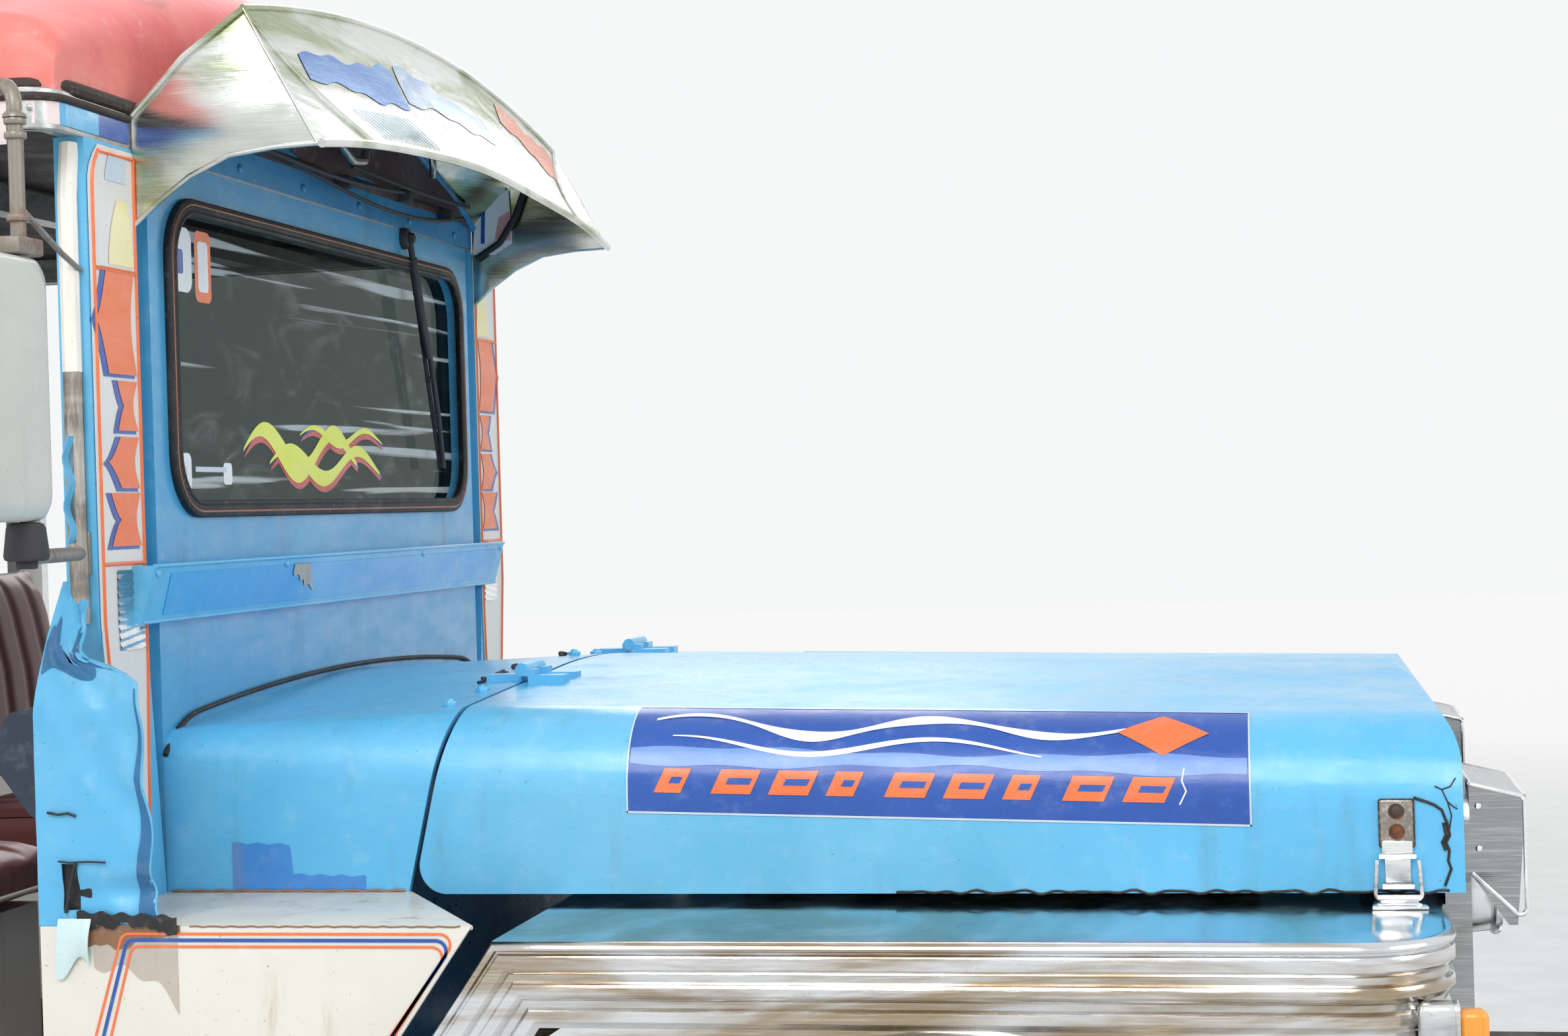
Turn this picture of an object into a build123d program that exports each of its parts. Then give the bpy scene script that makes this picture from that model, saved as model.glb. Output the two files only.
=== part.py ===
from build123d import *
from math import atan2, cos, hypot, radians, sin, tan
import os

# Open-sided passenger minibus with a long hood, millimetres, +Z up, +X forward, +Y to its left
# X stations are measured from the windshield panel's rear face, and the finished model is moved
# so that its origin is under the middle of its length

# Stations along the vehicle
HOOD_REAR_X = 385
HOOD_LENGTH = 1287
HOOD_FRONT_X = HOOD_REAR_X + HOOD_LENGTH
HOOD_OVERHANG = 22
FENDER_FRONT_X = HOOD_FRONT_X - HOOD_OVERHANG
GRILLE_THICKNESS = 30
GRILLE_FRONT_X = FENDER_FRONT_X + GRILLE_THICKNESS
BUMPER_OVERHANG = 340
BUMPER_FRONT_X = GRILLE_FRONT_X + BUMPER_OVERHANG
DOORWAY_LENGTH = 900
BODY_LENGTH = 3150
BULKHEAD_X = -DOORWAY_LENGTH
BODY_REAR_X = BULKHEAD_X - BODY_LENGTH
STEP_REACH = 330
STEP_REAR_X = BODY_REAR_X - STEP_REACH
FIREWALL_X = 300

# Widths, measured from the middle of the vehicle
HOOD_HALF_WIDTH = 666
BODY_HALF_WIDTH = 930
FENDER_PROUD = 20
FENDER_HALF_WIDTH = BODY_HALF_WIDTH + FENDER_PROUD
ROOF_INSET = 25
ROOF_HALF_WIDTH = BODY_HALF_WIDTH - ROOF_INSET
POST_SPACING = 34
POST_INNER_Y = HOOD_HALF_WIDTH + POST_SPACING
POST_WIDTH = 140
POST_OUTER_Y = POST_INNER_Y + POST_WIDTH
APRON_Y = 450

# Heights
FLOOR_Z = 640
FLOOR_THICKNESS = 40
SILL_Z = 450
FENDER_TOP_Z = 930
HOOD_BOTTOM_Z = 942
LEDGE_Z = 945
BELT_Z = 1180
CANTRAIL_Z = 1893
GUTTER_HEIGHT = 47
ROOF_EDGE_Z = CANTRAIL_Z + GUTTER_HEIGHT
ROOF_SIDE_HEIGHT = 105
ROOF_CROWN_Z = 2257

# Walls and fits
SHEET = 10
SIDE_WALL = 25
RUNNING_GAP = 6
FIT = 0.3

# Running gear
FRONT_AXLE_X = 1080
WHEELBASE = 3680
REAR_AXLE_X = FRONT_AXLE_X - WHEELBASE
TYRE_RADIUS = 380
TYRE_WIDTH = 190
RIM_RADIUS = 205
RIM_WIDTH = 165
WHEEL_Y = 780
WHEEL_Z = TYRE_RADIUS
ARCH_RADIUS = 440
KINGPIN_Y = 660
KINGPIN_RADIUS = 14
SPINDLE_RADIUS = 26
STEERING_ARM = 150
TIE_ROD_Z = 290

# Chassis
RAIL_Y = 380
RAIL_WIDTH = 60
RAIL_BOTTOM_Z = 440
RAIL_HEIGHT = 120
RAIL_TOP_Z = RAIL_BOTTOM_Z + RAIL_HEIGHT
RAIL_INNER_Y = RAIL_Y - RAIL_WIDTH / 2
RAIL_OUTER_Y = RAIL_Y + RAIL_WIDTH / 2

# The driver sits on the left
DRIVER_Y = 400

MIDDLE_X = (BUMPER_FRONT_X + STEP_REAR_X) / 2


def rounded_face(corners):
    """Flat face from rows of (across, up, corner radius), straight between its tangent arcs."""
    bends = []
    for index, (across, up, radius) in enumerate(corners):
        here = Vector(across, up)
        before = Vector(*corners[index - 1][:2])
        after = Vector(*corners[(index + 1) % len(corners)][:2])
        if radius == 0:
            bends.append((here, None, here))
            continue
        to_before = (before - here).normalized()
        to_after = (after - here).normalized()
        half_angle = radians(to_before.get_angle(to_after)) / 2
        reach = radius / tan(half_angle)
        bisector = (to_before + to_after).normalized()
        middle = here + bisector * (radius / sin(half_angle) - radius)
        bends.append((here + to_before * reach, middle, here + to_after * reach))
    edges = []
    for index, (enter, middle, leave) in enumerate(bends):
        if middle is not None:
            edges.append(ThreePointArc(enter, middle, leave))
        following = bends[(index + 1) % len(bends)][0]
        if (following - leave).length > 0.01:
            edges.append(Line(leave, following))
    return make_face(edges)


def block(x_range, y_range, z_range):
    """Box between two values on each axis."""
    low_high = [sorted(pair) for pair in (x_range, y_range, z_range)]
    centre = [(low + high) / 2 for low, high in low_high]
    return Pos(*centre) * Box(*[high - low for low, high in low_high])


def seen_from_side(corners, y_range):
    """Outline of (x, z, radius) rows given its width along Y."""
    low, high = sorted(y_range)
    return extrude(Plane.XZ.offset(-low) * rounded_face(corners), amount=high - low, dir=(0, 1, 0))


def seen_from_front(corners, x_range):
    """Outline of (y, z, radius) rows given its length along X."""
    low, high = sorted(x_range)
    return extrude(Plane.YZ.offset(low) * rounded_face(corners), amount=high - low, dir=(1, 0, 0))


def seen_from_above(corners, z_range):
    """Outline of (x, y, radius) rows given its height along Z."""
    low, high = sorted(z_range)
    return extrude(Plane.XY.offset(low) * rounded_face(corners), amount=high - low, dir=(0, 0, 1))


def rounded_box_outline(across_range, up_range, radius):
    """Corner rows of a rectangle with one radius."""
    (left, right), (low, high) = across_range, up_range
    return [(left, low, radius), (right, low, radius), (right, high, radius), (left, high, radius)]


def rod(start, end, radius):
    """Round bar between two points."""
    start, end = Vector(*start), Vector(*end)
    return extrude(Plane(origin=start, z_dir=end - start) * Circle(radius), amount=(end - start).length)


def bent_rod(points, bend_radius, radius):
    """Round bar along straight runs joined by equal bends."""
    path = FilletPolyline(*points, radius=bend_radius)
    return sweep(Plane(origin=path @ 0, z_dir=path % 0) * Circle(radius), path=path)


def both_sides(shape):
    """The shape and its mirror image on the other side of the vehicle."""
    return Part() + [shape, mirror(shape, about=Plane.XZ)]


# Chassis frame
RADIATOR_SETBACK = 50
CAB_MEMBER_X = (170, -420)
AXLE_TO_MEMBER = 450
MIDDLE_MEMBER_SETBACK = 350
REAR_MEMBER_INSET = 150
CROSS_MEMBER_X = (
    FENDER_FRONT_X - RADIATOR_SETBACK,
    *CAB_MEMBER_X,
    BULKHEAD_X - MIDDLE_MEMBER_SETBACK,
    REAR_AXLE_X + AXLE_TO_MEMBER,
    REAR_AXLE_X - AXLE_TO_MEMBER,
    BODY_REAR_X + REAR_MEMBER_INSET,
)
CROSS_MEMBER_LENGTH = 80
CROSS_MEMBER_HEIGHT = 60


def chassis_frame():
    rail_x = (BODY_REAR_X, BUMPER_FRONT_X - BUMPER_DEPTH)
    rails = both_sides(block(rail_x, (RAIL_INNER_Y, RAIL_OUTER_Y), (RAIL_BOTTOM_Z, RAIL_TOP_Z)))
    members = [
        block(
            (x - CROSS_MEMBER_LENGTH / 2, x + CROSS_MEMBER_LENGTH / 2),
            (-RAIL_INNER_Y, RAIL_INNER_Y),
            (RAIL_TOP_Z - CROSS_MEMBER_HEIGHT, RAIL_TOP_Z),
        )
        for x in CROSS_MEMBER_X
    ]
    return rails + members


# Front bumper, a rolled channel with rounded ends
BUMPER_DEPTH = 70
BUMPER_BOTTOM_Z = 470
BUMPER_HEIGHT = 170
BUMPER_WALL = 8
BUMPER_CORNER = 0.8 * BUMPER_DEPTH
TOW_EYE_RADIUS = 16
TOW_EYE_Y = 300


def front_bumper():
    z_range = (BUMPER_BOTTOM_Z, BUMPER_BOTTOM_Z + BUMPER_HEIGHT)
    rear_x = BUMPER_FRONT_X - BUMPER_DEPTH
    outer = seen_from_above(
        [
            (rear_x, -FENDER_HALF_WIDTH, 0),
            (BUMPER_FRONT_X, -FENDER_HALF_WIDTH, BUMPER_CORNER),
            (BUMPER_FRONT_X, FENDER_HALF_WIDTH, BUMPER_CORNER),
            (rear_x, FENDER_HALF_WIDTH, 0),
        ],
        z_range,
    )
    inside = FENDER_HALF_WIDTH - BUMPER_WALL
    hollow = seen_from_above(
        [
            (rear_x - 1, -inside, 0),
            (BUMPER_FRONT_X - BUMPER_WALL, -inside, BUMPER_CORNER - BUMPER_WALL),
            (BUMPER_FRONT_X - BUMPER_WALL, inside, BUMPER_CORNER - BUMPER_WALL),
            (rear_x - 1, inside, 0),
        ],
        (z_range[0] + BUMPER_WALL, z_range[1] - BUMPER_WALL),
    )
    rail_pads = both_sides(
        block(
            (rear_x, BUMPER_FRONT_X - BUMPER_WALL),
            (RAIL_INNER_Y, RAIL_OUTER_Y),
            (z_range[0] + BUMPER_WALL, RAIL_TOP_Z),
        )
    )
    eye_holes = both_sides(
        rod(
            (BUMPER_FRONT_X - BUMPER_WALL - 1, TOW_EYE_Y, sum(z_range) / 2),
            (BUMPER_FRONT_X + 1, TOW_EYE_Y, sum(z_range) / 2),
            TOW_EYE_RADIUS,
        )
    )
    return outer - hollow + rail_pads - eye_holes


# Engine and gearbox in one plain casting, on two arms between the rails
ENGINE_X = (720, 1440)
ENGINE_HALF_WIDTH = 240
ENGINE_Z = (480, 1030)
GEARBOX_LENGTH = 460
GEARBOX_RADIUS = 105
GEARBOX_Z = 455
SUMP_HALF_WIDTH = 144
SUMP_HEIGHT = 180
SUMP_RADIUS = 40
CRANKCASE_RADIUS = 20
ENGINE_TOP_RADIUS = 30
ENGINE_ARM_LENGTH = 80
ENGINE_ARM_HEIGHT = 50


def engine_block():
    block_part = seen_from_front(
        [
            (-SUMP_HALF_WIDTH, ENGINE_Z[0], SUMP_RADIUS),
            (SUMP_HALF_WIDTH, ENGINE_Z[0], SUMP_RADIUS),
            (ENGINE_HALF_WIDTH, ENGINE_Z[0] + SUMP_HEIGHT, CRANKCASE_RADIUS),
            (ENGINE_HALF_WIDTH, ENGINE_Z[1], ENGINE_TOP_RADIUS),
            (-ENGINE_HALF_WIDTH, ENGINE_Z[1], ENGINE_TOP_RADIUS),
            (-ENGINE_HALF_WIDTH, ENGINE_Z[0] + SUMP_HEIGHT, CRANKCASE_RADIUS),
        ],
        ENGINE_X,
    )
    gearbox_rear_x = ENGINE_X[0] - GEARBOX_LENGTH
    gearbox_front_x = ENGINE_X[0] + GEARBOX_RADIUS
    gearbox = rod((gearbox_rear_x, 0, GEARBOX_Z), (gearbox_front_x, 0, GEARBOX_Z), GEARBOX_RADIUS)
    arm_x = sum(ENGINE_X) / 2
    arms = block(
        (arm_x - ENGINE_ARM_LENGTH / 2, arm_x + ENGINE_ARM_LENGTH / 2),
        (-RAIL_INNER_Y, RAIL_INNER_Y),
        (RAIL_TOP_Z - ENGINE_ARM_HEIGHT, RAIL_TOP_Z),
    )
    return block_part + gearbox + arms


# Radiator on the first cross member
RADIATOR_THICKNESS = 55
RADIATOR_HALF_WIDTH = 300
RADIATOR_HEIGHT = 430


def radiator():
    x = CROSS_MEMBER_X[0]
    return block(
        (x - RADIATOR_THICKNESS / 2, x + RADIATOR_THICKNESS / 2),
        (-RADIATOR_HALF_WIDTH, RADIATOR_HALF_WIDTH),
        (RAIL_TOP_Z, RAIL_TOP_Z + RADIATOR_HEIGHT),
    )


# Axles
AXLE_BEAM_HEIGHT = 62
AXLE_BEAM_WIDTH = 70
AXLE_BEAM_TOP_Z = 362
AXLE_BEAM_FLANGE = 12
BEAM_RECESS_MARGIN = 150
KINGPIN_BOSS_RADIUS = 34
KINGPIN_BOSS_HALF = 45
KINGPIN_BOSS_Z = (WHEEL_Z - KINGPIN_BOSS_HALF, WHEEL_Z + KINGPIN_BOSS_HALF)
LUG_THICKNESS = 26
AXLE_NECK = 60
AXLE_BEND_RADIUS = 20
KNUCKLE_SPACE = (140, 120, 200)
AXLE_TUBE_RADIUS = 45
DIFFERENTIAL_RADIUS = 135
DIFFERENTIAL_NOSE = 205
DRUM_RADIUS = 150
DRUM_WIDTH = 45
DRUM_CLEARANCE = 20
PINION_RADIUS = 50


def front_axle():
    beam_bottom_z = AXLE_BEAM_TOP_Z - AXLE_BEAM_HEIGHT
    beam_x = (FRONT_AXLE_X - AXLE_BEAM_WIDTH / 2, FRONT_AXLE_X + AXLE_BEAM_WIDTH / 2)
    beam = seen_from_front(
        [
            (-KINGPIN_Y, KINGPIN_BOSS_Z[0], 0),
            (-KINGPIN_Y + AXLE_NECK, KINGPIN_BOSS_Z[0], AXLE_BEND_RADIUS),
            (-KINGPIN_Y + 2 * AXLE_NECK, beam_bottom_z, AXLE_BEND_RADIUS),
            (KINGPIN_Y - 2 * AXLE_NECK, beam_bottom_z, AXLE_BEND_RADIUS),
            (KINGPIN_Y - AXLE_NECK, KINGPIN_BOSS_Z[0], AXLE_BEND_RADIUS),
            (KINGPIN_Y, KINGPIN_BOSS_Z[0], 0),
            (KINGPIN_Y, KINGPIN_BOSS_Z[1], 0),
            (KINGPIN_Y - AXLE_NECK, KINGPIN_BOSS_Z[1], AXLE_BEND_RADIUS),
            (KINGPIN_Y - 2 * AXLE_NECK, AXLE_BEAM_TOP_Z, AXLE_BEND_RADIUS),
            (-KINGPIN_Y + 2 * AXLE_NECK, AXLE_BEAM_TOP_Z, AXLE_BEND_RADIUS),
            (-KINGPIN_Y + AXLE_NECK, KINGPIN_BOSS_Z[1], AXLE_BEND_RADIUS),
            (-KINGPIN_Y, KINGPIN_BOSS_Z[1], 0),
        ],
        beam_x,
    )
    web_cuts = [
        block(
            (FRONT_AXLE_X + side * AXLE_BEAM_WIDTH / 2, FRONT_AXLE_X + side * AXLE_BEAM_WIDTH / 5),
            (-KINGPIN_Y + BEAM_RECESS_MARGIN, KINGPIN_Y - BEAM_RECESS_MARGIN),
            (beam_bottom_z + AXLE_BEAM_FLANGE, AXLE_BEAM_TOP_Z - AXLE_BEAM_FLANGE),
        )
        for side in (-1, 1)
    ]
    space_y = KINGPIN_Y + KNUCKLE_SPACE[1] / 2
    around_boss = both_sides(Pos(FRONT_AXLE_X, space_y, WHEEL_Z) * Box(*KNUCKLE_SPACE))
    boss_low, boss_high = [(FRONT_AXLE_X, KINGPIN_Y, z) for z in KINGPIN_BOSS_Z]
    boss = both_sides(rod(boss_low, boss_high, KINGPIN_BOSS_RADIUS))
    pin_hole = both_sides(
        rod(
            (FRONT_AXLE_X, KINGPIN_Y, KINGPIN_BOSS_Z[0] - 1),
            (FRONT_AXLE_X, KINGPIN_Y, KINGPIN_BOSS_Z[1] + 1),
            KINGPIN_RADIUS + FIT,
        )
    )
    return beam - web_cuts - around_boss + boss - pin_hole


def rear_axle():
    drum_inner_y = WHEEL_Y - TYRE_WIDTH / 2 - DRUM_CLEARANCE
    drum_inner = (REAR_AXLE_X, drum_inner_y, WHEEL_Z)
    tube = rod((REAR_AXLE_X, -drum_inner_y, WHEEL_Z), drum_inner, AXLE_TUBE_RADIUS)
    differential = Pos(REAR_AXLE_X, 0, WHEEL_Z) * Sphere(DIFFERENTIAL_RADIUS)
    nose = rod((REAR_AXLE_X, 0, WHEEL_Z), (REAR_AXLE_X + DIFFERENTIAL_NOSE, 0, WHEEL_Z), PINION_RADIUS)
    plates = both_sides(rod(drum_inner, (REAR_AXLE_X, drum_inner_y + DRUM_WIDTH, WHEEL_Z), DRUM_RADIUS))
    spindles = both_sides(rod(drum_inner, (REAR_AXLE_X, HUB_END_Y, WHEEL_Z), SPINDLE_RADIUS))
    return tube + differential + nose + plates + spindles


# Leaf springs
LEAF_WIDTH = 60
LEAF_THICKNESS = 32
EYE_RADIUS = 19
FRONT_SPRING_HALF_LENGTH = 430
REAR_SPRING_HALF_LENGTH = 560
SPRING_GAP = 12
REAR_SPRING_Y = RAIL_OUTER_Y + SPRING_GAP + LEAF_WIDTH / 2
SHACKLE_DROP = 40
SPRING_PIN_RADIUS = 13


def leaf_spring(axle_x, y, seat_z, half_length, rise):
    """One pack of leaves with an eye at each end."""
    low = [(axle_x - half_length, seat_z + rise), (axle_x, seat_z), (axle_x + half_length, seat_z + rise)]
    high = [(x, z + (LEAF_THICKNESS if x == axle_x else LEAF_THICKNESS / 3)) for x, z in low]
    outline = make_face(
        [
            ThreePointArc(*low),
            Line(low[2], high[2]),
            ThreePointArc(high[2], high[1], high[0]),
            Line(high[0], low[0]),
        ]
    )
    pack = extrude(Plane.XZ.offset(-(y - LEAF_WIDTH / 2)) * outline, amount=LEAF_WIDTH, dir=(0, 1, 0))
    low_y, high_y = y - LEAF_WIDTH / 2, y + LEAF_WIDTH / 2
    ends = [(x, z + EYE_RADIUS / 2) for x, z in (low[0], low[2])]
    eyes = [rod((x, low_y, z), (x, high_y, z), EYE_RADIUS) for x, z in ends]
    return pack + eyes


def leaf_springs():
    front_rise = RAIL_BOTTOM_Z - AXLE_BEAM_TOP_Z - 1.5 * EYE_RADIUS
    front = leaf_spring(FRONT_AXLE_X, RAIL_Y, AXLE_BEAM_TOP_Z, FRONT_SPRING_HALF_LENGTH, front_rise)
    rear_seat_z = WHEEL_Z + AXLE_TUBE_RADIUS + FIT
    rear_rise = RAIL_TOP_Z - SHACKLE_DROP - rear_seat_z
    rear = leaf_spring(REAR_AXLE_X, REAR_SPRING_Y, rear_seat_z, REAR_SPRING_HALF_LENGTH, rear_rise)
    pin_z = rear_seat_z + rear_rise + EYE_RADIUS / 2
    pins = [
        rod((x, RAIL_OUTER_Y, pin_z), (x, REAR_SPRING_Y, pin_z), SPRING_PIN_RADIUS)
        for x in (REAR_AXLE_X - REAR_SPRING_HALF_LENGTH, REAR_AXLE_X + REAR_SPRING_HALF_LENGTH)
    ]
    return both_sides(front + (rear + pins))


# Drive shaft, tank and exhaust
PROP_SHAFT_RADIUS = 34


def drive_shaft():
    front_x = ENGINE_X[0] - GEARBOX_LENGTH - FIT
    rear_x = REAR_AXLE_X + DIFFERENTIAL_NOSE + FIT
    slope = atan2(GEARBOX_Z - WHEEL_Z, front_x - rear_x)
    margin = PROP_SHAFT_RADIUS * sin(slope)
    return rod((rear_x + margin, 0, WHEEL_Z), (front_x - margin, 0, GEARBOX_Z), PROP_SHAFT_RADIUS)


TANK_SETBACK = 380
TANK_LENGTH = 700
TANK_FRONT_X = BULKHEAD_X - TANK_SETBACK
TANK_X = (TANK_FRONT_X - TANK_LENGTH, TANK_FRONT_X)
TANK_OUTER_Y = 800
TANK_Z = (390, RAIL_TOP_Z)
TANK_CORNER = 40


def fuel_tank():
    outline = [
        (-TANK_OUTER_Y, TANK_Z[0], TANK_CORNER),
        (-RAIL_OUTER_Y, TANK_Z[0], 0),
        (-RAIL_OUTER_Y, TANK_Z[1], 0),
        (-TANK_OUTER_Y, TANK_Z[1], TANK_CORNER),
    ]
    return seen_from_front(outline, TANK_X)


EXHAUST_Y = 250
EXHAUST_Z = 462
EXHAUST_RADIUS = 24
MUFFLER_SETBACK = 550
MUFFLER_LENGTH = 500
MUFFLER_FRONT_X = BULKHEAD_X - MUFFLER_SETBACK
MUFFLER_X = (MUFFLER_FRONT_X - MUFFLER_LENGTH, MUFFLER_FRONT_X)
MUFFLER_RADIUS = 65
TAIL_PIPE_INSET = 60
TAIL_PIPE_X = BODY_REAR_X + TAIL_PIPE_INSET
DOWN_PIPE_GAP = 60
DOWN_PIPE_X = ENGINE_X[0] - DOWN_PIPE_GAP
DOWN_PIPE_RISE = 200
DOWN_PIPE_TOP_Z = ENGINE_Z[0] + DOWN_PIPE_RISE
HANGER_INSETS = (200, 750)
HANGER_X = (BULKHEAD_X + HANGER_INSETS[0], BODY_REAR_X + HANGER_INSETS[1])
HANGER_LENGTH = 30
HANGER_HEIGHT = 16


def exhaust():
    pipe = rod((TAIL_PIPE_X, EXHAUST_Y, EXHAUST_Z), (DOWN_PIPE_X, EXHAUST_Y, EXHAUST_Z), EXHAUST_RADIUS)
    muffler_z = EXHAUST_Z - MUFFLER_RADIUS / 3
    muffler = rod((MUFFLER_X[0], EXHAUST_Y, muffler_z), (MUFFLER_X[1], EXHAUST_Y, muffler_z), MUFFLER_RADIUS)
    down_pipe = rod(
        (DOWN_PIPE_X, EXHAUST_Y, EXHAUST_Z - EXHAUST_RADIUS),
        (DOWN_PIPE_X, EXHAUST_Y, DOWN_PIPE_TOP_Z),
        EXHAUST_RADIUS,
    )
    hangers = [
        block(
            (x - HANGER_LENGTH / 2, x + HANGER_LENGTH / 2),
            (EXHAUST_Y, RAIL_INNER_Y),
            (EXHAUST_Z, EXHAUST_Z + HANGER_HEIGHT),
        )
        for x in HANGER_X
    ]
    return pipe + muffler + down_pipe + hangers


# Floor boards on bearers across the rails
BEARER_X = (150, -500, BULKHEAD_X, BULKHEAD_X - 800, BODY_REAR_X + 600, BODY_REAR_X + 100)
BEARER_LENGTH = 60
PASSENGER_FLOOR_HALF_WIDTH = 540


def floor():
    low_z = FLOOR_Z - FLOOR_THICKNESS
    wall_inner_y = BODY_HALF_WIDTH - SIDE_WALL
    cab = block((BULKHEAD_X, FIREWALL_X), (-wall_inner_y, wall_inner_y), (low_z, FLOOR_Z))
    aisle = block(
        (BODY_REAR_X, BULKHEAD_X), (-PASSENGER_FLOOR_HALF_WIDTH, PASSENGER_FLOOR_HALF_WIDTH), (low_z, FLOOR_Z)
    )
    bearers = [
        block(
            (x - BEARER_LENGTH / 2, x + BEARER_LENGTH / 2),
            (-wall_inner_y, wall_inner_y),
            (RAIL_TOP_Z, low_z),
        )
        for x in BEARER_X
    ]
    return cab + aisle + bearers


# Bench boxes between the aisle and the side walls, open below over the rear wheels
BENCH_TOP_Z = 950
BENCH_BOARD = 18


def bench_boxes():
    x_range = (BODY_REAR_X + SIDE_WALL, BULKHEAD_X - SIDE_WALL)
    inner_y = PASSENGER_FLOOR_HALF_WIDTH
    wall_y = BODY_HALF_WIDTH - SIDE_WALL
    face = block(x_range, (inner_y, inner_y + BENCH_BOARD), (FLOOR_Z - FLOOR_THICKNESS, BENCH_TOP_Z))
    top = block(x_range, (inner_y, wall_y), (BENCH_TOP_Z - BENCH_BOARD, BENCH_TOP_Z))
    return both_sides(face + top)


BENCH_CUSHION = 90
BENCH_NOSE = 15
BENCH_RADIUS = 25
BENCH_BACK_THICKNESS = 60
BENCH_BACK_RADIUS = 20
BENCH_BACK_GAPS = (5, 10)
BENCH_END_GAP = 20


def benches():
    x_range = (BODY_REAR_X + SIDE_WALL + BENCH_END_GAP, BULKHEAD_X - SIDE_WALL - BENCH_END_GAP)
    wall_y = BODY_HALF_WIDTH - SIDE_WALL
    seat = seen_from_front(
        rounded_box_outline(
            (PASSENGER_FLOOR_HALF_WIDTH - BENCH_NOSE, wall_y - FIT),
            (BENCH_TOP_Z + FIT, BENCH_TOP_Z + BENCH_CUSHION),
            BENCH_RADIUS,
        ),
        x_range,
    )
    return both_sides(seat)


def bench_backs():
    x_range = (BODY_REAR_X + SIDE_WALL + BENCH_END_GAP, BULKHEAD_X - SIDE_WALL - BENCH_END_GAP)
    wall_y = BODY_HALF_WIDTH - SIDE_WALL
    low_gap, high_gap = BENCH_BACK_GAPS
    back = seen_from_front(
        rounded_box_outline(
            (wall_y - FIT - BENCH_BACK_THICKNESS, wall_y - FIT),
            (BENCH_TOP_Z + BENCH_CUSHION + low_gap, BELT_Z - high_gap),
            BENCH_BACK_RADIUS,
        ),
        x_range,
    )
    return both_sides(back)


# Hood, cowl and firewall share these sections: rows of (shoulder height, crown height, shoulder radius)
COWL_REAR_SECTION = (1150, 1190, 45)
COWL_FRONT_SECTION = (1168, 1205, 100)
HOOD_FRONT_SECTION = (1140, 1176, 110)
PANEL_THICKNESS = 40
PANEL_REAR_X = 14
PANEL_FRONT_X = PANEL_REAR_X + PANEL_THICKNESS
CROWN_RADIUS = 3000
COWL_EDGE_LEAN = 0.23
HOOD_CORNER_RADIUS = 35
HOOD_NOSE_RADIUS = 90
HOOD_LIP_Z = 1080
COWL_OVERRUN = 90
HOOD_OVERRUN = (20, 10)
HOOD_CROWN_MARGINS = (8, 4)
COWL_FOOT_GAP = 3
SKIN_CUT_DEPTH = 5


def hood_section(x, section, inset, low_z):
    """Closed cross-section at a station, inset from the outer skin."""
    shoulder_z, crown_z, shoulder_radius = section
    half_width = HOOD_HALF_WIDTH - inset
    return Plane.YZ.offset(x) * rounded_face(
        [
            (-half_width, low_z, 0),
            (half_width, low_z, 0),
            (half_width, shoulder_z - inset, shoulder_radius - inset / 2),
            (0, crown_z - inset, CROWN_RADIUS),
            (-half_width, shoulder_z - inset, shoulder_radius - inset / 2),
        ]
    )


def cowl_body(inset, low_z=HOOD_BOTTOM_Z):
    return loft(
        [
            hood_section(PANEL_FRONT_X, COWL_REAR_SECTION, inset, low_z),
            hood_section(HOOD_REAR_X + COWL_OVERRUN, COWL_FRONT_SECTION, inset, low_z),
        ],
        ruled=True,
    )


def hood_body(inset, low_z=HOOD_BOTTOM_Z):
    return loft(
        [
            hood_section(HOOD_REAR_X - HOOD_OVERRUN[0], COWL_FRONT_SECTION, inset, low_z),
            hood_section(HOOD_FRONT_X + HOOD_OVERRUN[1], HOOD_FRONT_SECTION, inset, low_z),
        ],
        ruled=True,
    )


def leaning_edge_x(z, start_x):
    """X of the hood's rear edge line at a height."""
    return start_x + (z - HOOD_BOTTOM_Z) * COWL_EDGE_LEAN


TOP_MARGIN_Z = 1300

# Hood hinges over the gap between the cowl and the hood
HINGE_Y = 300
HINGE_FALL = (COWL_FRONT_SECTION[1] - COWL_FRONT_SECTION[0]) * HINGE_Y / HOOD_HALF_WIDTH
HINGE_SURFACE_Z = COWL_FRONT_SECTION[1] - HINGE_FALL
HINGE_X = leaning_edge_x(HINGE_SURFACE_Z, HOOD_REAR_X) - RUNNING_GAP / 2
HINGE_RISE = 14
HINGE_Z = HINGE_SURFACE_Z + HINGE_RISE
HINGE_BARREL_RADIUS = 9
HINGE_LEAF_SINK = 7
HINGE_LEAF_LENGTH = 60
HINGE_KNUCKLE = 30


def hinge_leaf(direction, y_range):
    """Leaf and barrel on one side of the hinge line, rearward for -1 and forward for 1."""
    top_z = HINGE_Z - HINGE_BARREL_RADIUS
    leaf = block(
        (HINGE_X + direction * HINGE_BARREL_RADIUS, HINGE_X + direction * HINGE_LEAF_LENGTH),
        y_range,
        (HINGE_SURFACE_Z - HINGE_LEAF_SINK, top_z + 1),
    )
    bridge = block((HINGE_X, HINGE_X + direction * 2 * HINGE_BARREL_RADIUS), y_range, (top_z, HINGE_Z))
    barrel = rod((HINGE_X, y_range[0], HINGE_Z), (HINGE_X, y_range[1], HINGE_Z), HINGE_BARREL_RADIUS)
    return leaf + bridge + barrel


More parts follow.
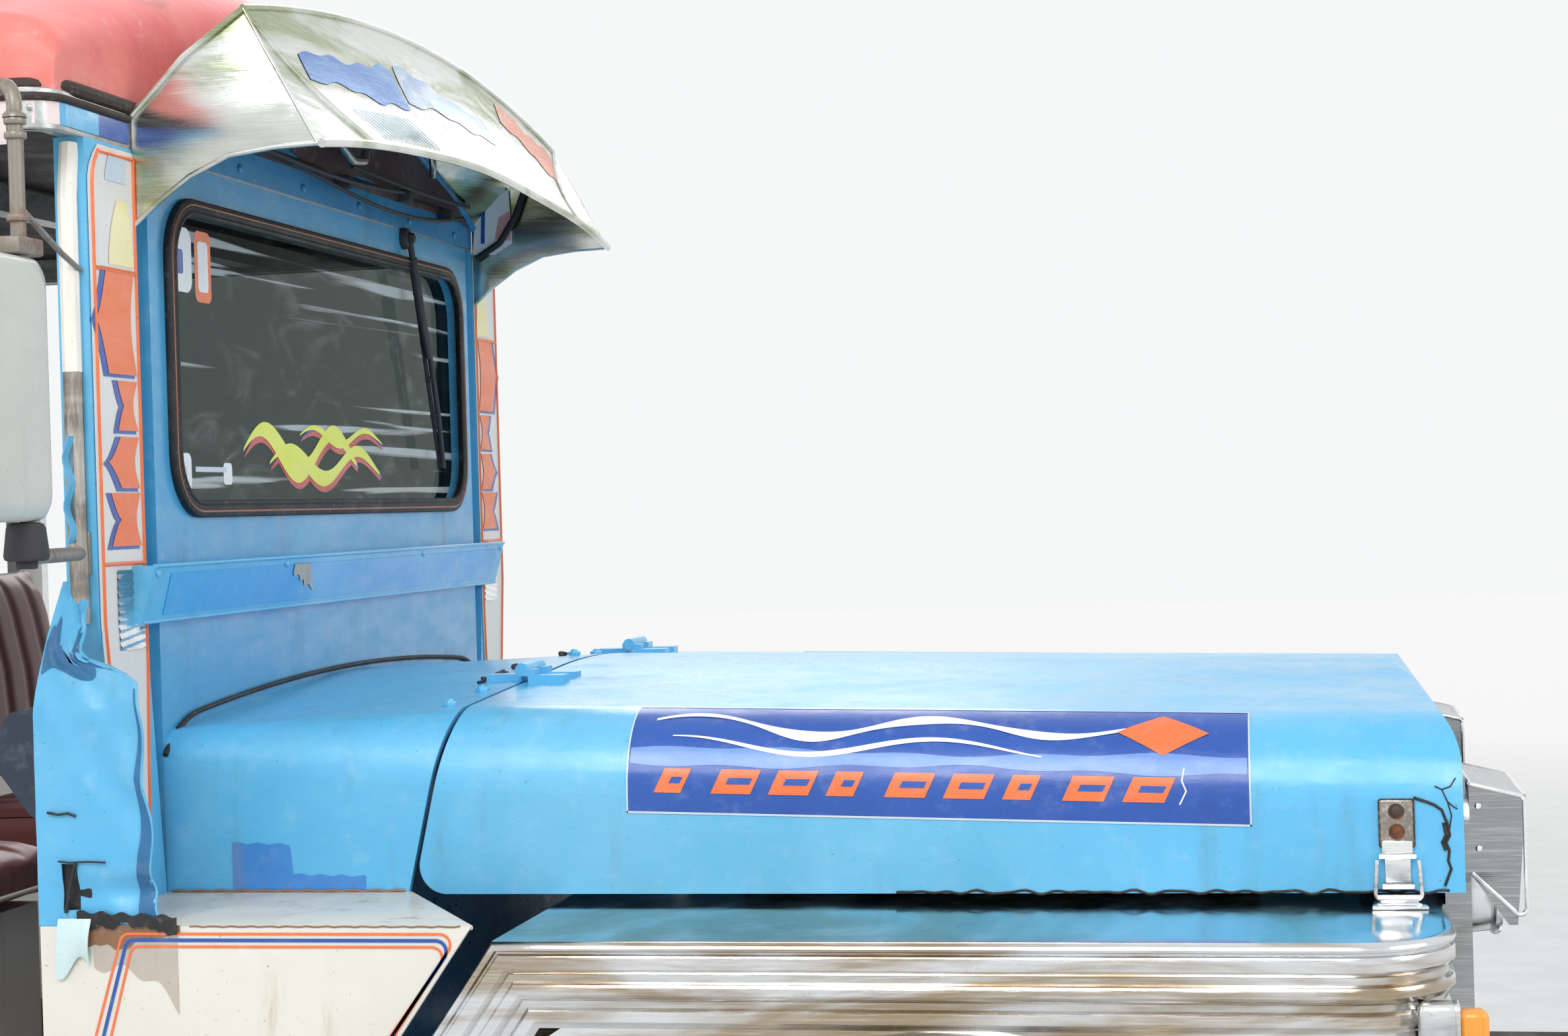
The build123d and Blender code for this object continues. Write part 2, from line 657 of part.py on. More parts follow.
def cowl():
    gap_x = HOOD_REAR_X - RUNNING_GAP
    side_view = seen_from_side(
        [
            (PANEL_FRONT_X, HOOD_BOTTOM_Z + COWL_FOOT_GAP, 0),
            (gap_x, HOOD_BOTTOM_Z + COWL_FOOT_GAP, 0),
            (leaning_edge_x(TOP_MARGIN_Z, gap_x), TOP_MARGIN_Z, 0),
            (PANEL_FRONT_X, TOP_MARGIN_Z, 0),
        ],
        (-HOOD_HALF_WIDTH - 1, HOOD_HALF_WIDTH + 1),
    )
    skin = (cowl_body(0) & side_view) - cowl_body(SHEET, HOOD_BOTTOM_Z - SKIN_CUT_DEPTH)
    return skin + both_sides(hinge_leaf(-1, (HINGE_Y - HINGE_KNUCKLE / 2, HINGE_Y + HINGE_KNUCKLE / 2)))


def hood_panel():
    rear_top_z = COWL_FRONT_SECTION[1] + HOOD_CROWN_MARGINS[0]
    nose_z = HOOD_FRONT_SECTION[1] + HOOD_CROWN_MARGINS[1]
    cut_z = HOOD_BOTTOM_Z - SKIN_CUT_DEPTH
    outline = [
        (HOOD_REAR_X, HOOD_BOTTOM_Z, HOOD_CORNER_RADIUS),
        (HOOD_FRONT_X, HOOD_BOTTOM_Z, 0),
        (HOOD_FRONT_X, nose_z, HOOD_NOSE_RADIUS),
        (leaning_edge_x(rear_top_z, HOOD_REAR_X), rear_top_z, 0),
    ]
    outer = hood_body(0) & seen_from_side(outline, (-HOOD_HALF_WIDTH - 1, HOOD_HALF_WIDTH + 1))
    inside_front_x = HOOD_FRONT_X - SHEET
    inside = seen_from_side(
        [
            (HOOD_REAR_X - 2 * HOOD_OVERRUN[0], cut_z, 0),
            (inside_front_x, cut_z, 0),
            (inside_front_x, nose_z - SHEET, HOOD_NOSE_RADIUS - SHEET),
            (HOOD_REAR_X - 2 * HOOD_OVERRUN[0], rear_top_z - SHEET, 0),
        ],
        (-HOOD_HALF_WIDTH, HOOD_HALF_WIDTH),
    )
    grille_opening = block(
        (inside_front_x - 1, HOOD_FRONT_X + 1),
        (-HOOD_HALF_WIDTH + SHEET, HOOD_HALF_WIDTH - SHEET),
        (cut_z, HOOD_LIP_Z),
    )
    skin = outer - (hood_body(SHEET, cut_z) & inside) - grille_opening
    near, far = HINGE_KNUCKLE / 2 + FIT, HINGE_KNUCKLE * 1.5
    leaves = hinge_leaf(1, (HINGE_Y + near, HINGE_Y + far)) + hinge_leaf(1, (HINGE_Y - far, HINGE_Y - near))
    return skin + both_sides(leaves)


def firewall():
    x_range = (FIREWALL_X, FIREWALL_X + SHEET)
    wall_y = BODY_HALF_WIDTH - SHEET
    ledge_z = LEDGE_Z - SHEET
    wall = block(x_range, (-wall_y, wall_y), (FLOOR_Z - FLOOR_THICKNESS, ledge_z))
    under_cowl = block(x_range, (-HOOD_HALF_WIDTH, HOOD_HALF_WIDTH), (ledge_z, TOP_MARGIN_Z))
    return wall + (cowl_body(SHEET + FIT, ledge_z - 1) & under_cowl)


# Hood latches, one on each side near the front
LATCH_SETBACK = 77
LATCH_X = HOOD_FRONT_X - LATCH_SETBACK
LATCH_WIDTH = 44
LATCH_Z = (940, 1055)
TOGGLE_Z = (950, 1010)
LATCH_DEPTH = 16
LATCH_RADIUS = 5


def hood_latches():
    plate = seen_from_side(
        rounded_box_outline((LATCH_X - LATCH_WIDTH / 2, LATCH_X + LATCH_WIDTH / 2), LATCH_Z, LATCH_RADIUS),
        (HOOD_HALF_WIDTH, HOOD_HALF_WIDTH + LATCH_DEPTH / 3),
    )
    toggle = seen_from_side(
        rounded_box_outline((LATCH_X - LATCH_WIDTH / 3, LATCH_X + LATCH_WIDTH / 3), TOGGLE_Z, LATCH_RADIUS),
        (HOOD_HALF_WIDTH, HOOD_HALF_WIDTH + LATCH_DEPTH),
    )
    return both_sides(plate + toggle)


# Windshield panel with its window
WINDOW_MARGIN = 60
WINDOW_HALF_WIDTH = HOOD_HALF_WIDTH - WINDOW_MARGIN
WINDOW_Z = (1440, 1835)
WINDOW_RADIUS = 75
PANEL_TOP_Z = CANTRAIL_Z
GLASS_THICKNESS = 6


def windshield_panel():
    panel = seen_from_front(
        [
            (-HOOD_HALF_WIDTH, LEDGE_Z, 0),
            (HOOD_HALF_WIDTH, LEDGE_Z, 0),
            (HOOD_HALF_WIDTH, PANEL_TOP_Z, 0),
            (-HOOD_HALF_WIDTH, PANEL_TOP_Z, 0),
        ],
        (PANEL_REAR_X, PANEL_FRONT_X),
    )
    window = seen_from_front(
        rounded_box_outline((-WINDOW_HALF_WIDTH, WINDOW_HALF_WIDTH), WINDOW_Z, WINDOW_RADIUS),
        (PANEL_REAR_X - 1, PANEL_FRONT_X + 1),
    )
    return panel - window


def windshield_glass():
    middle_x = (PANEL_REAR_X + PANEL_FRONT_X) / 2
    return seen_from_front(
        rounded_box_outline(
            (-WINDOW_HALF_WIDTH + FIT, WINDOW_HALF_WIDTH - FIT),
            (WINDOW_Z[0] + FIT, WINDOW_Z[1] - FIT),
            WINDOW_RADIUS - FIT,
        ),
        (middle_x - GLASS_THICKNESS / 2, middle_x + GLASS_THICKNESS / 2),
    )


# Route board across the front, under the window
BOARD_OVERHANG = 80
BOARD_HALF_WIDTH = HOOD_HALF_WIDTH + BOARD_OVERHANG
BOARD_Z = (1293, 1366)
BOARD_DEPTHS = (12.8, 32)
BOARD_RADII = (4, 3)


def route_board():
    return seen_from_side(
        [
            (PANEL_FRONT_X, BOARD_Z[0], 0),
            (PANEL_FRONT_X + BOARD_DEPTHS[0], BOARD_Z[0], BOARD_RADII[0]),
            (PANEL_FRONT_X + BOARD_DEPTHS[1], BOARD_Z[1], BOARD_RADII[1]),
            (PANEL_FRONT_X, BOARD_Z[1], 0),
        ],
        (-BOARD_HALF_WIDTH, BOARD_HALF_WIDTH),
    )


# Front posts, up the outer edge and down the inner edge
POST_FOOT_WIDTH = 22
POST_SHOULDER_Z = 1290
POST_WAIST_Z = (1110, 1240)
POST_BENDS = (260, 60, 150)
POST_FOOT_SET = 4
POST_GAP = 2


def front_posts():
    post = seen_from_front(
        [
            (HOOD_HALF_WIDTH + POST_GAP, LEDGE_Z, 0),
            (POST_INNER_Y + POST_FOOT_SET, LEDGE_Z, 0),
            (POST_INNER_Y + POST_FOOT_WIDTH, POST_WAIST_Z[0], POST_BENDS[0]),
            (POST_OUTER_Y, POST_SHOULDER_Z, POST_BENDS[1]),
            (POST_OUTER_Y, CANTRAIL_Z, 0),
            (POST_INNER_Y, CANTRAIL_Z, 0),
            (POST_INNER_Y, POST_WAIST_Z[1], POST_BENDS[2]),
        ],
        (PANEL_REAR_X, PANEL_FRONT_X),
    )
    return both_sides(post)


# Cab sides: lower wall, ledge beside the cowl and a flare above it
# Flare rows are (side, bend height, bend radius, top height): the right one rises to its post
DOORWAY_FRONT_X = 10
CAB_SIDE_TOP_X = 545
FENDER_SLOPE = 0.70
FLARE_ROWS = ((1, 1030, 60, 1145), (-1, 1225, 80, 1350))
FLARE_REACH = 150
FLARE_SHOULDER = (130, 15, 25)
FLARE_NECK = (44, 38, 30)
FLARE_TOP_REACH = 32


def flare(side, bend_z, bend_radius, top_z):
    """Bent sheet beside a post, on the side given by the sign."""
    outer_y = BODY_HALF_WIDTH
    strip = seen_from_front(
        [
            (outer_y - SHEET, LEDGE_Z - 1, 0),
            (outer_y, LEDGE_Z - 1, 0),
            (outer_y, bend_z, bend_radius),
            (POST_OUTER_Y + 2 * SHEET, top_z, 0),
            (POST_OUTER_Y + FIT, top_z, 0),
            (outer_y - SHEET, bend_z, bend_radius),
        ],
        (DOORWAY_FRONT_X, DOORWAY_FRONT_X + FLARE_REACH),
    )
    shoulder_reach, shoulder_rise, shoulder_radius = FLARE_SHOULDER
    neck_reach, neck_rise, neck_radius = FLARE_NECK
    outline = seen_from_side(
        [
            (DOORWAY_FRONT_X, LEDGE_Z - 2, 0),
            (DOORWAY_FRONT_X + FLARE_REACH, LEDGE_Z - 2, 0),
            (DOORWAY_FRONT_X + shoulder_reach, bend_z + shoulder_rise, shoulder_radius),
            (DOORWAY_FRONT_X + neck_reach, bend_z + neck_rise, neck_radius),
            (DOORWAY_FRONT_X + FLARE_TOP_REACH, top_z, 0),
            (DOORWAY_FRONT_X, top_z, 0),
        ],
        (POST_OUTER_Y - 1, outer_y + 1),
    )
    on_left = strip & outline
    return on_left if side > 0 else mirror(on_left, about=Plane.XZ)


def cab_sides():
    outer_y = BODY_HALF_WIDTH
    inner_y = BODY_HALF_WIDTH - SHEET
    slope_foot_x = CAB_SIDE_TOP_X - (LEDGE_Z - SILL_Z) * FENDER_SLOPE
    wall = seen_from_side(
        [
            (DOORWAY_FRONT_X, SILL_Z, 0),
            (slope_foot_x, SILL_Z, 0),
            (CAB_SIDE_TOP_X, LEDGE_Z, 0),
            (DOORWAY_FRONT_X, LEDGE_Z, 0),
        ],
        (inner_y, outer_y),
    )
    ledge = seen_from_above(
        [
            (DOORWAY_FRONT_X, HOOD_HALF_WIDTH - SHEET, 0),
            (HOOD_REAR_X - RUNNING_GAP, HOOD_HALF_WIDTH - SHEET, 0),
            (CAB_SIDE_TOP_X, outer_y, 0),
            (DOORWAY_FRONT_X, outer_y, 0),
        ],
        (LEDGE_Z - SHEET, LEDGE_Z),
    )
    return both_sides(wall + ledge) + [flare(*row) for row in FLARE_ROWS]


# Front fenders: top, side, front and inner apron in one shell
FENDER_REAR_TOP_X = 572
FENDER_BOTTOM_Z = 470
FENDER_CORNER_RADIUS = 120
APRON_BOTTOM_Z = 580
ARCH_CUT_DEPTH = 60


def fender_side_outline(inset):
    foot_x = FENDER_REAR_TOP_X - (FENDER_TOP_Z - FENDER_BOTTOM_Z) * FENDER_SLOPE
    lean = hypot(1, FENDER_SLOPE)
    return [
        (foot_x + inset * lean, FENDER_BOTTOM_Z - inset, 0),
        (FENDER_FRONT_X - inset, FENDER_BOTTOM_Z - inset, 0),
        (FENDER_FRONT_X - inset, FENDER_TOP_Z - inset, 0),
        (FENDER_REAR_TOP_X + inset * lean, FENDER_TOP_Z - inset, 0),
    ]


def fender_plan(inset):
    """The fender seen from above, inset from the outer skin."""
    rear_x = PANEL_FRONT_X
    inner_y, outer_y = APRON_Y + inset, FENDER_HALF_WIDTH - inset
    return seen_from_above(
        [
            (rear_x, inner_y, 0),
            (FENDER_FRONT_X - inset, inner_y, 0),
            (FENDER_FRONT_X - inset, outer_y, FENDER_CORNER_RADIUS - inset),
            (rear_x, outer_y, 0),
        ],
        (BUMPER_BOTTOM_Z - 2 * SHEET, FENDER_TOP_Z),
    )


def front_fenders():
    outer = seen_from_side(fender_side_outline(0), (APRON_Y, FENDER_HALF_WIDTH)) & fender_plan(0)
    inner_range = (APRON_Y + SHEET, FENDER_HALF_WIDTH - SHEET)
    hollow = seen_from_side(fender_side_outline(SHEET), inner_range) & fender_plan(SHEET)
    arch_start = (FRONT_AXLE_X, FENDER_HALF_WIDTH - ARCH_CUT_DEPTH, WHEEL_Z)
    arch_end = (FRONT_AXLE_X, FENDER_HALF_WIDTH + 1, WHEEL_Z)
    arch = rod(arch_start, arch_end, ARCH_RADIUS)
    apron_foot = block(
        (0, FENDER_FRONT_X + 1), (APRON_Y - 1, HOOD_HALF_WIDTH), (FENDER_BOTTOM_Z - SHEET, APRON_BOTTOM_Z)
    )
    return both_sides(outer - hollow - arch - apron_foot)


# Grille shell with upright bars, and a boxed hood over each headlamp
GRILLE_MARGIN = 26
GRILLE_HALF_WIDTH = HOOD_HALF_WIDTH - GRILLE_MARGIN
GRILLE_Z = (640, 1070)
GRILLE_SHOULDER_RADIUS = 60
GRILLE_OPENING_HALF_WIDTH = 330
GRILLE_OPENING_Z = (690, 1020)
GRILLE_OPENING_RADIUS = 30
GRILLE_BAR_SETS = (6, 4)
GRILLE_BARS = 9
GRILLE_BAR_WIDTH = 18
LAMP_HOOD_WIDTH = 240
LAMP_HOOD_Y = (GRILLE_HALF_WIDTH - LAMP_HOOD_WIDTH, GRILLE_HALF_WIDTH)
LAMP_HOOD_WALL = 5
LAMP_HOOD_DEPTH = 65
LAMP_HOOD_TIP_DEPTHS = (42, 52)
LAMP_HOOD_TOP_Z = 1053
LAMP_HOOD_TIP_Z = 900
LAMP_HOOD_ROOT_Z = (960, 1068)


def grille_shell():
    shell = seen_from_front(
        [
            (-GRILLE_HALF_WIDTH, GRILLE_Z[0], 0),
            (GRILLE_HALF_WIDTH, GRILLE_Z[0], 0),
            (GRILLE_HALF_WIDTH, GRILLE_Z[1], GRILLE_SHOULDER_RADIUS),
            (-GRILLE_HALF_WIDTH, GRILLE_Z[1], GRILLE_SHOULDER_RADIUS),
        ],
        (FENDER_FRONT_X, GRILLE_FRONT_X),
    )
    opening = seen_from_front(
        rounded_box_outline(
            (-GRILLE_OPENING_HALF_WIDTH, GRILLE_OPENING_HALF_WIDTH), GRILLE_OPENING_Z, GRILLE_OPENING_RADIUS
        ),
        (FENDER_FRONT_X - 1, GRILLE_FRONT_X + 1),
    )
    pitch = 2 * GRILLE_OPENING_HALF_WIDTH / (GRILLE_BARS + 1)
    bars = [
        block(
            (FENDER_FRONT_X + GRILLE_BAR_SETS[0], GRILLE_FRONT_X - GRILLE_BAR_SETS[1]),
            (y - GRILLE_BAR_WIDTH / 2, y + GRILLE_BAR_WIDTH / 2),
            GRILLE_OPENING_Z,
        )
        for y in [pitch * (index + 1) - GRILLE_OPENING_HALF_WIDTH for index in range(GRILLE_BARS)]
    ]
    lamp_hood = seen_from_side(
        [
            (GRILLE_FRONT_X, LAMP_HOOD_ROOT_Z[0], 0),
            (GRILLE_FRONT_X + LAMP_HOOD_TIP_DEPTHS[0], LAMP_HOOD_TIP_Z, 0),
            (GRILLE_FRONT_X + LAMP_HOOD_TIP_DEPTHS[1], LAMP_HOOD_TIP_Z, 0),
            (GRILLE_FRONT_X + LAMP_HOOD_DEPTH, LAMP_HOOD_TOP_Z, 0),
            (GRILLE_FRONT_X, LAMP_HOOD_ROOT_Z[1], 0),
        ],
        LAMP_HOOD_Y,
    )
    lamp_space = block(
        (GRILLE_FRONT_X, GRILLE_FRONT_X + LAMP_HOOD_DEPTH + 1),
        (LAMP_HOOD_Y[0] + LAMP_HOOD_WALL, LAMP_HOOD_Y[1] - LAMP_HOOD_WALL),
        (LAMP_HOOD_TIP_Z - 1, LAMP_HOOD_TOP_Z - LAMP_HOOD_WALL),
    )
    feet = both_sides(
        block((FENDER_FRONT_X, GRILLE_FRONT_X), (RAIL_INNER_Y, RAIL_OUTER_Y), (RAIL_TOP_Z, GRILLE_Z[0]))
    )
    return shell - opening + bars + feet + both_sides(lamp_hood - lamp_space)


HEADLAMP_Z = 955
HEADLAMP_RADIUS = 84
HEADLAMP_DEPTH = 42


def headlamps():
    middle_y = sum(LAMP_HOOD_Y) / 2
    back = (GRILLE_FRONT_X, middle_y, HEADLAMP_Z)
    front = (GRILLE_FRONT_X + HEADLAMP_DEPTH, middle_y, HEADLAMP_Z)
    return both_sides(rod(back, front, HEADLAMP_RADIUS))


MARKER_X = (1600, 1675)
MARKER_Y = (905, 945)
MARKER_Z = (812, 866)
MARKER_RADIUS = 10


def marker_lamps():
    lamp = seen_from_front(rounded_box_outline(MARKER_Y, MARKER_Z, MARKER_RADIUS), MARKER_X)
    seat_x, seat_y = FENDER_FRONT_X + FIT, FENDER_HALF_WIDTH + FIT
    corner = seen_from_above(
        [
            (seat_x - 2 * FENDER_CORNER_RADIUS, APRON_Y, 0),
            (seat_x, APRON_Y, 0),
            (seat_x, seat_y, FENDER_CORNER_RADIUS + FIT),
            (seat_x - 2 * FENDER_CORNER_RADIUS, seat_y, 0),
        ],
        (MARKER_Z[0] - 1, MARKER_Z[1] + 1),
    )
    return both_sides(lamp - corner)


# Visor over the windshield: rows of (x, edge height, crown height)
VISOR_STATIONS = ((PANEL_FRONT_X, 1935, 2085), (200, 2030, 2125), (308, 1888, 1936))
VISOR_SHEET = 8
VISOR_HALF_WIDTH = POST_INNER_Y + VISOR_SHEET
CHEEK_ROOT_Z = 1796
CHEEK_BENDS = ((133, 1858, 40), (200, 1882, 60))


def visor():
    sections = []
    for x, edge_z, crown_z in VISOR_STATIONS:
        lower = [(-VISOR_HALF_WIDTH, edge_z), (0, crown_z), (VISOR_HALF_WIDTH, edge_z)]
        upper = [(y, z + VISOR_SHEET) for y, z in lower]
        outline = make_face(
            [
                ThreePointArc(*lower),
                Line(lower[2], upper[2]),
                ThreePointArc(upper[2], upper[1], upper[0]),
                Line(upper[0], lower[0]),
            ]
        )
        sections.append(Plane.YZ.offset(x) * outline)
    sheet = loft(sections, ruled=True)
    (root_x, root_z), (ridge_x, ridge_z), (lip_x, lip_z) = [(x, edge_z) for x, edge_z, _ in VISOR_STATIONS]
    cheek = seen_from_side(
        [
            (root_x, CHEEK_ROOT_Z, 0),
            *CHEEK_BENDS,
            (lip_x, lip_z, 0),
            (ridge_x, ridge_z + VISOR_SHEET / 2, 0),
            (root_x, root_z + VISOR_SHEET / 2, 0),
        ],
        (VISOR_HALF_WIDTH - VISOR_SHEET, VISOR_HALF_WIDTH),
    )
    return sheet + both_sides(cheek)


# Gutter ring and roof bows carried by the posts and side walls
FIRST_BOW_GAP = 600
BOW_PITCH = 650
BOW_COUNT = 4
BOW_X = (BULKHEAD_X / 2, *[BULKHEAD_X - FIRST_BOW_GAP - BOW_PITCH * index for index in range(BOW_COUNT)])
BOW_WIDTH = 40
BOW_RECESS = 10
RING_WALL = 30
RING_RADII = (40, 15)
RING_FRONT_X = PANEL_FRONT_X


def roof_gutters():
    ring = seen_from_above(
        rounded_box_outline((BODY_REAR_X, RING_FRONT_X), (-BODY_HALF_WIDTH, BODY_HALF_WIDTH), RING_RADII[0]),
        (CANTRAIL_Z, ROOF_EDGE_Z),
    )
    inside = seen_from_above(
        rounded_box_outline(
            (BODY_REAR_X + RING_WALL, RING_FRONT_X - RING_WALL),
            (-BODY_HALF_WIDTH + RING_WALL, BODY_HALF_WIDTH - RING_WALL),
            RING_RADII[1],
        ),
        (CANTRAIL_Z - 1, ROOF_EDGE_Z + 1),
    )
    bows = [
        block(
            (x - BOW_WIDTH / 2, x + BOW_WIDTH / 2),
            (-BODY_HALF_WIDTH + RING_WALL, BODY_HALF_WIDTH - RING_WALL),
            (CANTRAIL_Z + BOW_RECESS, ROOF_EDGE_Z),
        )
        for x in BOW_X
    ]
    return ring - inside + bows


ROOF_SKIN = 28
ROOF_EDGE_RADIUS = 60
ROOF_END_RADIUS = 110
ROOF_CROWN_RADIUS = 2400
ROOF_RIDGE_RISE = 48
ROOF_RIDGE_Z = ROOF_CROWN_Z + ROOF_RIDGE_RISE
ROOF_END_GAP = (10, 4)


def roof_section(x, inset, low_z):
    half_width = ROOF_HALF_WIDTH - inset
    return Plane.YZ.offset(x) * rounded_face(
        [
            (-half_width, low_z, 0),
            (half_width, low_z, 0),
            (half_width, ROOF_EDGE_Z + ROOF_SIDE_HEIGHT - inset, ROOF_EDGE_RADIUS),
            (0, ROOF_RIDGE_Z - inset, ROOF_CROWN_RADIUS),
            (-half_width, ROOF_EDGE_Z + ROOF_SIDE_HEIGHT - inset, ROOF_EDGE_RADIUS),
        ]
    )


def roof():
    rear_x = BODY_REAR_X + ROOF_END_GAP[0]
    front_x = RING_FRONT_X - ROOF_END_GAP[1]
    length = front_x - rear_x
    outer = extrude(roof_section(rear_x, 0, ROOF_EDGE_Z), amount=length, dir=(1, 0, 0))
    side_view = seen_from_side(
        [
            (rear_x, ROOF_EDGE_Z, 0),
            (front_x, ROOF_EDGE_Z, 0),
            (front_x, ROOF_CROWN_Z, ROOF_END_RADIUS),
            (rear_x, ROOF_CROWN_Z, ROOF_END_RADIUS),
        ],
        (-ROOF_HALF_WIDTH, ROOF_HALF_WIDTH),
    )
    inner_section = roof_section(rear_x + ROOF_SKIN, ROOF_SKIN, ROOF_EDGE_Z - 1)
    inside = extrude(inner_section, amount=length - 2 * ROOF_SKIN, dir=(1, 0, 0))
    inside_view = seen_from_side(
        [
            (rear_x + ROOF_SKIN, ROOF_EDGE_Z - 1, 0),
            (front_x - ROOF_SKIN, ROOF_EDGE_Z - 1, 0),
            (front_x - ROOF_SKIN, ROOF_CROWN_Z - ROOF_SKIN, ROOF_END_RADIUS - ROOF_SKIN),
            (rear_x + ROOF_SKIN, ROOF_CROWN_Z - ROOF_SKIN, ROOF_END_RADIUS - ROOF_SKIN),
        ],
        (-ROOF_HALF_WIDTH, ROOF_HALF_WIDTH),
    )
    return (outer & side_view) - (inside & inside_view)


# Passenger side walls with open windows and the rear wheel arch
SKIRT_RISE = 60
SKIRT_Z = SILL_Z + SKIRT_RISE
SKIRT_CORNER = 40
WINDOW_COUNT = 4
PILLAR_WIDTH = 70
SIDE_WINDOW_TOP_Z = 1800
SIDE_WINDOW_RADIUS = 70


def side_panels():
    wall = seen_from_side(
        [
            (BODY_REAR_X, SKIRT_Z, SKIRT_CORNER),
            (BULKHEAD_X, SKIRT_Z, 0),
            (BULKHEAD_X, CANTRAIL_Z, 0),
            (BODY_REAR_X, CANTRAIL_Z, 0),
        ],
        (BODY_HALF_WIDTH - SIDE_WALL, BODY_HALF_WIDTH),
    )
    bay = (BODY_LENGTH - PILLAR_WIDTH) / WINDOW_COUNT
    window_length = bay - PILLAR_WIDTH
    window_z = (BELT_Z, SIDE_WINDOW_TOP_Z)
    through = (BODY_HALF_WIDTH - SIDE_WALL - 1, BODY_HALF_WIDTH + 1)
    lefts = [BODY_REAR_X + PILLAR_WIDTH + bay * index for index in range(WINDOW_COUNT)]
    outlines = [rounded_box_outline((x, x + window_length), window_z, SIDE_WINDOW_RADIUS) for x in lefts]
    windows = [seen_from_side(outline, through) for outline in outlines]
    arch = rod((REAR_AXLE_X, through[0], WHEEL_Z), (REAR_AXLE_X, through[1], WHEEL_Z), ARCH_RADIUS)
    return both_sides(wall - windows - arch)


# Rear wall with the open entrance, and the partition behind the driver
ENTRANCE_HALF_WIDTH = 330
REAR_WINDOW_Z = (1220, 1760)
REAR_WINDOW_MARGINS = (110, 90)
REAR_CORNER_RADIUS = 90


def rear_frame():
    wall_y = BODY_HALF_WIDTH - SIDE_WALL
    wall = block((BODY_REAR_X, BODY_REAR_X + SIDE_WALL), (-wall_y, wall_y), (SKIRT_Z, CANTRAIL_Z))
    entrance = seen_from_front(
        [
            (-ENTRANCE_HALF_WIDTH, SILL_Z, 0),
            (ENTRANCE_HALF_WIDTH, SILL_Z, 0),
            (ENTRANCE_HALF_WIDTH, SIDE_WINDOW_TOP_Z, REAR_CORNER_RADIUS),
            (-ENTRANCE_HALF_WIDTH, SIDE_WINDOW_TOP_Z, REAR_CORNER_RADIUS),
        ],
        (BODY_REAR_X - 1, BODY_REAR_X + SIDE_WALL + 1),
    )
    inner_margin, outer_margin = REAR_WINDOW_MARGINS
    window_y = (ENTRANCE_HALF_WIDTH + inner_margin, wall_y - outer_margin)
    window = both_sides(
        seen_from_front(
            rounded_box_outline(window_y, REAR_WINDOW_Z, SIDE_WINDOW_RADIUS),
            (BODY_REAR_X - 1, BODY_REAR_X + SIDE_WALL + 1),
        )
    )
    floor_slot = block(
        (BODY_REAR_X - 1, BODY_REAR_X + SIDE_WALL + 1),
        (-PASSENGER_FLOOR_HALF_WIDTH, PASSENGER_FLOOR_HALF_WIDTH),
        (SILL_Z, FLOOR_Z),
    )
    return wall - entrance - window - floor_slot


HATCH_MARGIN = 90


def bulkhead():
    wall_y = BODY_HALF_WIDTH - SIDE_WALL
    x_range = (BULKHEAD_X - SIDE_WALL, BULKHEAD_X)
    wall = block(x_range, (-wall_y, wall_y), (FLOOR_Z, CANTRAIL_Z))
    opening = seen_from_front(
        rounded_box_outline(
            (-wall_y + HATCH_MARGIN, wall_y - HATCH_MARGIN),
            (REAR_WINDOW_Z[0], SIDE_WINDOW_TOP_Z),
            REAR_CORNER_RADIUS,
        ),
        (x_range[0] - 1, x_range[1] + 1),
    )
    return wall - opening


# Rear step hung from the rails
STEP_Z = 350
STEP_THICKNESS = 12
STEP_HANGER = 40
STEP_GAP = 10
STEP_FRONT_X = BODY_REAR_X - STEP_GAP
HANGER_INSET = 60
HANGER_FRONT_X = BODY_REAR_X + HANGER_INSET
HANGER_REAR_X = STEP_REAR_X + HANGER_INSET
HANGER_THICKNESS = 20
HANGER_BENDS = (60, 40)


def rear_step():
    tread_z = (STEP_Z - STEP_THICKNESS, STEP_Z)
    tread = block((STEP_REAR_X, STEP_FRONT_X), (-RAIL_OUTER_Y, RAIL_OUTER_Y), tread_z)
    hangers = both_sides(
        seen_from_side(
            [
                (HANGER_REAR_X, STEP_Z - STEP_THICKNESS, 0),
                (HANGER_FRONT_X, STEP_Z - STEP_THICKNESS, HANGER_BENDS[0]),
                (HANGER_FRONT_X, RAIL_BOTTOM_Z, 0),
                (HANGER_FRONT_X - STEP_HANGER, RAIL_BOTTOM_Z, 0),
                (HANGER_FRONT_X - STEP_HANGER, STEP_Z + STEP_GAP, HANGER_BENDS[1]),
                (HANGER_REAR_X, STEP_Z, 0),
            ],
            (RAIL_OUTER_Y - HANGER_THICKNESS, RAIL_OUTER_Y),
        )
    )
    return tread + hangers


# Running boards under the doorways
BOARD_THICKNESS = 25
BOARD_WIDTH = 230
BOARD_INNER_Y = BODY_HALF_WIDTH - BOARD_WIDTH
BOARD_FRONT_X = 190
BOARD_STRUT_X = (-80, -760)
BOARD_STRUT = (40, 30, 60)
BOARD_STRUT_RISE = 10


def running_boards():
    board_z = (SILL_Z - BOARD_THICKNESS, SILL_Z)
    board = block((BULKHEAD_X, BOARD_FRONT_X), (BOARD_INNER_Y, BODY_HALF_WIDTH), board_z)
    length, height, reach = BOARD_STRUT
    outer_y = BOARD_INNER_Y + reach
    low_z = SILL_Z + BOARD_STRUT_RISE
    high_z = low_z + height
    struts = [
        block((x - length / 2, x + length / 2), (RAIL_OUTER_Y, outer_y), (low_z, high_z))
        + block((x - length / 2, x + length / 2), (BOARD_INNER_Y, outer_y), (SILL_Z - 1, high_z))
        for x in BOARD_STRUT_X
    ]
    return both_sides(board + struts)


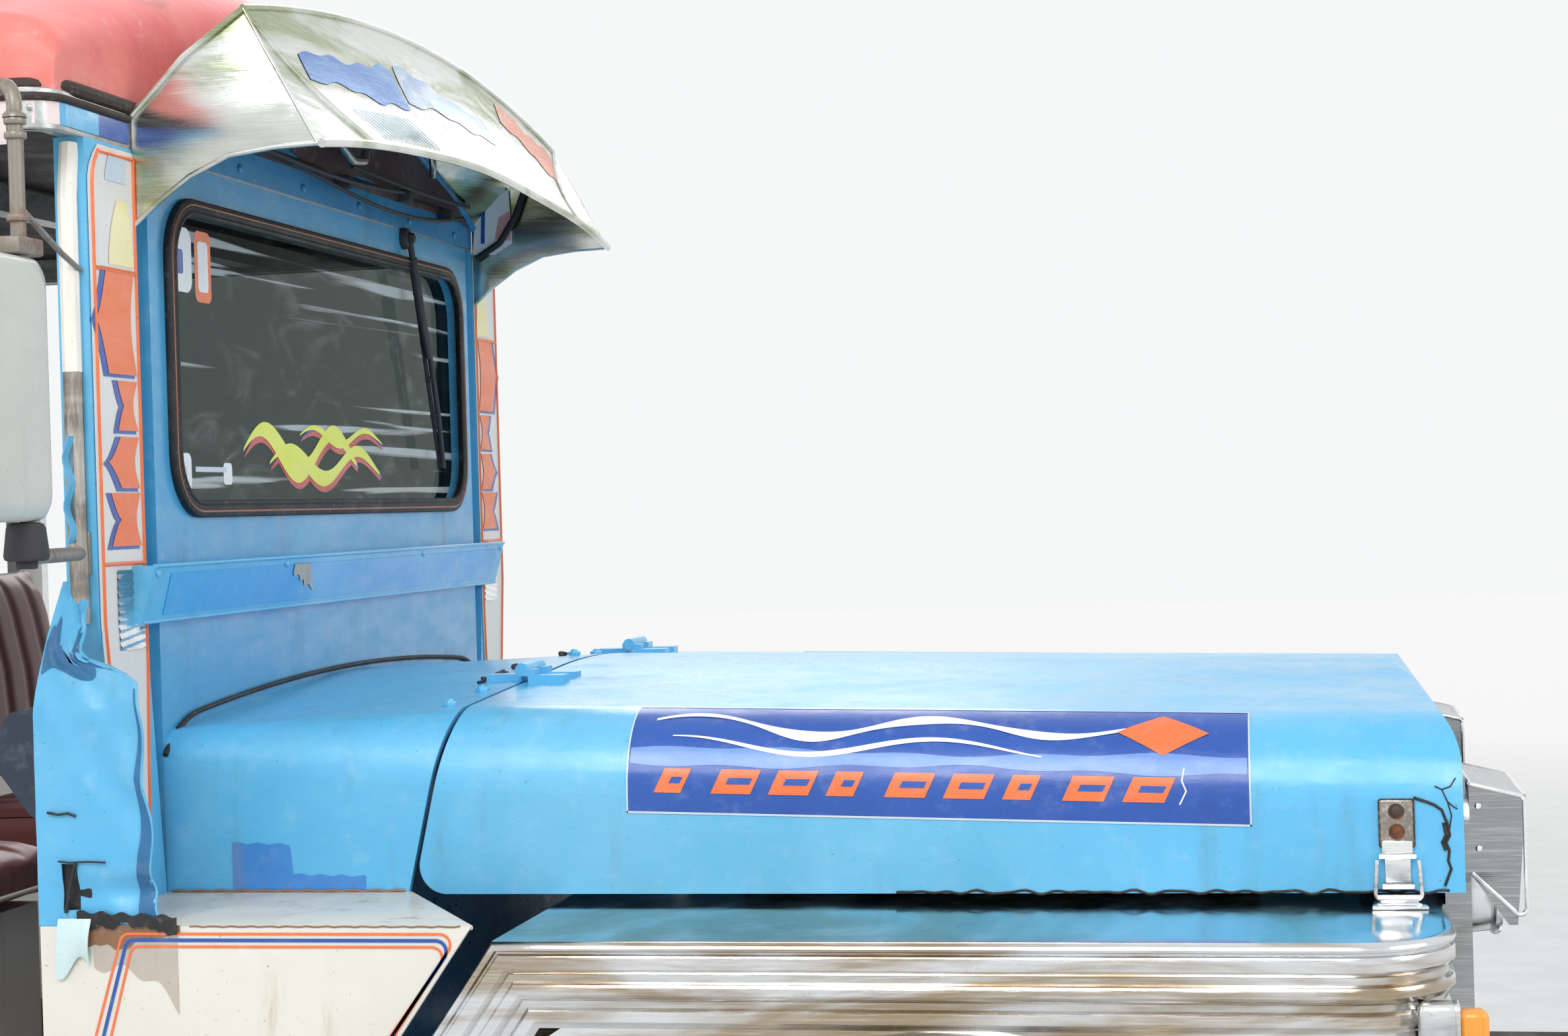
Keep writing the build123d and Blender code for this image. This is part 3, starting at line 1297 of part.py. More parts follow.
# Seats in the cab
SEAT_X = (-800, -350)
SEAT_HALF_WIDTH = 230
SEAT_BASE_Z = 860
SEAT_CUSHION = 110
SEAT_BACK_HEIGHT = 480
SEAT_BACK_THICKNESS = 110
SEAT_BACK_LEAN = 60
SEAT_BACK_TAPER = 20
SEAT_RADII = (30, 20)
SEAT_BOX_INSET = 20


def cab_seats():
    y_range = (DRIVER_Y - SEAT_HALF_WIDTH, DRIVER_Y + SEAT_HALF_WIDTH)
    soft, small = SEAT_RADII
    cushion_z = (SEAT_BASE_Z + FIT, SEAT_BASE_Z + SEAT_CUSHION)
    cushion = seen_from_side(rounded_box_outline(SEAT_X, cushion_z, soft), y_range)
    foot_z = SEAT_BASE_Z + SEAT_CUSHION + FIT
    top_z = SEAT_BASE_Z + SEAT_BACK_HEIGHT
    front_x = SEAT_X[0] + SEAT_BACK_THICKNESS
    back = seen_from_side(
        [
            (SEAT_X[0], foot_z, small),
            (front_x, foot_z, small),
            (front_x - SEAT_BACK_LEAN - SEAT_BACK_TAPER, top_z, soft),
            (SEAT_X[0] - SEAT_BACK_LEAN, top_z, soft),
        ],
        y_range,
    )
    return both_sides(cushion + back)


def seat_boxes():
    return both_sides(
        block(
            (SEAT_X[0] + SEAT_BOX_INSET, SEAT_X[1] - SEAT_BOX_INSET),
            (DRIVER_Y - SEAT_HALF_WIDTH + SEAT_BOX_INSET, DRIVER_Y + SEAT_HALF_WIDTH - SEAT_BOX_INSET),
            (FLOOR_Z, SEAT_BASE_Z),
        )
    )


# Dashboard behind the windshield panel
DASH_X = (-190, PANEL_REAR_X)
DASH_Z = (1040, 1180)
DASH_FOOT_SET = 60
DASH_BROW_SET = 30
DASH_RISE = 20
DASH_RADII = (20, 30)


def dashboard():
    return seen_from_side(
        [
            (DASH_X[0] + DASH_FOOT_SET, DASH_Z[0], DASH_RADII[0]),
            (DASH_X[1], DASH_Z[0], 0),
            (DASH_X[1], DASH_Z[1] + DASH_RISE, 0),
            (DASH_X[0] + DASH_BROW_SET, DASH_Z[1], DASH_RADII[1]),
            (DASH_X[0], DASH_Z[1] - DASH_FOOT_SET, DASH_RADII[0]),
        ],
        (-HOOD_HALF_WIDTH, HOOD_HALF_WIDTH),
    )


# Steering: wheel, column, knuckles and tie rod
STEERING_WHEEL_RADIUS = 205
STEERING_RIM_RADIUS = 13
COLUMN_TILT = 38
COLUMN_RADIUS = 24
WHEEL_HUB_X = -330
WHEEL_HUB_Z = 1150
HUB_LENGTH = 60
HUB_RADIUS_AT_WHEEL = 34
SPOKE_SECTION = (26, 10)
BRACKET_DISTANCE = 300
BRACKET_LENGTH = 30
BRACKET_HALF_WIDTH = 35


def column_point(distance):
    """Point on the column's axis, measured forward and down from the steering wheel's hub."""
    slope = radians(COLUMN_TILT)
    return (WHEEL_HUB_X + distance * cos(slope), DRIVER_Y, WHEEL_HUB_Z - distance * sin(slope))


def steering_column():
    floor_reach = (WHEEL_HUB_Z - FLOOR_Z) / sin(radians(COLUMN_TILT)) + 2 * COLUMN_RADIUS
    tube = rod(column_point(HUB_LENGTH / 2 + FIT), column_point(floor_reach), COLUMN_RADIUS)
    around = 4 * COLUMN_RADIUS
    y_range = (DRIVER_Y - around, DRIVER_Y + around)
    kept = block((WHEEL_HUB_X - around, FIREWALL_X), y_range, (FLOOR_Z, WHEEL_HUB_Z + around))
    bracket_x, _, bracket_z = column_point(BRACKET_DISTANCE)
    bracket = block(
        (bracket_x - BRACKET_LENGTH / 2, bracket_x + BRACKET_LENGTH / 2),
        (DRIVER_Y - BRACKET_HALF_WIDTH, DRIVER_Y + BRACKET_HALF_WIDTH),
        (bracket_z, DASH_Z[0]),
    )
    return (tube & kept) + bracket


def steering_wheel():
    hub_plane = Plane(origin=column_point(0), z_dir=Vector(*column_point(0)) - Vector(*column_point(1)))
    rim = hub_plane * Torus(STEERING_WHEEL_RADIUS, STEERING_RIM_RADIUS)
    hub = rod(column_point(-HUB_LENGTH / 2), column_point(HUB_LENGTH / 2), HUB_RADIUS_AT_WHEEL)
    spoke = Pos(STEERING_WHEEL_RADIUS / 2, 0, 0) * Box(STEERING_WHEEL_RADIUS, *SPOKE_SECTION)
    spokes = [hub_plane * (Rot(0, 0, angle) * spoke) for angle in (0, 120, 240)]
    return Part() + [rim, hub] + spokes


LEVER_FOOT_X = -150
LEVER_TOP = (-330, 0, 1020)
LEVER_RADIUS = 9
LEVER_KNOB_RADIUS = 26
LEVER_BOOT = (55, 40)


def gear_lever():
    boot_radius, boot_height = LEVER_BOOT
    lever = rod((LEVER_FOOT_X, 0, FLOOR_Z + LEVER_RADIUS), LEVER_TOP, LEVER_RADIUS)
    knob = Pos(*LEVER_TOP) * Sphere(LEVER_KNOB_RADIUS)
    boot = Pos(LEVER_FOOT_X, 0, FLOOR_Z + boot_height / 2) * Cylinder(boot_radius, boot_height)
    return lever + knob + boot


KNUCKLE_GAP = 2
SPINDLE_REACH = 62
HUB_END_Y = WHEEL_Y + SPINDLE_REACH
KNUCKLE_SETBACK = 12
SPINDLE_SHOULDER_Y = KINGPIN_Y + KINGPIN_BOSS_RADIUS + KNUCKLE_SETBACK
LUG_RADIUS = 30
LUG_OVERRUN = 10
PIN_OVERRUN = 8
ARM_RADIUS = 18
BALL_PIN_OVERRUN = 3
LUG_HALF_WIDTH = 32
KNUCKLE_BODY = 22
BACK_PLATE = 12
ARM_HALF_WIDTH = 20
ARM_THICKNESS = 16
STEERING_ARM_END_X = FRONT_AXLE_X - STEERING_ARM


def knuckle():
    """Left knuckle: two lugs on the kingpin, a body, the wheel spindle and the steering arm."""
    lug_ranges = (
        (KINGPIN_BOSS_Z[0] - KNUCKLE_GAP - LUG_THICKNESS, KINGPIN_BOSS_Z[0] - KNUCKLE_GAP),
        (KINGPIN_BOSS_Z[1] + KNUCKLE_GAP, KINGPIN_BOSS_Z[1] + KNUCKLE_GAP + LUG_THICKNESS),
    )
    lugs = [
        seen_from_above(
            [
                (FRONT_AXLE_X - LUG_HALF_WIDTH, KINGPIN_Y - LUG_HALF_WIDTH, LUG_RADIUS),
                (FRONT_AXLE_X + LUG_HALF_WIDTH, KINGPIN_Y - LUG_HALF_WIDTH, LUG_RADIUS),
                (FRONT_AXLE_X + LUG_HALF_WIDTH, SPINDLE_SHOULDER_Y + LUG_OVERRUN, 0),
                (FRONT_AXLE_X - LUG_HALF_WIDTH, SPINDLE_SHOULDER_Y + LUG_OVERRUN, 0),
            ],
            z_range,
        )
        for z_range in lug_ranges
    ]
    pin_z = (lug_ranges[0][0] - PIN_OVERRUN, lug_ranges[1][1] + PIN_OVERRUN)
    pin_low, pin_high = [(FRONT_AXLE_X, KINGPIN_Y, z) for z in pin_z]
    pin = rod(pin_low, pin_high, KINGPIN_RADIUS)
    body = block(
        (FRONT_AXLE_X - LUG_HALF_WIDTH, FRONT_AXLE_X + LUG_HALF_WIDTH),
        (SPINDLE_SHOULDER_Y, SPINDLE_SHOULDER_Y + KNUCKLE_BODY),
        (lug_ranges[0][0], lug_ranges[1][1]),
    )
    spindle_start, spindle_end = [(FRONT_AXLE_X, y, WHEEL_Z) for y in (SPINDLE_SHOULDER_Y, HUB_END_Y)]
    spindle = rod(spindle_start, spindle_end, SPINDLE_RADIUS)
    plate = rod(
        (FRONT_AXLE_X, SPINDLE_SHOULDER_Y + KNUCKLE_BODY, WHEEL_Z),
        (FRONT_AXLE_X, SPINDLE_SHOULDER_Y + KNUCKLE_BODY + BACK_PLATE, WHEEL_Z),
        DRUM_RADIUS,
    )
    arm = seen_from_above(
        [
            (STEERING_ARM_END_X - ARM_HALF_WIDTH, KINGPIN_Y - ARM_HALF_WIDTH, ARM_RADIUS),
            (FRONT_AXLE_X, KINGPIN_Y - ARM_HALF_WIDTH, 0),
            (FRONT_AXLE_X, KINGPIN_Y + ARM_HALF_WIDTH, 0),
            (STEERING_ARM_END_X - ARM_HALF_WIDTH, KINGPIN_Y + ARM_HALF_WIDTH, ARM_RADIUS),
        ],
        (lug_ranges[0][0], lug_ranges[0][0] + ARM_THICKNESS),
    )
    ball_low_z = TIE_ROD_Z - TIE_ROD_EYE_HALF - BALL_PIN_OVERRUN
    ball_low, ball_high = [(STEERING_ARM_END_X, KINGPIN_Y, z) for z in (ball_low_z, lug_ranges[0][0] + 1)]
    ball_pin = rod(ball_low, ball_high, BALL_PIN_RADIUS)
    return Part() + lugs + [pin, body, spindle, plate, arm, ball_pin]


TIE_ROD_RADIUS = 11
TIE_ROD_EYE_RADIUS = 22
TIE_ROD_EYE_HALF = 15
BALL_PIN_RADIUS = 9
OPEN_END_CLEARANCE = 1.5


def across_eye(y, half_height, radius):
    """Upright pin through one of the tie rod's eyes."""
    low, high = [(STEERING_ARM_END_X, y, TIE_ROD_Z + side * half_height) for side in (-1, 1)]
    return rod(low, high, radius)


def tie_rod():
    end_y = KINGPIN_Y - TIE_ROD_EYE_RADIUS * 0.75
    bar = rod((STEERING_ARM_END_X, -end_y, TIE_ROD_Z), (STEERING_ARM_END_X, end_y, TIE_ROD_Z), TIE_ROD_RADIUS)
    eyes = [across_eye(y, TIE_ROD_EYE_HALF, TIE_ROD_EYE_RADIUS) for y in (-KINGPIN_Y, KINGPIN_Y)]
    left_hole = across_eye(KINGPIN_Y, TIE_ROD_EYE_HALF + 5, BALL_PIN_RADIUS + FIT)
    right_hole = across_eye(-KINGPIN_Y, TIE_ROD_EYE_HALF + 5, BALL_PIN_RADIUS + OPEN_END_CLEARANCE)
    return bar + eyes - left_hole - right_hole


# Wheels: profiles of (radius, distance outward from the wheel's middle, corner radius), spun about the axle
RIM_WALL = 8
RIM_FLANGE = 16
DISC_OFFSET = 30
HUB_RADIUS = 62


def spun(profile, x, side):
    """Ring with its middle on the wheel's plane, on the side given by the sign."""
    face = Plane.XY * rounded_face([(radius, out, corner) for radius, out, corner in profile])
    ring = revolve(face, axis=Axis.Y)
    upright = ring if side > 0 else mirror(ring, about=Plane.XZ)
    return Pos(x, side * WHEEL_Y, WHEEL_Z) * upright


def tyre(x, side):
    half = TYRE_WIDTH / 2
    inner_half = RIM_WIDTH / 2 - RIM_WALL
    bead_radius = RIM_RADIUS + RIM_FLANGE + 3
    profile = [
        (RIM_RADIUS + FIT, -inner_half, 0),
        (bead_radius, -inner_half, 0),
        (bead_radius + 30, -half, 25),
        (TYRE_RADIUS, -half + 12, 22),
        (TYRE_RADIUS, half - 12, 22),
        (bead_radius + 30, half, 25),
        (bead_radius, inner_half, 0),
        (RIM_RADIUS + FIT, inner_half, 0),
    ]
    return spun(profile, x, side)


def rim(x, side):
    half = RIM_WIDTH / 2
    barrel = [
        (RIM_RADIUS - 14, -half, 0),
        (RIM_RADIUS + RIM_FLANGE, -half, 3),
        (RIM_RADIUS + RIM_FLANGE, -half + RIM_WALL - FIT, 0),
        (RIM_RADIUS, -half + RIM_WALL - FIT, 0),
        (RIM_RADIUS, half - RIM_WALL + FIT, 0),
        (RIM_RADIUS + RIM_FLANGE, half - RIM_WALL + FIT, 0),
        (RIM_RADIUS + RIM_FLANGE, half, 3),
        (RIM_RADIUS - 14, half, 0),
        (RIM_RADIUS - 14, half - 20, 6),
        (RIM_RADIUS - 34, half - 50, 10),
        (RIM_RADIUS - 14, -half + 30, 6),
    ]
    disc = [
        (SPINDLE_RADIUS + FIT, DISC_OFFSET - 40, 0),
        (HUB_RADIUS, DISC_OFFSET - 40, 4),
        (HUB_RADIUS, DISC_OFFSET - 6, 0),
        (RIM_RADIUS - 70, DISC_OFFSET - 24, 12),
        (RIM_RADIUS - 8, DISC_OFFSET - 24, 0),
        (RIM_RADIUS - 8, DISC_OFFSET - 12, 0),
        (RIM_RADIUS - 66, DISC_OFFSET - 12, 14),
        (HUB_RADIUS + 4, DISC_OFFSET + 8, 6),
        (HUB_RADIUS, DISC_OFFSET + 36, 4),
        (SPINDLE_RADIUS + FIT, DISC_OFFSET + 36, 0),
    ]
    return spun(barrel, x, side) + spun(disc, x, side)


# Mirrors on tube arms, rows of (side, front of the head)
# The left one is swept back beside its doorway
MIRROR_ROWS = ((1, -100), (-1, 120))
MIRROR_GAP = 230
MIRROR_WIDTH = 190
MIRROR_Z = (1425, 1720)
MIRROR_DEPTH = 45
MIRROR_RADIUS = 25
MIRROR_ARM_RADIUS = 9
MIRROR_ARM_Z = (1385, 1916)
MIRROR_ARM_REACH = 220
MIRROR_ARM_BEND = 30
MIRROR_ARM_GRIP = 20
MIRROR_MAST_INSET = 30


def mirror_on_arm(side, front_x):
    """Head on a mast bent back to the gutter above and in to the post below, on the sign's side."""
    inner_y = POST_OUTER_Y + MIRROR_GAP
    head_y = (inner_y, inner_y + MIRROR_WIDTH)
    head_x = (front_x - MIRROR_DEPTH, front_x)
    head = seen_from_front(rounded_box_outline(head_y, MIRROR_Z, MIRROR_RADIUS), head_x)
    mast_x = front_x - MIRROR_DEPTH / 2
    mast_y = inner_y + MIRROR_MAST_INSET
    root_x = (PANEL_REAR_X + PANEL_FRONT_X) / 2 + FIT
    low_z, high_z = MIRROR_ARM_Z
    upper_arm = bent_rod(
        [
            (front_x - MIRROR_ARM_REACH, BODY_HALF_WIDTH - 1, high_z),
            (mast_x, mast_y, high_z),
            (mast_x, mast_y, MIRROR_Z[1] - MIRROR_ARM_GRIP),
        ],
        MIRROR_ARM_BEND,
        MIRROR_ARM_RADIUS,
    )
    lower_arm = bent_rod(
        [
            (mast_x, mast_y, MIRROR_Z[0] + MIRROR_ARM_GRIP),
            (mast_x, mast_y, low_z),
            (root_x, POST_OUTER_Y - 1, low_z),
        ],
        MIRROR_ARM_BEND,
        MIRROR_ARM_RADIUS,
    )
    gutter_space = block(
        (mast_x - MIRROR_ARM_REACH, mast_x),
        (POST_OUTER_Y, BODY_HALF_WIDTH),
        (high_z - MIRROR_DEPTH, high_z + MIRROR_DEPTH),
    )
    post_space = block(
        (0, PANEL_FRONT_X + 1),
        (POST_OUTER_Y - MIRROR_DEPTH, POST_OUTER_Y),
        (low_z - MIRROR_DEPTH, low_z + MIRROR_DEPTH),
    )
    on_left = head + (upper_arm - gutter_space) + (lower_arm - post_space)
    return on_left if side > 0 else mirror(on_left, about=Plane.XZ)


def mirrors():
    return Part() + [mirror_on_arm(*row) for row in MIRROR_ROWS]


# Wiper with its motor over the windshield
WIPER_PIVOT = (330, 1880)
WIPER_TIP = (455, 1554)
WIPER_STANDOFF = 14
WIPER_MOTOR_RADIUS = 16
WIPER_ARM_RADIUS = 5


def wiper():
    x = PANEL_FRONT_X + WIPER_STANDOFF
    motor = rod((PANEL_FRONT_X, *WIPER_PIVOT), (x + WIPER_ARM_RADIUS, *WIPER_PIVOT), WIPER_MOTOR_RADIUS)
    arm = rod((x, *WIPER_PIVOT), (x, *WIPER_TIP), WIPER_ARM_RADIUS)
    return motor + arm


TAIL_LAMP_Y = (660, 870)
TAIL_LAMP_Z = (800, 900)
TAIL_LAMP_DEPTH = 30
TAIL_LAMP_RADIUS = 15


def tail_lamps():
    x_range = (BODY_REAR_X - TAIL_LAMP_DEPTH, BODY_REAR_X)
    lamp = seen_from_front(rounded_box_outline(TAIL_LAMP_Y, TAIL_LAMP_Z, TAIL_LAMP_RADIUS), x_range)
    return both_sides(lamp)


# Ceiling hand rails over the benches
HAND_RAIL_Y = 420
HAND_RAIL_DROP = 90
HAND_RAIL_RADIUS = 14
HAND_RAIL_BEND = 45


def hand_rails():
    bow_bottom_z = CANTRAIL_Z + BOW_RECESS
    rail_z = bow_bottom_z - HAND_RAIL_DROP
    path = [
        (BOW_X[-1], HAND_RAIL_Y, bow_bottom_z),
        (BOW_X[-1], HAND_RAIL_Y, rail_z),
        (BOW_X[1], HAND_RAIL_Y, rail_z),
        (BOW_X[1], HAND_RAIL_Y, bow_bottom_z),
    ]
    return both_sides(bent_rod(path, HAND_RAIL_BEND, HAND_RAIL_RADIUS))


def build_nodes():
    """Every node by name, in the layout frame."""
    nodes = {
        "chassis_frame": chassis_frame(),
        "front_bumper": front_bumper(),
        "engine_block": engine_block(),
        "radiator": radiator(),
        "front_axle": front_axle(),
        "rear_axle": rear_axle(),
        "leaf_springs": leaf_springs(),
        "drive_shaft": drive_shaft(),
        "fuel_tank": fuel_tank(),
        "exhaust": exhaust(),
        "floor": floor(),
        "firewall": firewall(),
        "cowl": cowl(),
        "windshield_panel": windshield_panel(),
        "windshield_glass": windshield_glass(),
        "route_board": route_board(),
        "visor": visor(),
        "front_posts": front_posts(),
        "cab_sides": cab_sides(),
        "front_fenders": front_fenders(),
        "grille_shell": grille_shell(),
        "headlamps": headlamps(),
        "marker_lamps": marker_lamps(),
        "tail_lamps": tail_lamps(),
        "roof_gutters": roof_gutters(),
        "roof": roof(),
        "side_panels": side_panels(),
        "rear_frame": rear_frame(),
        "bulkhead": bulkhead(),
        "rear_step": rear_step(),
        "running_boards": running_boards(),
        "bench_boxes": bench_boxes(),
        "benches": benches(),
        "bench_backs": bench_backs(),
        "seat_boxes": seat_boxes(),
        "cab_seats": cab_seats(),
        "dashboard": dashboard(),
        "steering_column": steering_column(),
        "gear_lever": gear_lever(),
        "hand_rails": hand_rails(),
        "mirrors": mirrors(),
        "wiper": wiper(),
        "hood_panel": hood_panel(),
        "hood_latches": hood_latches(),
        "steering_wheel": steering_wheel(),
        "knuckle_left": knuckle(),
        "knuckle_right": mirror(knuckle(), about=Plane.XZ),
        "tie_rod": tie_rod(),
    }
    wheels = (
        ("front_left", FRONT_AXLE_X, 1),
        ("front_right", FRONT_AXLE_X, -1),
        ("rear_left", REAR_AXLE_X, 1),
        ("rear_right", REAR_AXLE_X, -1),
    )
    for place, x, side in wheels:
        nodes["tyre_" + place] = tyre(x, side)
        nodes["rim_" + place] = rim(x, side)
    return nodes


os.makedirs("parts", exist_ok=True)
for name, shape in build_nodes().items():
    export_step(Pos(-MIDDLE_X, 0, 0) * shape, f"parts/{name}.step")
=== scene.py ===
import logging
from collections.abc import Callable, Mapping, Sequence
from dataclasses import dataclass
from enum import Enum
from functools import cached_property
from math import atan2, copysign, cos, degrees, exp, hypot, pi, radians, sin, sqrt, tan, tau

import bmesh
import bpy
from bmesh import ops
from bmesh.types import BMEdge, BMFace, BMVert
from mathutils import Matrix, Vector


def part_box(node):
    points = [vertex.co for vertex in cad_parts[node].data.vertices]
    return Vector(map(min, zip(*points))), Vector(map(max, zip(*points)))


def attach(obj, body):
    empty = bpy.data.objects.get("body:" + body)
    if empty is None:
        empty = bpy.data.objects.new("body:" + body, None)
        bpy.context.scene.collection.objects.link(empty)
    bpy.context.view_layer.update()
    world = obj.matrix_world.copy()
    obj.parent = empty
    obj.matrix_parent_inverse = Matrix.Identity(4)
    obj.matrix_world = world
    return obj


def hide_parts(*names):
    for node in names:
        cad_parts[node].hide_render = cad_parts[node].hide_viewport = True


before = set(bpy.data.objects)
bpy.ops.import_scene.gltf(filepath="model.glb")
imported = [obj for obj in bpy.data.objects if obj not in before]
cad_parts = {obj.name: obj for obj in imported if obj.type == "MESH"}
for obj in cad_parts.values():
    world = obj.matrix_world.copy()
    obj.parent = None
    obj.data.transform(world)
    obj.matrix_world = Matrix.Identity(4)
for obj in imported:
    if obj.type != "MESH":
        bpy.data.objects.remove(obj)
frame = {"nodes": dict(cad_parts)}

# Looks of an open-sided passenger minibus. Meshes are modelled in metres with x measured from the
# windshield panel's rear face, as the solids are, and then moved by STATION to the shared frame.

STATION = 1.180
Point = Sequence[float]
Pair = tuple[float, float]
Triple = tuple[float, float, float]
Quad = tuple[float, float, float, float]
Place = Callable[[float, float], Point]
Line = Callable[[float], float]
Socket = bpy.types.NodeSocket


class Body(Enum):
    """Bodies that pieces ride on."""

    CHASSIS = "chassis"
    HOOD = "hood"
    STEERING_WHEEL = "steering_wheel"
    FRONT_LEFT = "wheel_front_left"
    FRONT_RIGHT = "wheel_front_right"
    REAR_LEFT = "wheel_rear_left"
    REAR_RIGHT = "wheel_rear_right"


class Side(Enum):
    """Sides of the vehicle, by the sign of y."""

    LEFT = 1
    RIGHT = -1


def colour(code: str) -> Quad:
    """Linear colour of an sRGB hex code."""
    parts = [int(code[i : i + 2], 16) / 255 for i in (1, 3, 5)]
    red, green, blue = [p / 12.92 if p <= 0.04045 else ((p + 0.055) / 1.055) ** 2.4 for p in parts]
    return (red, green, blue, 1.0)


class Graph:
    """Nodes of a material or of the world."""

    def __init__(self, tree: bpy.types.NodeTree) -> None:
        """Empties the tree."""
        self.tree = tree
        tree.nodes.clear()

    @cached_property
    def place(self) -> Socket:
        """Object coordinates."""
        return self.add("ShaderNodeTexCoord").outputs["Object"]

    def add(self, kind: str, feeds: Mapping[str | int, object] = {}, **settings: object) -> bpy.types.Node:
        """Adds a node.

        Args:
            kind: Blender's name of the node type.
            feeds: Sockets, numbers, vectors or hex colours for its inputs.
            settings: Node properties to set.

        Returns:
            The new node.
        """
        node = self.tree.nodes.new(kind)
        for key, value in settings.items():
            setattr(node, key, value)
        for key, value in feeds.items():
            if isinstance(value, Socket):
                self.tree.links.new(value, node.inputs[key])
            else:
                node.inputs[key].default_value = colour(value) if isinstance(value, str) else value
        return node

    def noise(self, scale: float, detail: float = 4, rough: float = 0.55, stretch: Point = (1, 1, 1),
            warp: float = 0) -> Socket:
        """Cloudy value.

        Args:
            scale: Features per metre, about.
            detail: Octaves.
            rough: Share of the finer octaves.
            stretch: Scale on each axis before the noise.
            warp: Distortion.

        Returns:
            The noise value.
        """
        spread = self.add("ShaderNodeMapping", {"Vector": self.place, "Scale": stretch}).outputs[0]
        feeds = {"Vector": spread, "Scale": scale, "Detail": detail, "Roughness": rough, "Distortion": warp}
        return self.add("ShaderNodeTexNoise", feeds).outputs[0]

    def axis(self, name: str) -> Socket:
        """One of the object coordinates X, Y or Z."""
        return self.add("ShaderNodeSeparateXYZ", {0: self.place}).outputs[name]

    def calc(self, operation: str, *values: object) -> Socket:
        """Result of a Math node over sockets or numbers."""
        return self.add("ShaderNodeMath", dict(enumerate(values)), operation=operation).outputs[0]

    def remap(self, value: Socket, low: float, high: float, to_low: float = 0, to_high: float = 1) -> Socket:
        """Clamped, smoothed change from the range of low and high to that of to_low and to_high."""
        feeds = dict(enumerate((value, low, high, to_low, to_high)))
        return self.add("ShaderNodeMapRange", feeds, interpolation_type="SMOOTHSTEP").outputs[0]

    def blend(self, factor: Socket, first: Socket | str, second: Socket | str) -> Socket:
        """Colour that goes from the first to the second as the factor goes from 0 to 1."""
        return self.add("ShaderNodeMix", {0: factor, 6: first, 7: second}, data_type="RGBA").outputs[2]

    def relief(self, height: Socket, distance: float, strength: float, under: Socket | None = None) -> Socket:
        """Bumped normal.

        Args:
            height: Height socket.
            distance: Depth in metres of a height of 1.
            strength: Share of the effect.
            under: Normal from a coarser relief.

        Returns:
            The normal.
        """
        feeds = {"Strength": strength, "Distance": distance, "Height": height}
        if under:
            feeds["Normal"] = under
        return self.add("ShaderNodeBump", feeds).outputs[0]

    def shade(self, **values: Socket | float | str) -> None:
        """Closes the graph with the shader, whose inputs are named with underscores for spaces."""
        feeds = {key.replace("_", " "): value for key, value in values.items()}
        self.add("ShaderNodeOutputMaterial", {0: self.add("ShaderNodeBsdfPrincipled", feeds).outputs[0]})


@dataclass(frozen=True)
class Finish:
    """Common part of every finish: its name and main colour."""

    name: str
    tone: str

    def material(self) -> bpy.types.Material:
        """The finish's material, made once."""
        made = bpy.data.materials.get(self.name)
        if not made:
            made = bpy.data.materials.new(self.name)
            made.use_nodes = True
            self.fill(Graph(made.node_tree))
        return made

    def fill(self, graph: Graph) -> None:
        """Fills the node tree; each kind of finish has its own."""
        raise NotImplementedError


@dataclass(frozen=True)
class Paint(Finish):
    """Hand-brushed enamel on sheet steel, faded, grimy and chipped to rust."""

    faded: str = "#8FD0EE"
    dirt: str = "#5B5348"
    roughness: float = 0.3
    grime: float = 0.35
    rust: float = 0.35
    dents: float = 0.004

    def fill(self, graph: Graph) -> None:
        """Fills the node tree."""
        base = graph.blend(graph.remap(graph.noise(1.9, 5, 0.6), 0.42, 0.78, 0, 0.75), self.tone, self.faded)
        base = graph.blend(graph.remap(graph.noise(38, 5, 0.6), 0.5, 0.85, 0, 0.1), base, "#FFFFFF")
        streak = graph.noise(2.2, 6, 0.65, (7, 7, 0.9), 0.4)
        base = graph.blend(graph.remap(streak, 0.53, 0.82, 0, self.grime), base, self.dirt)
        base = graph.blend(graph.remap(graph.noise(150, 3, 0.6), 0.68, 0.74, 0, 0.55), base, self.dirt)
        bare = 0.77 - 0.1 * self.rust
        chip = graph.remap(graph.noise(26, 8, 0.72), bare, bare + 0.02)
        brown = graph.blend(graph.remap(graph.noise(60, 5), 0.35, 0.65), "#4A2A1A", "#A9663A")
        gloss = graph.remap(graph.noise(9, 7, 0.7, (1, 1, 3)), 0.3, 0.75, self.roughness - 0.08,
            self.roughness + 0.22)
        bends = graph.relief(graph.noise(3.2, 3, 0.5), self.dents * 4, 0.5)
        brushed = graph.relief(graph.noise(95, 4, 0.6, (0.35, 1, 1)), 0.0009, 0.35, bends)
        graph.shade(Base_Color=graph.blend(chip, base, brown), Coat_Weight=0.25, Coat_Roughness=0.16,
            Roughness=graph.calc("MAXIMUM", gloss, graph.calc("MULTIPLY", chip, 0.85)),
            Normal=graph.relief(graph.calc("SUBTRACT", 1.0, chip), 0.0009, 0.8, brushed))


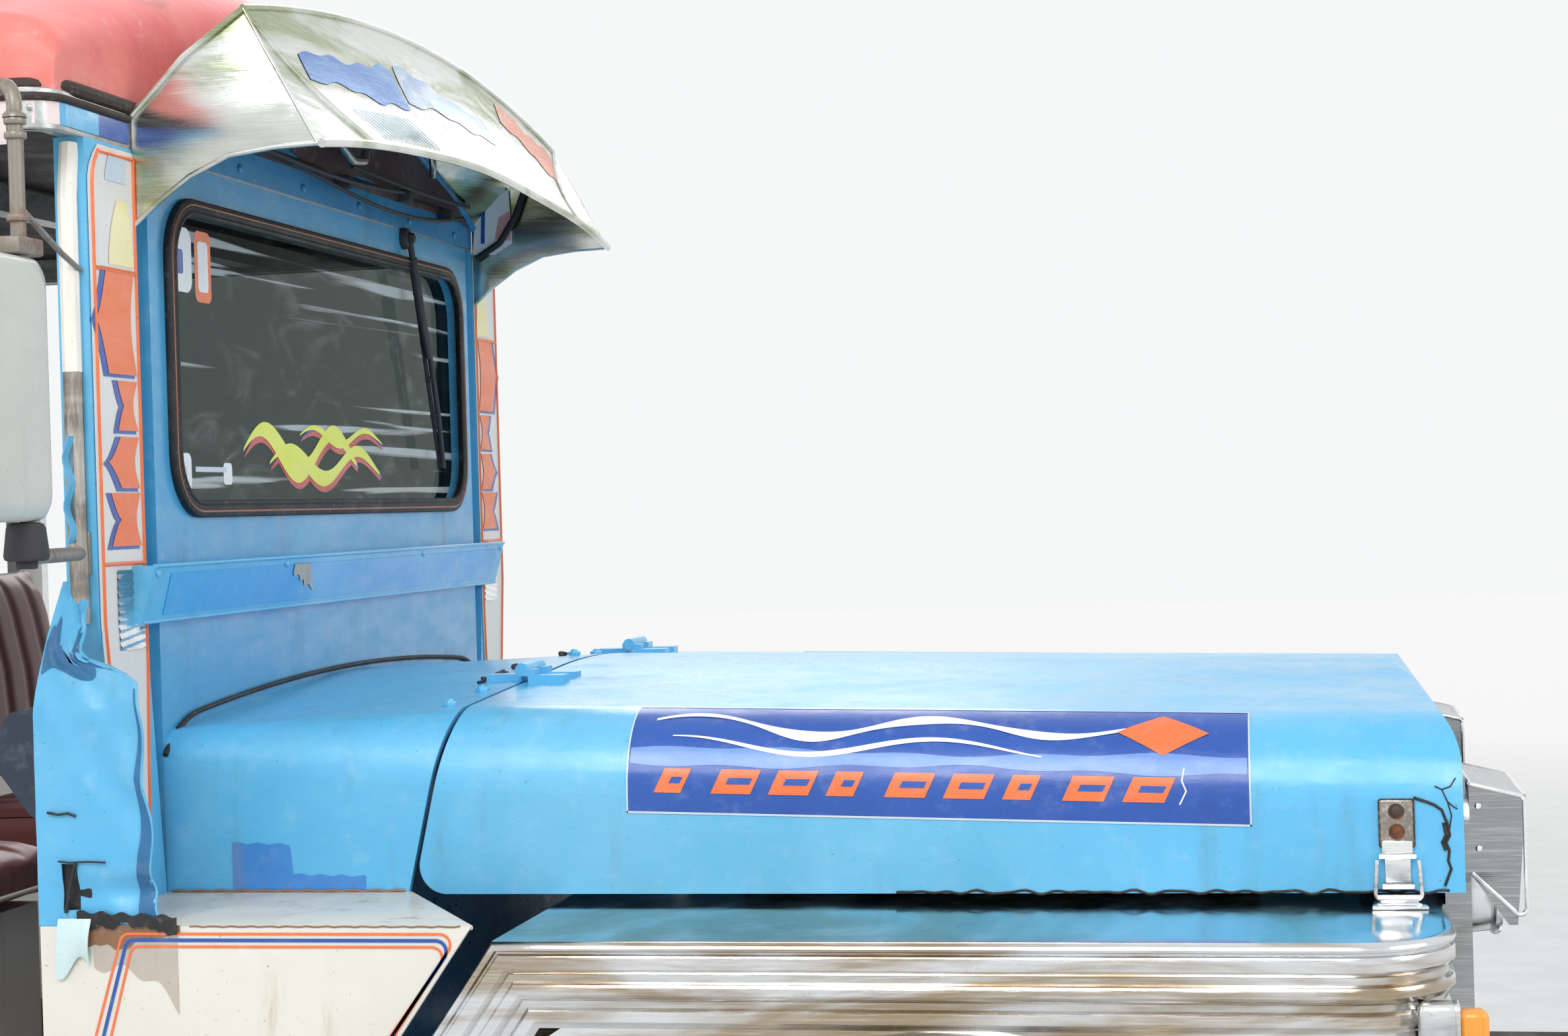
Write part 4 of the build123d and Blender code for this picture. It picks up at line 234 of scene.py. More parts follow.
@dataclass(frozen=True)
class Sheen(Finish):
    """Polished sheet metal with waves, fine scratches and stains, and painted reflections: broad wavy patches
    of a second tone that stand in for mirrored surroundings.
    """

    reflected_tone: str = "#8E9092"
    roughness: float = 0.13
    waves: float = 0.006
    stains: float = 0.3
    grain: Triple = (0.5, 0.5, 26)
    rust: float = 0.0

    def fill(self, graph: Graph) -> None:
        """Fills the node tree."""
        fine = graph.noise(30, 6, 0.7, self.grain)
        # Painted reflection: large stretched waves blend the tone towards the reflected tone, standing in for
        # what the metal mirrors.
        wave = graph.noise(2.6, 4, 0.55, (0.8, 0.8, 3.4), 1.2)
        base = graph.blend(graph.remap(wave, 0.44, 0.64), self.tone, self.reflected_tone)
        base = graph.blend(graph.remap(fine, 0.45, 0.75, 0, 0.35), base, "#FFFFFF")
        spoiled = graph.remap(graph.noise(13, 7, 0.72), 0.58, 0.74, 0, self.stains)
        base = graph.blend(spoiled, base, "#6D6459")
        rusty = graph.remap(graph.noise(34, 8, 0.75), 0.74 - 0.16 * self.rust, 0.8 - 0.16 * self.rust)
        rusty = graph.calc("MULTIPLY", rusty, 1.0 if self.rust else 0.25)
        rough = graph.remap(fine, 0.3, 0.7, self.roughness, self.roughness + 0.14)
        rough = graph.calc("ADD", rough, graph.calc("MULTIPLY", spoiled, 0.5))
        buckle = graph.relief(graph.noise(5.5, 3, 0.5, (0.6, 0.6, 1.6), 0.6), self.waves, 0.6)
        worn = graph.calc("MULTIPLY", rusty, 0.8)
        graph.shade(Base_Color=graph.blend(rusty, base, "#7A4526"), Metallic=graph.calc("SUBTRACT", 1.0,
            worn), Roughness=graph.calc("MAXIMUM", rough, worn), Normal=graph.relief(fine, 0.0004, 0.4,
            buckle))


@dataclass(frozen=True)
class Steel(Finish):
    """Black or bare chassis steel under dust and rust."""

    rust: float = 0.5
    dust: float = 0.5
    roughness: float = 0.6

    def fill(self, graph: Graph) -> None:
        """Fills the node tree."""
        flake = graph.noise(11, 8, 0.72)
        brown = graph.blend(graph.remap(graph.noise(44, 5), 0.35, 0.7), "#3B2317", "#8A5331")
        base = graph.blend(graph.remap(flake, 0.64 - 0.22 * self.rust, 0.78 - 0.2 * self.rust), self.tone,
            brown)
        dusty = graph.remap(graph.noise(3.5, 5, 0.6), 0.4, 0.75, 0, self.dust * 0.6)
        pits = graph.relief(flake, 0.002, 0.6)
        graph.shade(Base_Color=graph.blend(dusty, base, "#8B8070"), Metallic=0.35,
            Roughness=graph.remap(flake, 0.3, 0.7, self.roughness - 0.12, self.roughness + 0.25),
            Normal=graph.relief(graph.noise(160, 4, 0.7), 0.0005, 0.5, pits))


@dataclass(frozen=True)
class Vinyl(Finish):
    """Stretched or quilted vinyl cloth with grain, creases, fading, handling marks and painted shade in its
    creases.
    """

    faded: str = "#E9808A"
    grain: float = 420
    creases: float = 0.006
    roughness: float = 0.42

    def fill(self, graph: Graph) -> None:
        """Fills the node tree."""
        cloud = graph.noise(1.6, 6, 0.62)
        crease = graph.noise(4.5, 4, 0.5, (0.5, 1.3, 1.0), 1.6)
        base = graph.blend(graph.remap(cloud, 0.38, 0.7), self.tone, self.faded)
        base = graph.blend(graph.remap(graph.noise(24, 7, 0.7), 0.55, 0.8, 0, 0.3), base, "#F6E4E2")
        grimy = graph.remap(graph.noise(6, 8, 0.7, (1, 1, 2)), 0.6, 0.8, 0, 0.4)
        # Darker in the creases: painted shade there, together with grime.
        dark = graph.calc("MAXIMUM", graph.remap(crease, 0.6, 0.78, 0, 0.35), grimy)
        pores = graph.add("ShaderNodeTexVoronoi", {"Vector": graph.place,
            "Scale": self.grain}).outputs["Distance"]
        folds = graph.relief(crease, self.creases, 0.7)
        graph.shade(Base_Color=graph.blend(dark, base, "#4A2A28"), Sheen_Weight=0.15, Sheen_Roughness=0.5,
            Roughness=graph.remap(cloud, 0.3, 0.7, self.roughness, self.roughness + 0.2),
            Normal=graph.relief(pores, 0.0003, 0.45, folds))


@dataclass(frozen=True)
class Moulded(Finish):
    """Rubber or moulded plastic, dusty in the hollows and greyed by the sun."""

    grey: str = "#4A4A4A"
    roughness: float = 0.5
    texture: float = 260
    dust: float = 0.25

    def fill(self, graph: Graph) -> None:
        """Fills the node tree."""
        patch = graph.noise(9, 6, 0.65)
        base = graph.blend(graph.remap(patch, 0.42, 0.75, 0, 0.7), self.tone, self.grey)
        specks = graph.remap(graph.noise(120, 4, 0.6), 0.55, 0.8, 0, self.dust)
        graph.shade(Base_Color=graph.blend(specks, base, "#9A8E7C"), Roughness=graph.remap(patch, 0.3, 0.7,
            self.roughness - 0.1, self.roughness + 0.18), Normal=graph.relief(graph.noise(self.texture, 3,
            0.6), 0.0006, 0.5))


@dataclass(frozen=True)
class Pane(Finish):
    """Tinted window glass with dust, smears and pale level streaks; the streaks are wipe marks that also
    serve as painted reflections, and the dark tint also serves as painted shade of the cab behind it.
    """

    def fill(self, graph: Graph) -> None:
        """Fills the node tree."""
        smear = graph.noise(7, 6, 0.65, (1, 1, 2.2), 1.5)
        # Pale level streaks: wipe marks that also stand in for painted reflections.
        wipes_and_reflection = graph.remap(graph.noise(3.0, 3, 0.4, (0.28, 0.28, 14), 0.5), 0.60, 0.65, 0, 0.8)
        dust_and_reflection = graph.calc("MAXIMUM", graph.remap(smear, 0.5, 0.85, 0, 0.2), wipes_and_reflection)
        graph.shade(Base_Color=graph.blend(dust_and_reflection, self.tone, "#DDE4E6"), IOR=1.06,
            Roughness=graph.remap(smear, 0.35, 0.8, 0.0, 0.05), Transmission_Weight=graph.remap(dust_and_reflection, 0, 0.8,
            0.96, 0.4))


@dataclass(frozen=True)
class Lens(Finish):
    """Pressed lamp lens with fine flutes."""

    flutes: float = 90
    clear: float = 0.75

    def fill(self, graph: Graph) -> None:
        """Fills the node tree."""
        wave = graph.calc("SINE", graph.calc("MULTIPLY", graph.axis("Y"), self.flutes * 6.283))
        cloud = graph.noise(20, 5)
        graph.shade(Base_Color=graph.blend(graph.remap(cloud, 0.4, 0.75, 0, 0.3), self.tone, "#FFF2E0"),
            Roughness=graph.remap(cloud, 0.3, 0.7, 0.05, 0.22), Normal=graph.relief(wave, 0.0012, 0.6),
            Transmission_Weight=self.clear, IOR=1.49)


@dataclass(frozen=True)
class Planks(Finish):
    """Floor boards worn pale along their middles."""

    def fill(self, graph: Graph) -> None:
        """Fills the node tree."""
        grain = graph.noise(16, 7, 0.62, (0.25, 5, 5), 0.8)
        seam = graph.remap(graph.calc("PINGPONG", graph.axis("Y"), 0.06), 0.0, 0.004, 1, 0)
        base = graph.blend(graph.remap(grain, 0.35, 0.7), self.tone, "#8A6B4A")
        base = graph.blend(graph.remap(graph.noise(2.4, 5, 0.6), 0.4, 0.75, 0, 0.6), base, "#A39482")
        graph.shade(Base_Color=graph.blend(graph.calc("MULTIPLY", seam, 0.8), base, "#1E1712"),
            Roughness=graph.remap(grain, 0.3, 0.7, 0.55, 0.85), Normal=graph.relief(graph.calc("SUBTRACT",
            grain, seam), 0.0015, 0.7))


@dataclass(frozen=True)
class Backdrop(Finish):
    """Studio floor that glows faintly where it leaves the lamps."""

    def fill(self, graph: Graph) -> None:
        """Fills the node tree."""
        away = graph.add("ShaderNodeVectorMath", {0: graph.place}, operation="LENGTH").outputs["Value"]
        far = graph.remap(away, 4.5, 13.0)
        lit = graph.blend(graph.remap(graph.noise(6, 5), 0.35, 0.7), self.tone, "#E6E6E4")
        graph.shade(Base_Color=graph.blend(far, lit, "#202020"), Roughness=0.8, Emission_Color="#F4F4F3",
            Emission_Strength=graph.calc("MULTIPLY", far, 0.93))


BLUE = Paint("light_blue_enamel", "#5DB9E6", "#86CDEF")
WHITE = Paint("old_white_enamel", "#E4E2DA", "#F2F0EA", "#8C6B4C", 0.4, 0.55, 0.5)
# Darker blue: painted shade on the windshield panel.
PANEL_SHADED_BLUE = Paint("panel_blue_painted_shade", "#49A2D0", "#66B4DC", "#4A463E", 0.3, 0.5, 0.4)
# Very dark blue: painted shade of the dim cab interior on the dashboard.
DASH_SHADED_BLUE = Paint("dash_blue_painted_shade", "#1B2E40", "#2C4458", "#15191D")
INNER_BLUE = Paint("cab_blue_enamel", "#2F86C4", "#4E9FD2", "#2F3A44")
BLACK = Paint("black_enamel", "#15161A", "#2B2C30", "#6B6255", 0.34, 0.5, 0.4)
WHEEL_RED = Paint("wheel_red_enamel", "#B22A22", "#C9463A", "#4F443A", 0.36, 0.6, 0.5)
MIRROR_GREY = Paint("mirror_grey_enamel", "#C2C6BE", "#D2D5CC", "#77736A", 0.38, 0.35, 0.3)
STAINLESS = Sheen("polished_stainless", "#E3E5E6")
BRIGHT_TRIM = Sheen("bright_trim", "#EDEFF0", "#A5A8AA", 0.09, 0.002, 0.2, (0.6, 0.6, 12))
SIDE_METAL = Sheen("side_panel_metal", "#DCDEDF", "#C3C6C8", 0.16, 0.0016, 0.3, (0.4, 0.4, 30))
ZINC = Sheen("galvanized_sheet", "#B9BCBC", "#8C8F90", 0.34, 0.003, 0.4, (3, 3, 3), 0.35)
CHASSIS_BLACK = Steel("chassis_black", "#1B1B1C", 0.45, 0.7)
CASTING = Steel("oily_casting", "#33302E", 0.3, 0.5, 0.5)
RUSTY = Steel("rusty_steel_parts", "#4A3B33", 0.9, 0.3)
ROOF_VINYL = Vinyl("roof_vinyl", "#DB4649", "#F29A8C", 520, 0.004)
SEAT_VINYL = Vinyl("seat_vinyl", "#6E1F22", "#8C3A38", 380, 0.005, 0.34)
RUBBER = Moulded("weathered_rubber", "#101012", "#3A3A3C", 0.55, 240, 0.3)
BLACK_PLASTIC = Moulded("black_plastic", "#0E0E10", "#2C2C2E", 0.42, 320, 0.2)
TYRE_RUBBER = Moulded("tyre_rubber", "#17171A", "#3E3B38", 0.72, 150, 0.5)
# Dark tint: the glass's tint and also painted shade of the cab behind it.
TINTED_SHADED_GLASS = Pane("tinted_glass_painted_shade_and_reflection", "#48524F")
# Dark welt rubber, also painted shade of the gap under the roof's edge.
WELT_GAP_SHADE = Moulded("welt_rubber_painted_gap_shade", "#2A2020", "#4A3830", 0.6, 60, 0.35)
MAROON = Vinyl("maroon_lining", "#3A1618", "#55262A", 300, 0.004, 0.5)
CLEAR_LENS = Lens("clear_lens", "#F2F5F7", 90, 0.85)
AMBER_LENS = Lens("amber_lens", "#F2760F", 160, 0.45)
RED_LENS = Lens("red_lens", "#C41414", 160, 0.45)
HEADLINER = Moulded("headliner_board", "#242426", "#3A3A3C", 0.62, 60, 0.35)
BOARDS = Planks("floor_boards", "#5E4733")
FENDER_METAL = Sheen("fender_metal", "#DCDEE0", "#A8977E", 0.08, 0.0022, 0.25, (0.4, 0.4, 12))
# Yellow-green reflected tone: painted reflection of foliage on the visor.
VISOR_METAL = Sheen("visor_metal_painted_reflection", "#DDE0DB", "#A0A884", 0.12, 0.010, 0.2)
CAB_WHITE = Paint("cab_side_white", "#DEDACE", "#EFECE2", "#8A6A4C", 0.42, 0.9, 0.7)
FLARE_BLUE = Paint("flare_blue", "#56B2E0", "#8FD0EE", "#4F4A40", 0.3, 0.5, 0.7, 0.01)
MIRROR_GLASS = Sheen("mirror_glass", "#F2F4F5", "#D8DCDE", 0.02, 0.0005, 0.1)
ARM_STEEL = Steel("mirror_arm_steel", "#8C857B", 0.6, 0.2, 0.4)
VISOR_BLUE = Sheen("visor_blue_coat", "#3E7CC8", "#6FA0D8", 0.16, 0.004, 0.3)
# Deep blue: painted shade along the flares' front edges and over their upper parts.
FLARE_PAINTED_SHADE = Paint("flare_painted_shade_blue", "#1C6494", "#2F86B8", "#223038", 0.36, 0.3, 0.6, 0.006)
FLAP_ENAMEL = Paint("flap_enamel", "#CBE3E4", "#E4F2F0", "#6E5A48", 0.4, 0.6, 0.5, 0.004)
# Brown rust stain and sealant, and also painted shadow under the right flare.
BROWN_STAIN_AND_SHADOW = Paint("rust_stain_and_painted_shadow", "#8A6246", "#A58264", "#4E3424", 0.6, 0.8, 0.8, 0.002)
# Grey grime, and also painted shadow on the white wall under the right flare.
GREY_STAIN_AND_SHADOW = Paint("grime_stain_and_painted_shadow", "#B9AFA2", "#CFC8BC", "#8A7460", 0.5, 0.8, 0.5, 0.001)
VISOR_PALE = Sheen("visor_pale_blue_coat", "#9DB9DE", "#C6D4E4", 0.14, 0.004, 0.3)
VISOR_ORANGE = Sheen("visor_orange_coat", "#E88C6A", "#E9B49C", 0.18, 0.004, 0.3)
PALER_BAND_BLUE = Paint("hood_paler_blue_band", "#5C8AD0", "#8FB2E4", "#3A5A8A", 0.28, 0.2, 0.05, 0.001)
DEEP_BLUE = Paint("artwork_blue", "#1C4FA6", "#2A63BE", "#23324A", 0.28, 0.25, 0.1, 0.001)
ART_WHITE = Paint("artwork_white", "#F0F2F2", "#FFFFFF", "#B9B4A8", 0.32, 0.3, 0.1, 0.001)
ART_ORANGE = Paint("artwork_orange", "#F2733C", "#FF8A54", "#A8542C", 0.3, 0.25, 0.15, 0.001)
ART_YELLOW = Paint("artwork_yellow", "#E9EE3C", "#F6F86A", "#A8A23C", 0.3, 0.2, 0.05, 0.001)
ART_RED = Paint("artwork_red", "#C8202A", "#D8444A", "#6C1A1E", 0.3, 0.2, 0.05, 0.001)
ART_BROWN = Paint("gasket_line", "#A8623C", "#8A4A30", "#3C2A22", 0.45, 0.5, 0.4, 0.001)
PALE_LINE = Paint("artwork_pale_line", "#C9D8E6", "#E3EAF0", "#7A8794", 0.32, 0.3, 0.2, 0.001)
BOARD_BLUE = Paint("route_board_blue", "#46AAE8", "#7CC6F2", "#3E5568", 0.3, 0.35, 0.55, 0.002)
FADED_LABEL = Paint("faded_label_blue", "#3D86D0", "#8FC4E8", "#9A8878", 0.4, 0.9, 0.9, 0.001)
# Darker blue: painted shade under the visor on the header board.
HEADER_SHADED_BLUE = Paint("header_blue_painted_shade", "#2E86B8", "#3F98C8", "#23404E", 0.34, 0.5, 0.5, 0.003)
# Pink: painted reflection on the visor's far cheek.
CHEEK_PINK_REFLECTION = Paint("cheek_painted_pink_reflection", "#D9A0A0", "#E8C0BC", "#8A6A68", 0.4, 0.5, 0.3, 0.002)
BEAD_CREAM = Paint("bead_cream", "#F1ECE0", "#FFFDF6", "#9A7C5A", 0.34, 0.5, 0.4, 0.002)
STAINED_TRIM = Sheen("stained_trim", "#B9B2A8", "#8F877D", 0.3, 0.001, 0.5, (6, 6, 0.8), 0.45)
POST_CREAM = Paint("post_cream", "#E3E2DE", "#F0EEEA", "#A58F7C", 0.34, 0.5, 0.35, 0.002)
# Pale yellow: painted sun highlight on the post plates.
HIGHLIGHT = Paint("painted_sun_highlight", "#F7E9A8", "#FFF6CC", "#C8A878", 0.3, 0.2, 0.05, 0.001)
# Dark grey tone: painted reflection of darker surroundings on the lamp boxes.
BOX_METAL = Sheen("lamp_box_painted_dark_reflection", "#989C9E", "#5E6365", 0.12, 0.004, 0.3)
LATCH_STEEL = Sheen("latch_steel", "#8E877F", "#6A625A", 0.34, 0.001, 0.8, (6, 6, 6), 0.6)
PIPING = Vinyl("seat_piping", "#D9D2C4", "#EFEAE0", 300, 0.001, 0.4)
GUTTER_PAINT = Paint("gutter_paint", "#E9D9D4", "#F5EDEA", "#8A6A58", 0.36, 0.7, 0.7, 0.002)
PLATE_WHITE = Paint("plate_white", "#ECECE8", "#F6F6F2", "#9A8F80", 0.3, 0.3, 0.2, 0.001)
BACKDROP = Backdrop("studio_floor", "#DFDFDD")


class Slot(Enum):
    """The record's material slots."""

    BLUE = "light_blue_paint"
    WHITE = "off_white_paint"
    RUSTY = "rusty_steel"
    STAINLESS = "stainless"
    GALVANIZED = "galvanized"
    ROOF_VINYL = "red_vinyl"
    SEAT_VINYL = "seat_vinyl"
    LAMP_GLASS = "lamp_glass"
    AMBER = "amber_lens"
    RED = "red_lens"
    PLASTIC = "black_plastic"
    TYRE = "tyre"


class Shape:
    """A mesh in the making, whose methods add to it and give it back."""

    def __init__(self) -> None:
        """Starts empty."""
        self.mesh = bmesh.new()

    def flat(self, corners: Sequence[Point]) -> list[BMFace]:
        """Adds the face over a flat outline, and returns it in a list."""
        return [self.mesh.faces.new([self.mesh.verts.new(corner) for corner in corners])]

    def raise_faces(self, faces: Sequence[BMFace], by: Point) -> None:
        """Extrudes faces along a vector."""
        made = ops.extrude_face_region(self.mesh, geom=list(faces), use_keep_orig=True)["geom"]
        ops.translate(self.mesh, verts=only(made, BMVert), vec=by)

    def sharp(self, angle: float) -> list[BMEdge]:
        """Edges sharper than an angle in degrees."""
        edges = [edge for edge in self.mesh.edges if len(edge.link_faces) == 2]
        return [edge for edge in edges if degrees(edge.calc_face_angle(0)) > angle]

    def soften(self, width: float, segments: int = 2, angle: float = 40) -> "Shape":
        """Bevels the edges sharper than an angle.

        Args:
            width: Bevel width in metres, 0 for none.
            segments: Steps across the bevel.
            angle: Least angle in degrees.

        Returns:
            This shape.
        """
        if width:
            ops.recalc_face_normals(self.mesh, faces=self.mesh.faces)
            ops.bevel(self.mesh, geom=self.sharp(angle), offset=width, segments=segments, profile=0.5,
                affect="EDGES", material=-1)
        return self

    def weld(self, gap: float) -> "Shape":
        """Joins the vertices nearer than a gap and turns the normals outwards."""
        ops.remove_doubles(self.mesh, verts=self.mesh.verts, dist=gap)
        ops.recalc_face_normals(self.mesh, faces=self.mesh.faces)
        return self

    def fill_rims(self) -> None:
        """Closes the open rims with flat faces."""
        ops.holes_fill(self.mesh, edges=[edge for edge in self.mesh.edges if edge.is_boundary])

    def turn(self, matrix: Matrix) -> "Shape":
        """Turns the whole shape."""
        ops.rotate(self.mesh, verts=self.mesh.verts, matrix=matrix)
        return self

    def slab(self, corners: Sequence[Point], by: Point, soft: float = 0.0, segments: int = 2) -> "Shape":
        """Flat outline given a thickness.

        Args:
            corners: The outline.
            by: Thickness vector.
            soft: Bevel width of its edges.
            segments: Steps across the bevel.

        Returns:
            This shape.
        """
        part = Shape()
        part.raise_faces(part.flat(corners), by)
        return self.take(part.soften(soft, segments))

    def stack(self, corners: Sequence[Point], steps: Sequence[tuple[float, Point]]) -> "Shape":
        """Closed body raised from a flat outline in steps.

        Args:
            corners: The outline.
            steps: Scale of the outline and rise vector, for each step.

        Returns:
            This shape.
        """
        part = Shape()
        faces, last = part.flat(corners), 1.0
        middle = sum((Vector(corner) for corner in corners), Vector()) / len(corners)
        for index, (size, by) in enumerate(steps):
            made = ops.extrude_face_region(part.mesh, geom=faces, use_keep_orig=index == 0)["geom"]
            if index:
                ops.delete(part.mesh, geom=[face for face in faces if face.is_valid], context="FACES_ONLY")
            faces, verts = only(made, BMFace), only(made, BMVert)
            ops.scale(part.mesh, verts=verts, vec=[size / last] * 3, space=Matrix.Translation(-middle))
            ops.translate(part.mesh, verts=verts, vec=by)
            middle += Vector(by)
            last = size
        return self.take(part)

    def box(self, low: Point, high: Point, soft: float = 0.0, segments: int = 2) -> "Shape":
        """Box between two corners.

        Args:
            low: Lowest corner.
            high: Highest corner.
            soft: Bevel width.
            segments: Steps across the bevel.

        Returns:
            This shape.
        """
        part = Shape()
        made = ops.create_cube(part.mesh, size=1)["verts"]
        ops.scale(part.mesh, verts=made, vec=[h - l for l, h in zip(low, high)])
        ops.translate(part.mesh, verts=made, vec=[(h + l) / 2 for l, h in zip(low, high)])
        return self.take(part.soften(soft, segments))

    def disc(self, centre: Point, axis: Point, radius: float, length: float, tip: float | None = None,
            sides: int = 24, soft: float = 0.0) -> "Shape":
        """Round or many-sided bar standing on a point.

        Args:
            centre: Middle of its foot.
            axis: Direction it stands in.
            radius: Radius at the foot.
            length: Height along the axis.
            tip: Radius at the top, if another.
            sides: Number of sides.
            soft: Bevel width.

        Returns:
            This shape.
        """
        part = Shape()
        ops.create_cone(part.mesh, cap_ends=True, segments=sides, radius1=radius,
            radius2=radius if tip is None else tip, depth=length)
        part.move((0, 0, length / 2)).turn(upright(axis)).move(centre)
        return self.take(part.soften(soft, 2, 60))

    def ball(self, radius: float, columns: int, rows: int) -> "Shape":
        """Adds a ball round the origin, of so many columns and rows of faces."""
        ops.create_uvsphere(self.mesh, u_segments=columns, v_segments=rows, radius=radius)
        return self

    def dome(self, centre: Point, axis: Point, radius: float, rise: float, sides: int = 12) -> "Shape":
        """Low rounded head, such as a rivet's.

        Args:
            centre: Middle of its foot.
            axis: Direction it faces.
            radius: Radius of its foot.
            rise: Height.
            sides: Sides round it.

        Returns:
            This shape.
        """
        part = Shape().ball(radius, sides, 8)
        ops.scale(part.mesh, verts=part.mesh.verts, vec=(1, 1, rise / radius))
        ops.bisect_plane(part.mesh, geom=part.everything(), plane_co=(0, 0, 0), plane_no=(0, 0, 1),
            clear_inner=True, dist=1e-6)
        part.fill_rims()
        return self.take(part.turn(upright(axis)).move(centre))

    def sheet(self, place: Place, columns: int, rows: int) -> "Shape":
        """Grid laid over a surface.

        Args:
            place: Gives the point for two numbers from 0 to 1.
            columns: Faces along the first.
            rows: Faces along the second.

        Returns:
            This shape.
        """
        part = Shape()
        for vert in ops.create_grid(part.mesh, x_segments=columns, y_segments=rows, size=0.5)["verts"]:
            vert.co = place(vert.co.x + 0.5, vert.co.y + 0.5)
        return self.take(part)

    def thicken(self, amount: float) -> "Shape":
        """Gives a sheet a wall, behind its face for a positive amount."""
        ops.solidify(self.mesh, geom=self.mesh.faces[:], thickness=amount)
        return self

    def tube(self, points: Sequence[Point], radius: float, closed: bool = False, bend: float = 0.0,
            sides: int = 3) -> "Shape":
        """Tube along a line of points.

        Args:
            points: The line.
            radius: Tube radius.
            closed: Whether the line closes.
            bend: Radius of its bends, 0 for the line as it is.
            sides: Bevel resolution of a quarter turn.

        Returns:
            This shape.
        """
        line = rounded(points, bend, closed) if bend else points
        data = bpy.data.curves.new("line", "CURVE")
        data.dimensions = "3D"
        data.bevel_depth = radius
        data.bevel_resolution = sides
        data.use_fill_caps = not closed
        spline = data.splines.new("POLY")
        spline.points.add(len(line) - 1)
        for point, where in zip(spline.points, line):
            point.co = (*where, 1)
        spline.use_cyclic_u = closed
        carrier = bpy.data.objects.new("line", data)
        made = bpy.data.meshes.new_from_object(carrier)
        self.mesh.from_mesh(made)
        bpy.data.objects.remove(carrier)
        bpy.data.curves.remove(data)
        bpy.data.meshes.remove(made)
        return self

    def ring(self, outer: Sequence[Point], inner: Sequence[Point], by: Point, soft: float = 0.0) -> "Shape":
        """Frame between two outlines of as many points.

        Args:
            outer: Outer outline.
            inner: Inner outline.
            by: Thickness vector.
            soft: Bevel width.

        Returns:
            This shape.
        """
        part = Shape()
        loops = []
        for outline in (outer, inner):
            verts = [part.mesh.verts.new(point) for point in outline]
            loops += [part.mesh.edges.new((verts[i - 1], verts[i])) for i in range(len(verts))]
        part.raise_faces(ops.bridge_loops(part.mesh, edges=loops)["faces"], by)
        return self.take(part.soften(soft))

    def everything(self) -> list[BMVert | BMEdge | BMFace]:
        """Every vertex, edge and face."""
        return [*self.mesh.verts, *self.mesh.edges, *self.mesh.faces]

    def move(self, by: Point) -> "Shape":
        """Moves the whole shape."""
        ops.translate(self.mesh, verts=self.mesh.verts, vec=by)
        return self

    def twin(self) -> "Shape":
        """Adds the mirror image on the other side of the vehicle."""
        made = ops.duplicate(self.mesh, geom=self.everything())["geom"]
        ops.scale(self.mesh, verts=only(made, BMVert), vec=(1, -1, 1))
        ops.reverse_faces(self.mesh, faces=only(made, BMFace))
        return self

    def take(self, other: "Shape", look: int | None = None) -> "Shape":
        """Adds another shape.

        Args:
            other: Shape to add.
            look: Material index for it, None to keep its own.

        Returns:
            This shape.
        """
        if look is not None:
            for face in other.mesh.faces:
                face.material_index = look
        carrier = bpy.data.meshes.new("carrier")
        other.mesh.to_mesh(carrier)
        other.mesh.free()
        self.mesh.from_mesh(carrier)
        bpy.data.meshes.remove(carrier)
        return self

    def piece(self, name: str, slot: Slot, *looks: Finish, body: Body = Body.CHASSIS,
            replaces: Sequence[str] = (), smooth: float = 35, turn_out: bool = True) -> bpy.types.Object:
        """Makes the shape a piece of the scene.

        Args:
            name: The piece's name.
            slot: Record slot of its finish; not used.
            looks: Finishes by material index.
            body: Body it rides on.
            replaces: CAD nodes it stands for.
            smooth: Edges below this angle in degrees are shaded smooth.
            turn_out: Whether normals are recalculated.

        Returns:
            The piece's object.
        """
        if turn_out:
            ops.recalc_face_normals(self.mesh, faces=self.mesh.faces)
        self.move((STATION, 0, 0))
        for face in self.mesh.faces:
            face.smooth = True
        for edge in self.sharp(smooth):
            edge.smooth = False
        data = bpy.data.meshes.new(name)
        self.mesh.to_mesh(data)
        self.mesh.free()
        thing = put(name, data)
        for look in looks:
            data.materials.append(look.material())
        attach(thing, body.value)
        if replaces:
            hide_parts(*replaces)
        logging.info("%s: %d faces", name, len(data.polygons))
        return thing


def put(name: str, data: bpy.types.ID) -> bpy.types.Object:
    """Object in the scene for a mesh, a camera or a lamp.

    Args:
        name: Its name.
        data: What it shows.

    Returns:
        The object.
    """
    thing = bpy.data.objects.new(name, data)
    bpy.context.scene.collection.objects.link(thing)
    return thing


def only(parts: Sequence[object], kind: type) -> list:
    """Parts of one kind."""
    return [part for part in parts if isinstance(part, kind)]


def upright(axis: Point) -> Matrix:
    """Turn that lays the upright direction along an axis."""
    return Vector(axis).normalized().to_track_quat("Z", "Y").to_matrix()


def spread(start: float, end: float, count: int) -> list[float]:
    """Numbers from start to end in so many equal steps."""
    return [start + (end - start) * i / count for i in range(count + 1)]


def arc(centre: Point, radius: float, start: float, end: float, count: int, axis: int = 0) -> list[Point]:
    """Points round a centre on an upright plane.

    Args:
        centre: The centre.
        radius: The radius.
        start: First angle in degrees, from level upwards.
        end: Last angle in degrees, a full turn further for a closed line, whose last point is left out.
        count: Steps between them.
        axis: 0 for a plane along x, 1 for one across it.

    Returns:
        The points.
    """
    points = []
    for angle in spread(radians(start), radians(end), count)[: count if end - start == 360 else None]:
        points.append([*centre])
        points[-1][axis] += radius * cos(angle)
        points[-1][2] += radius * sin(angle)
    return points


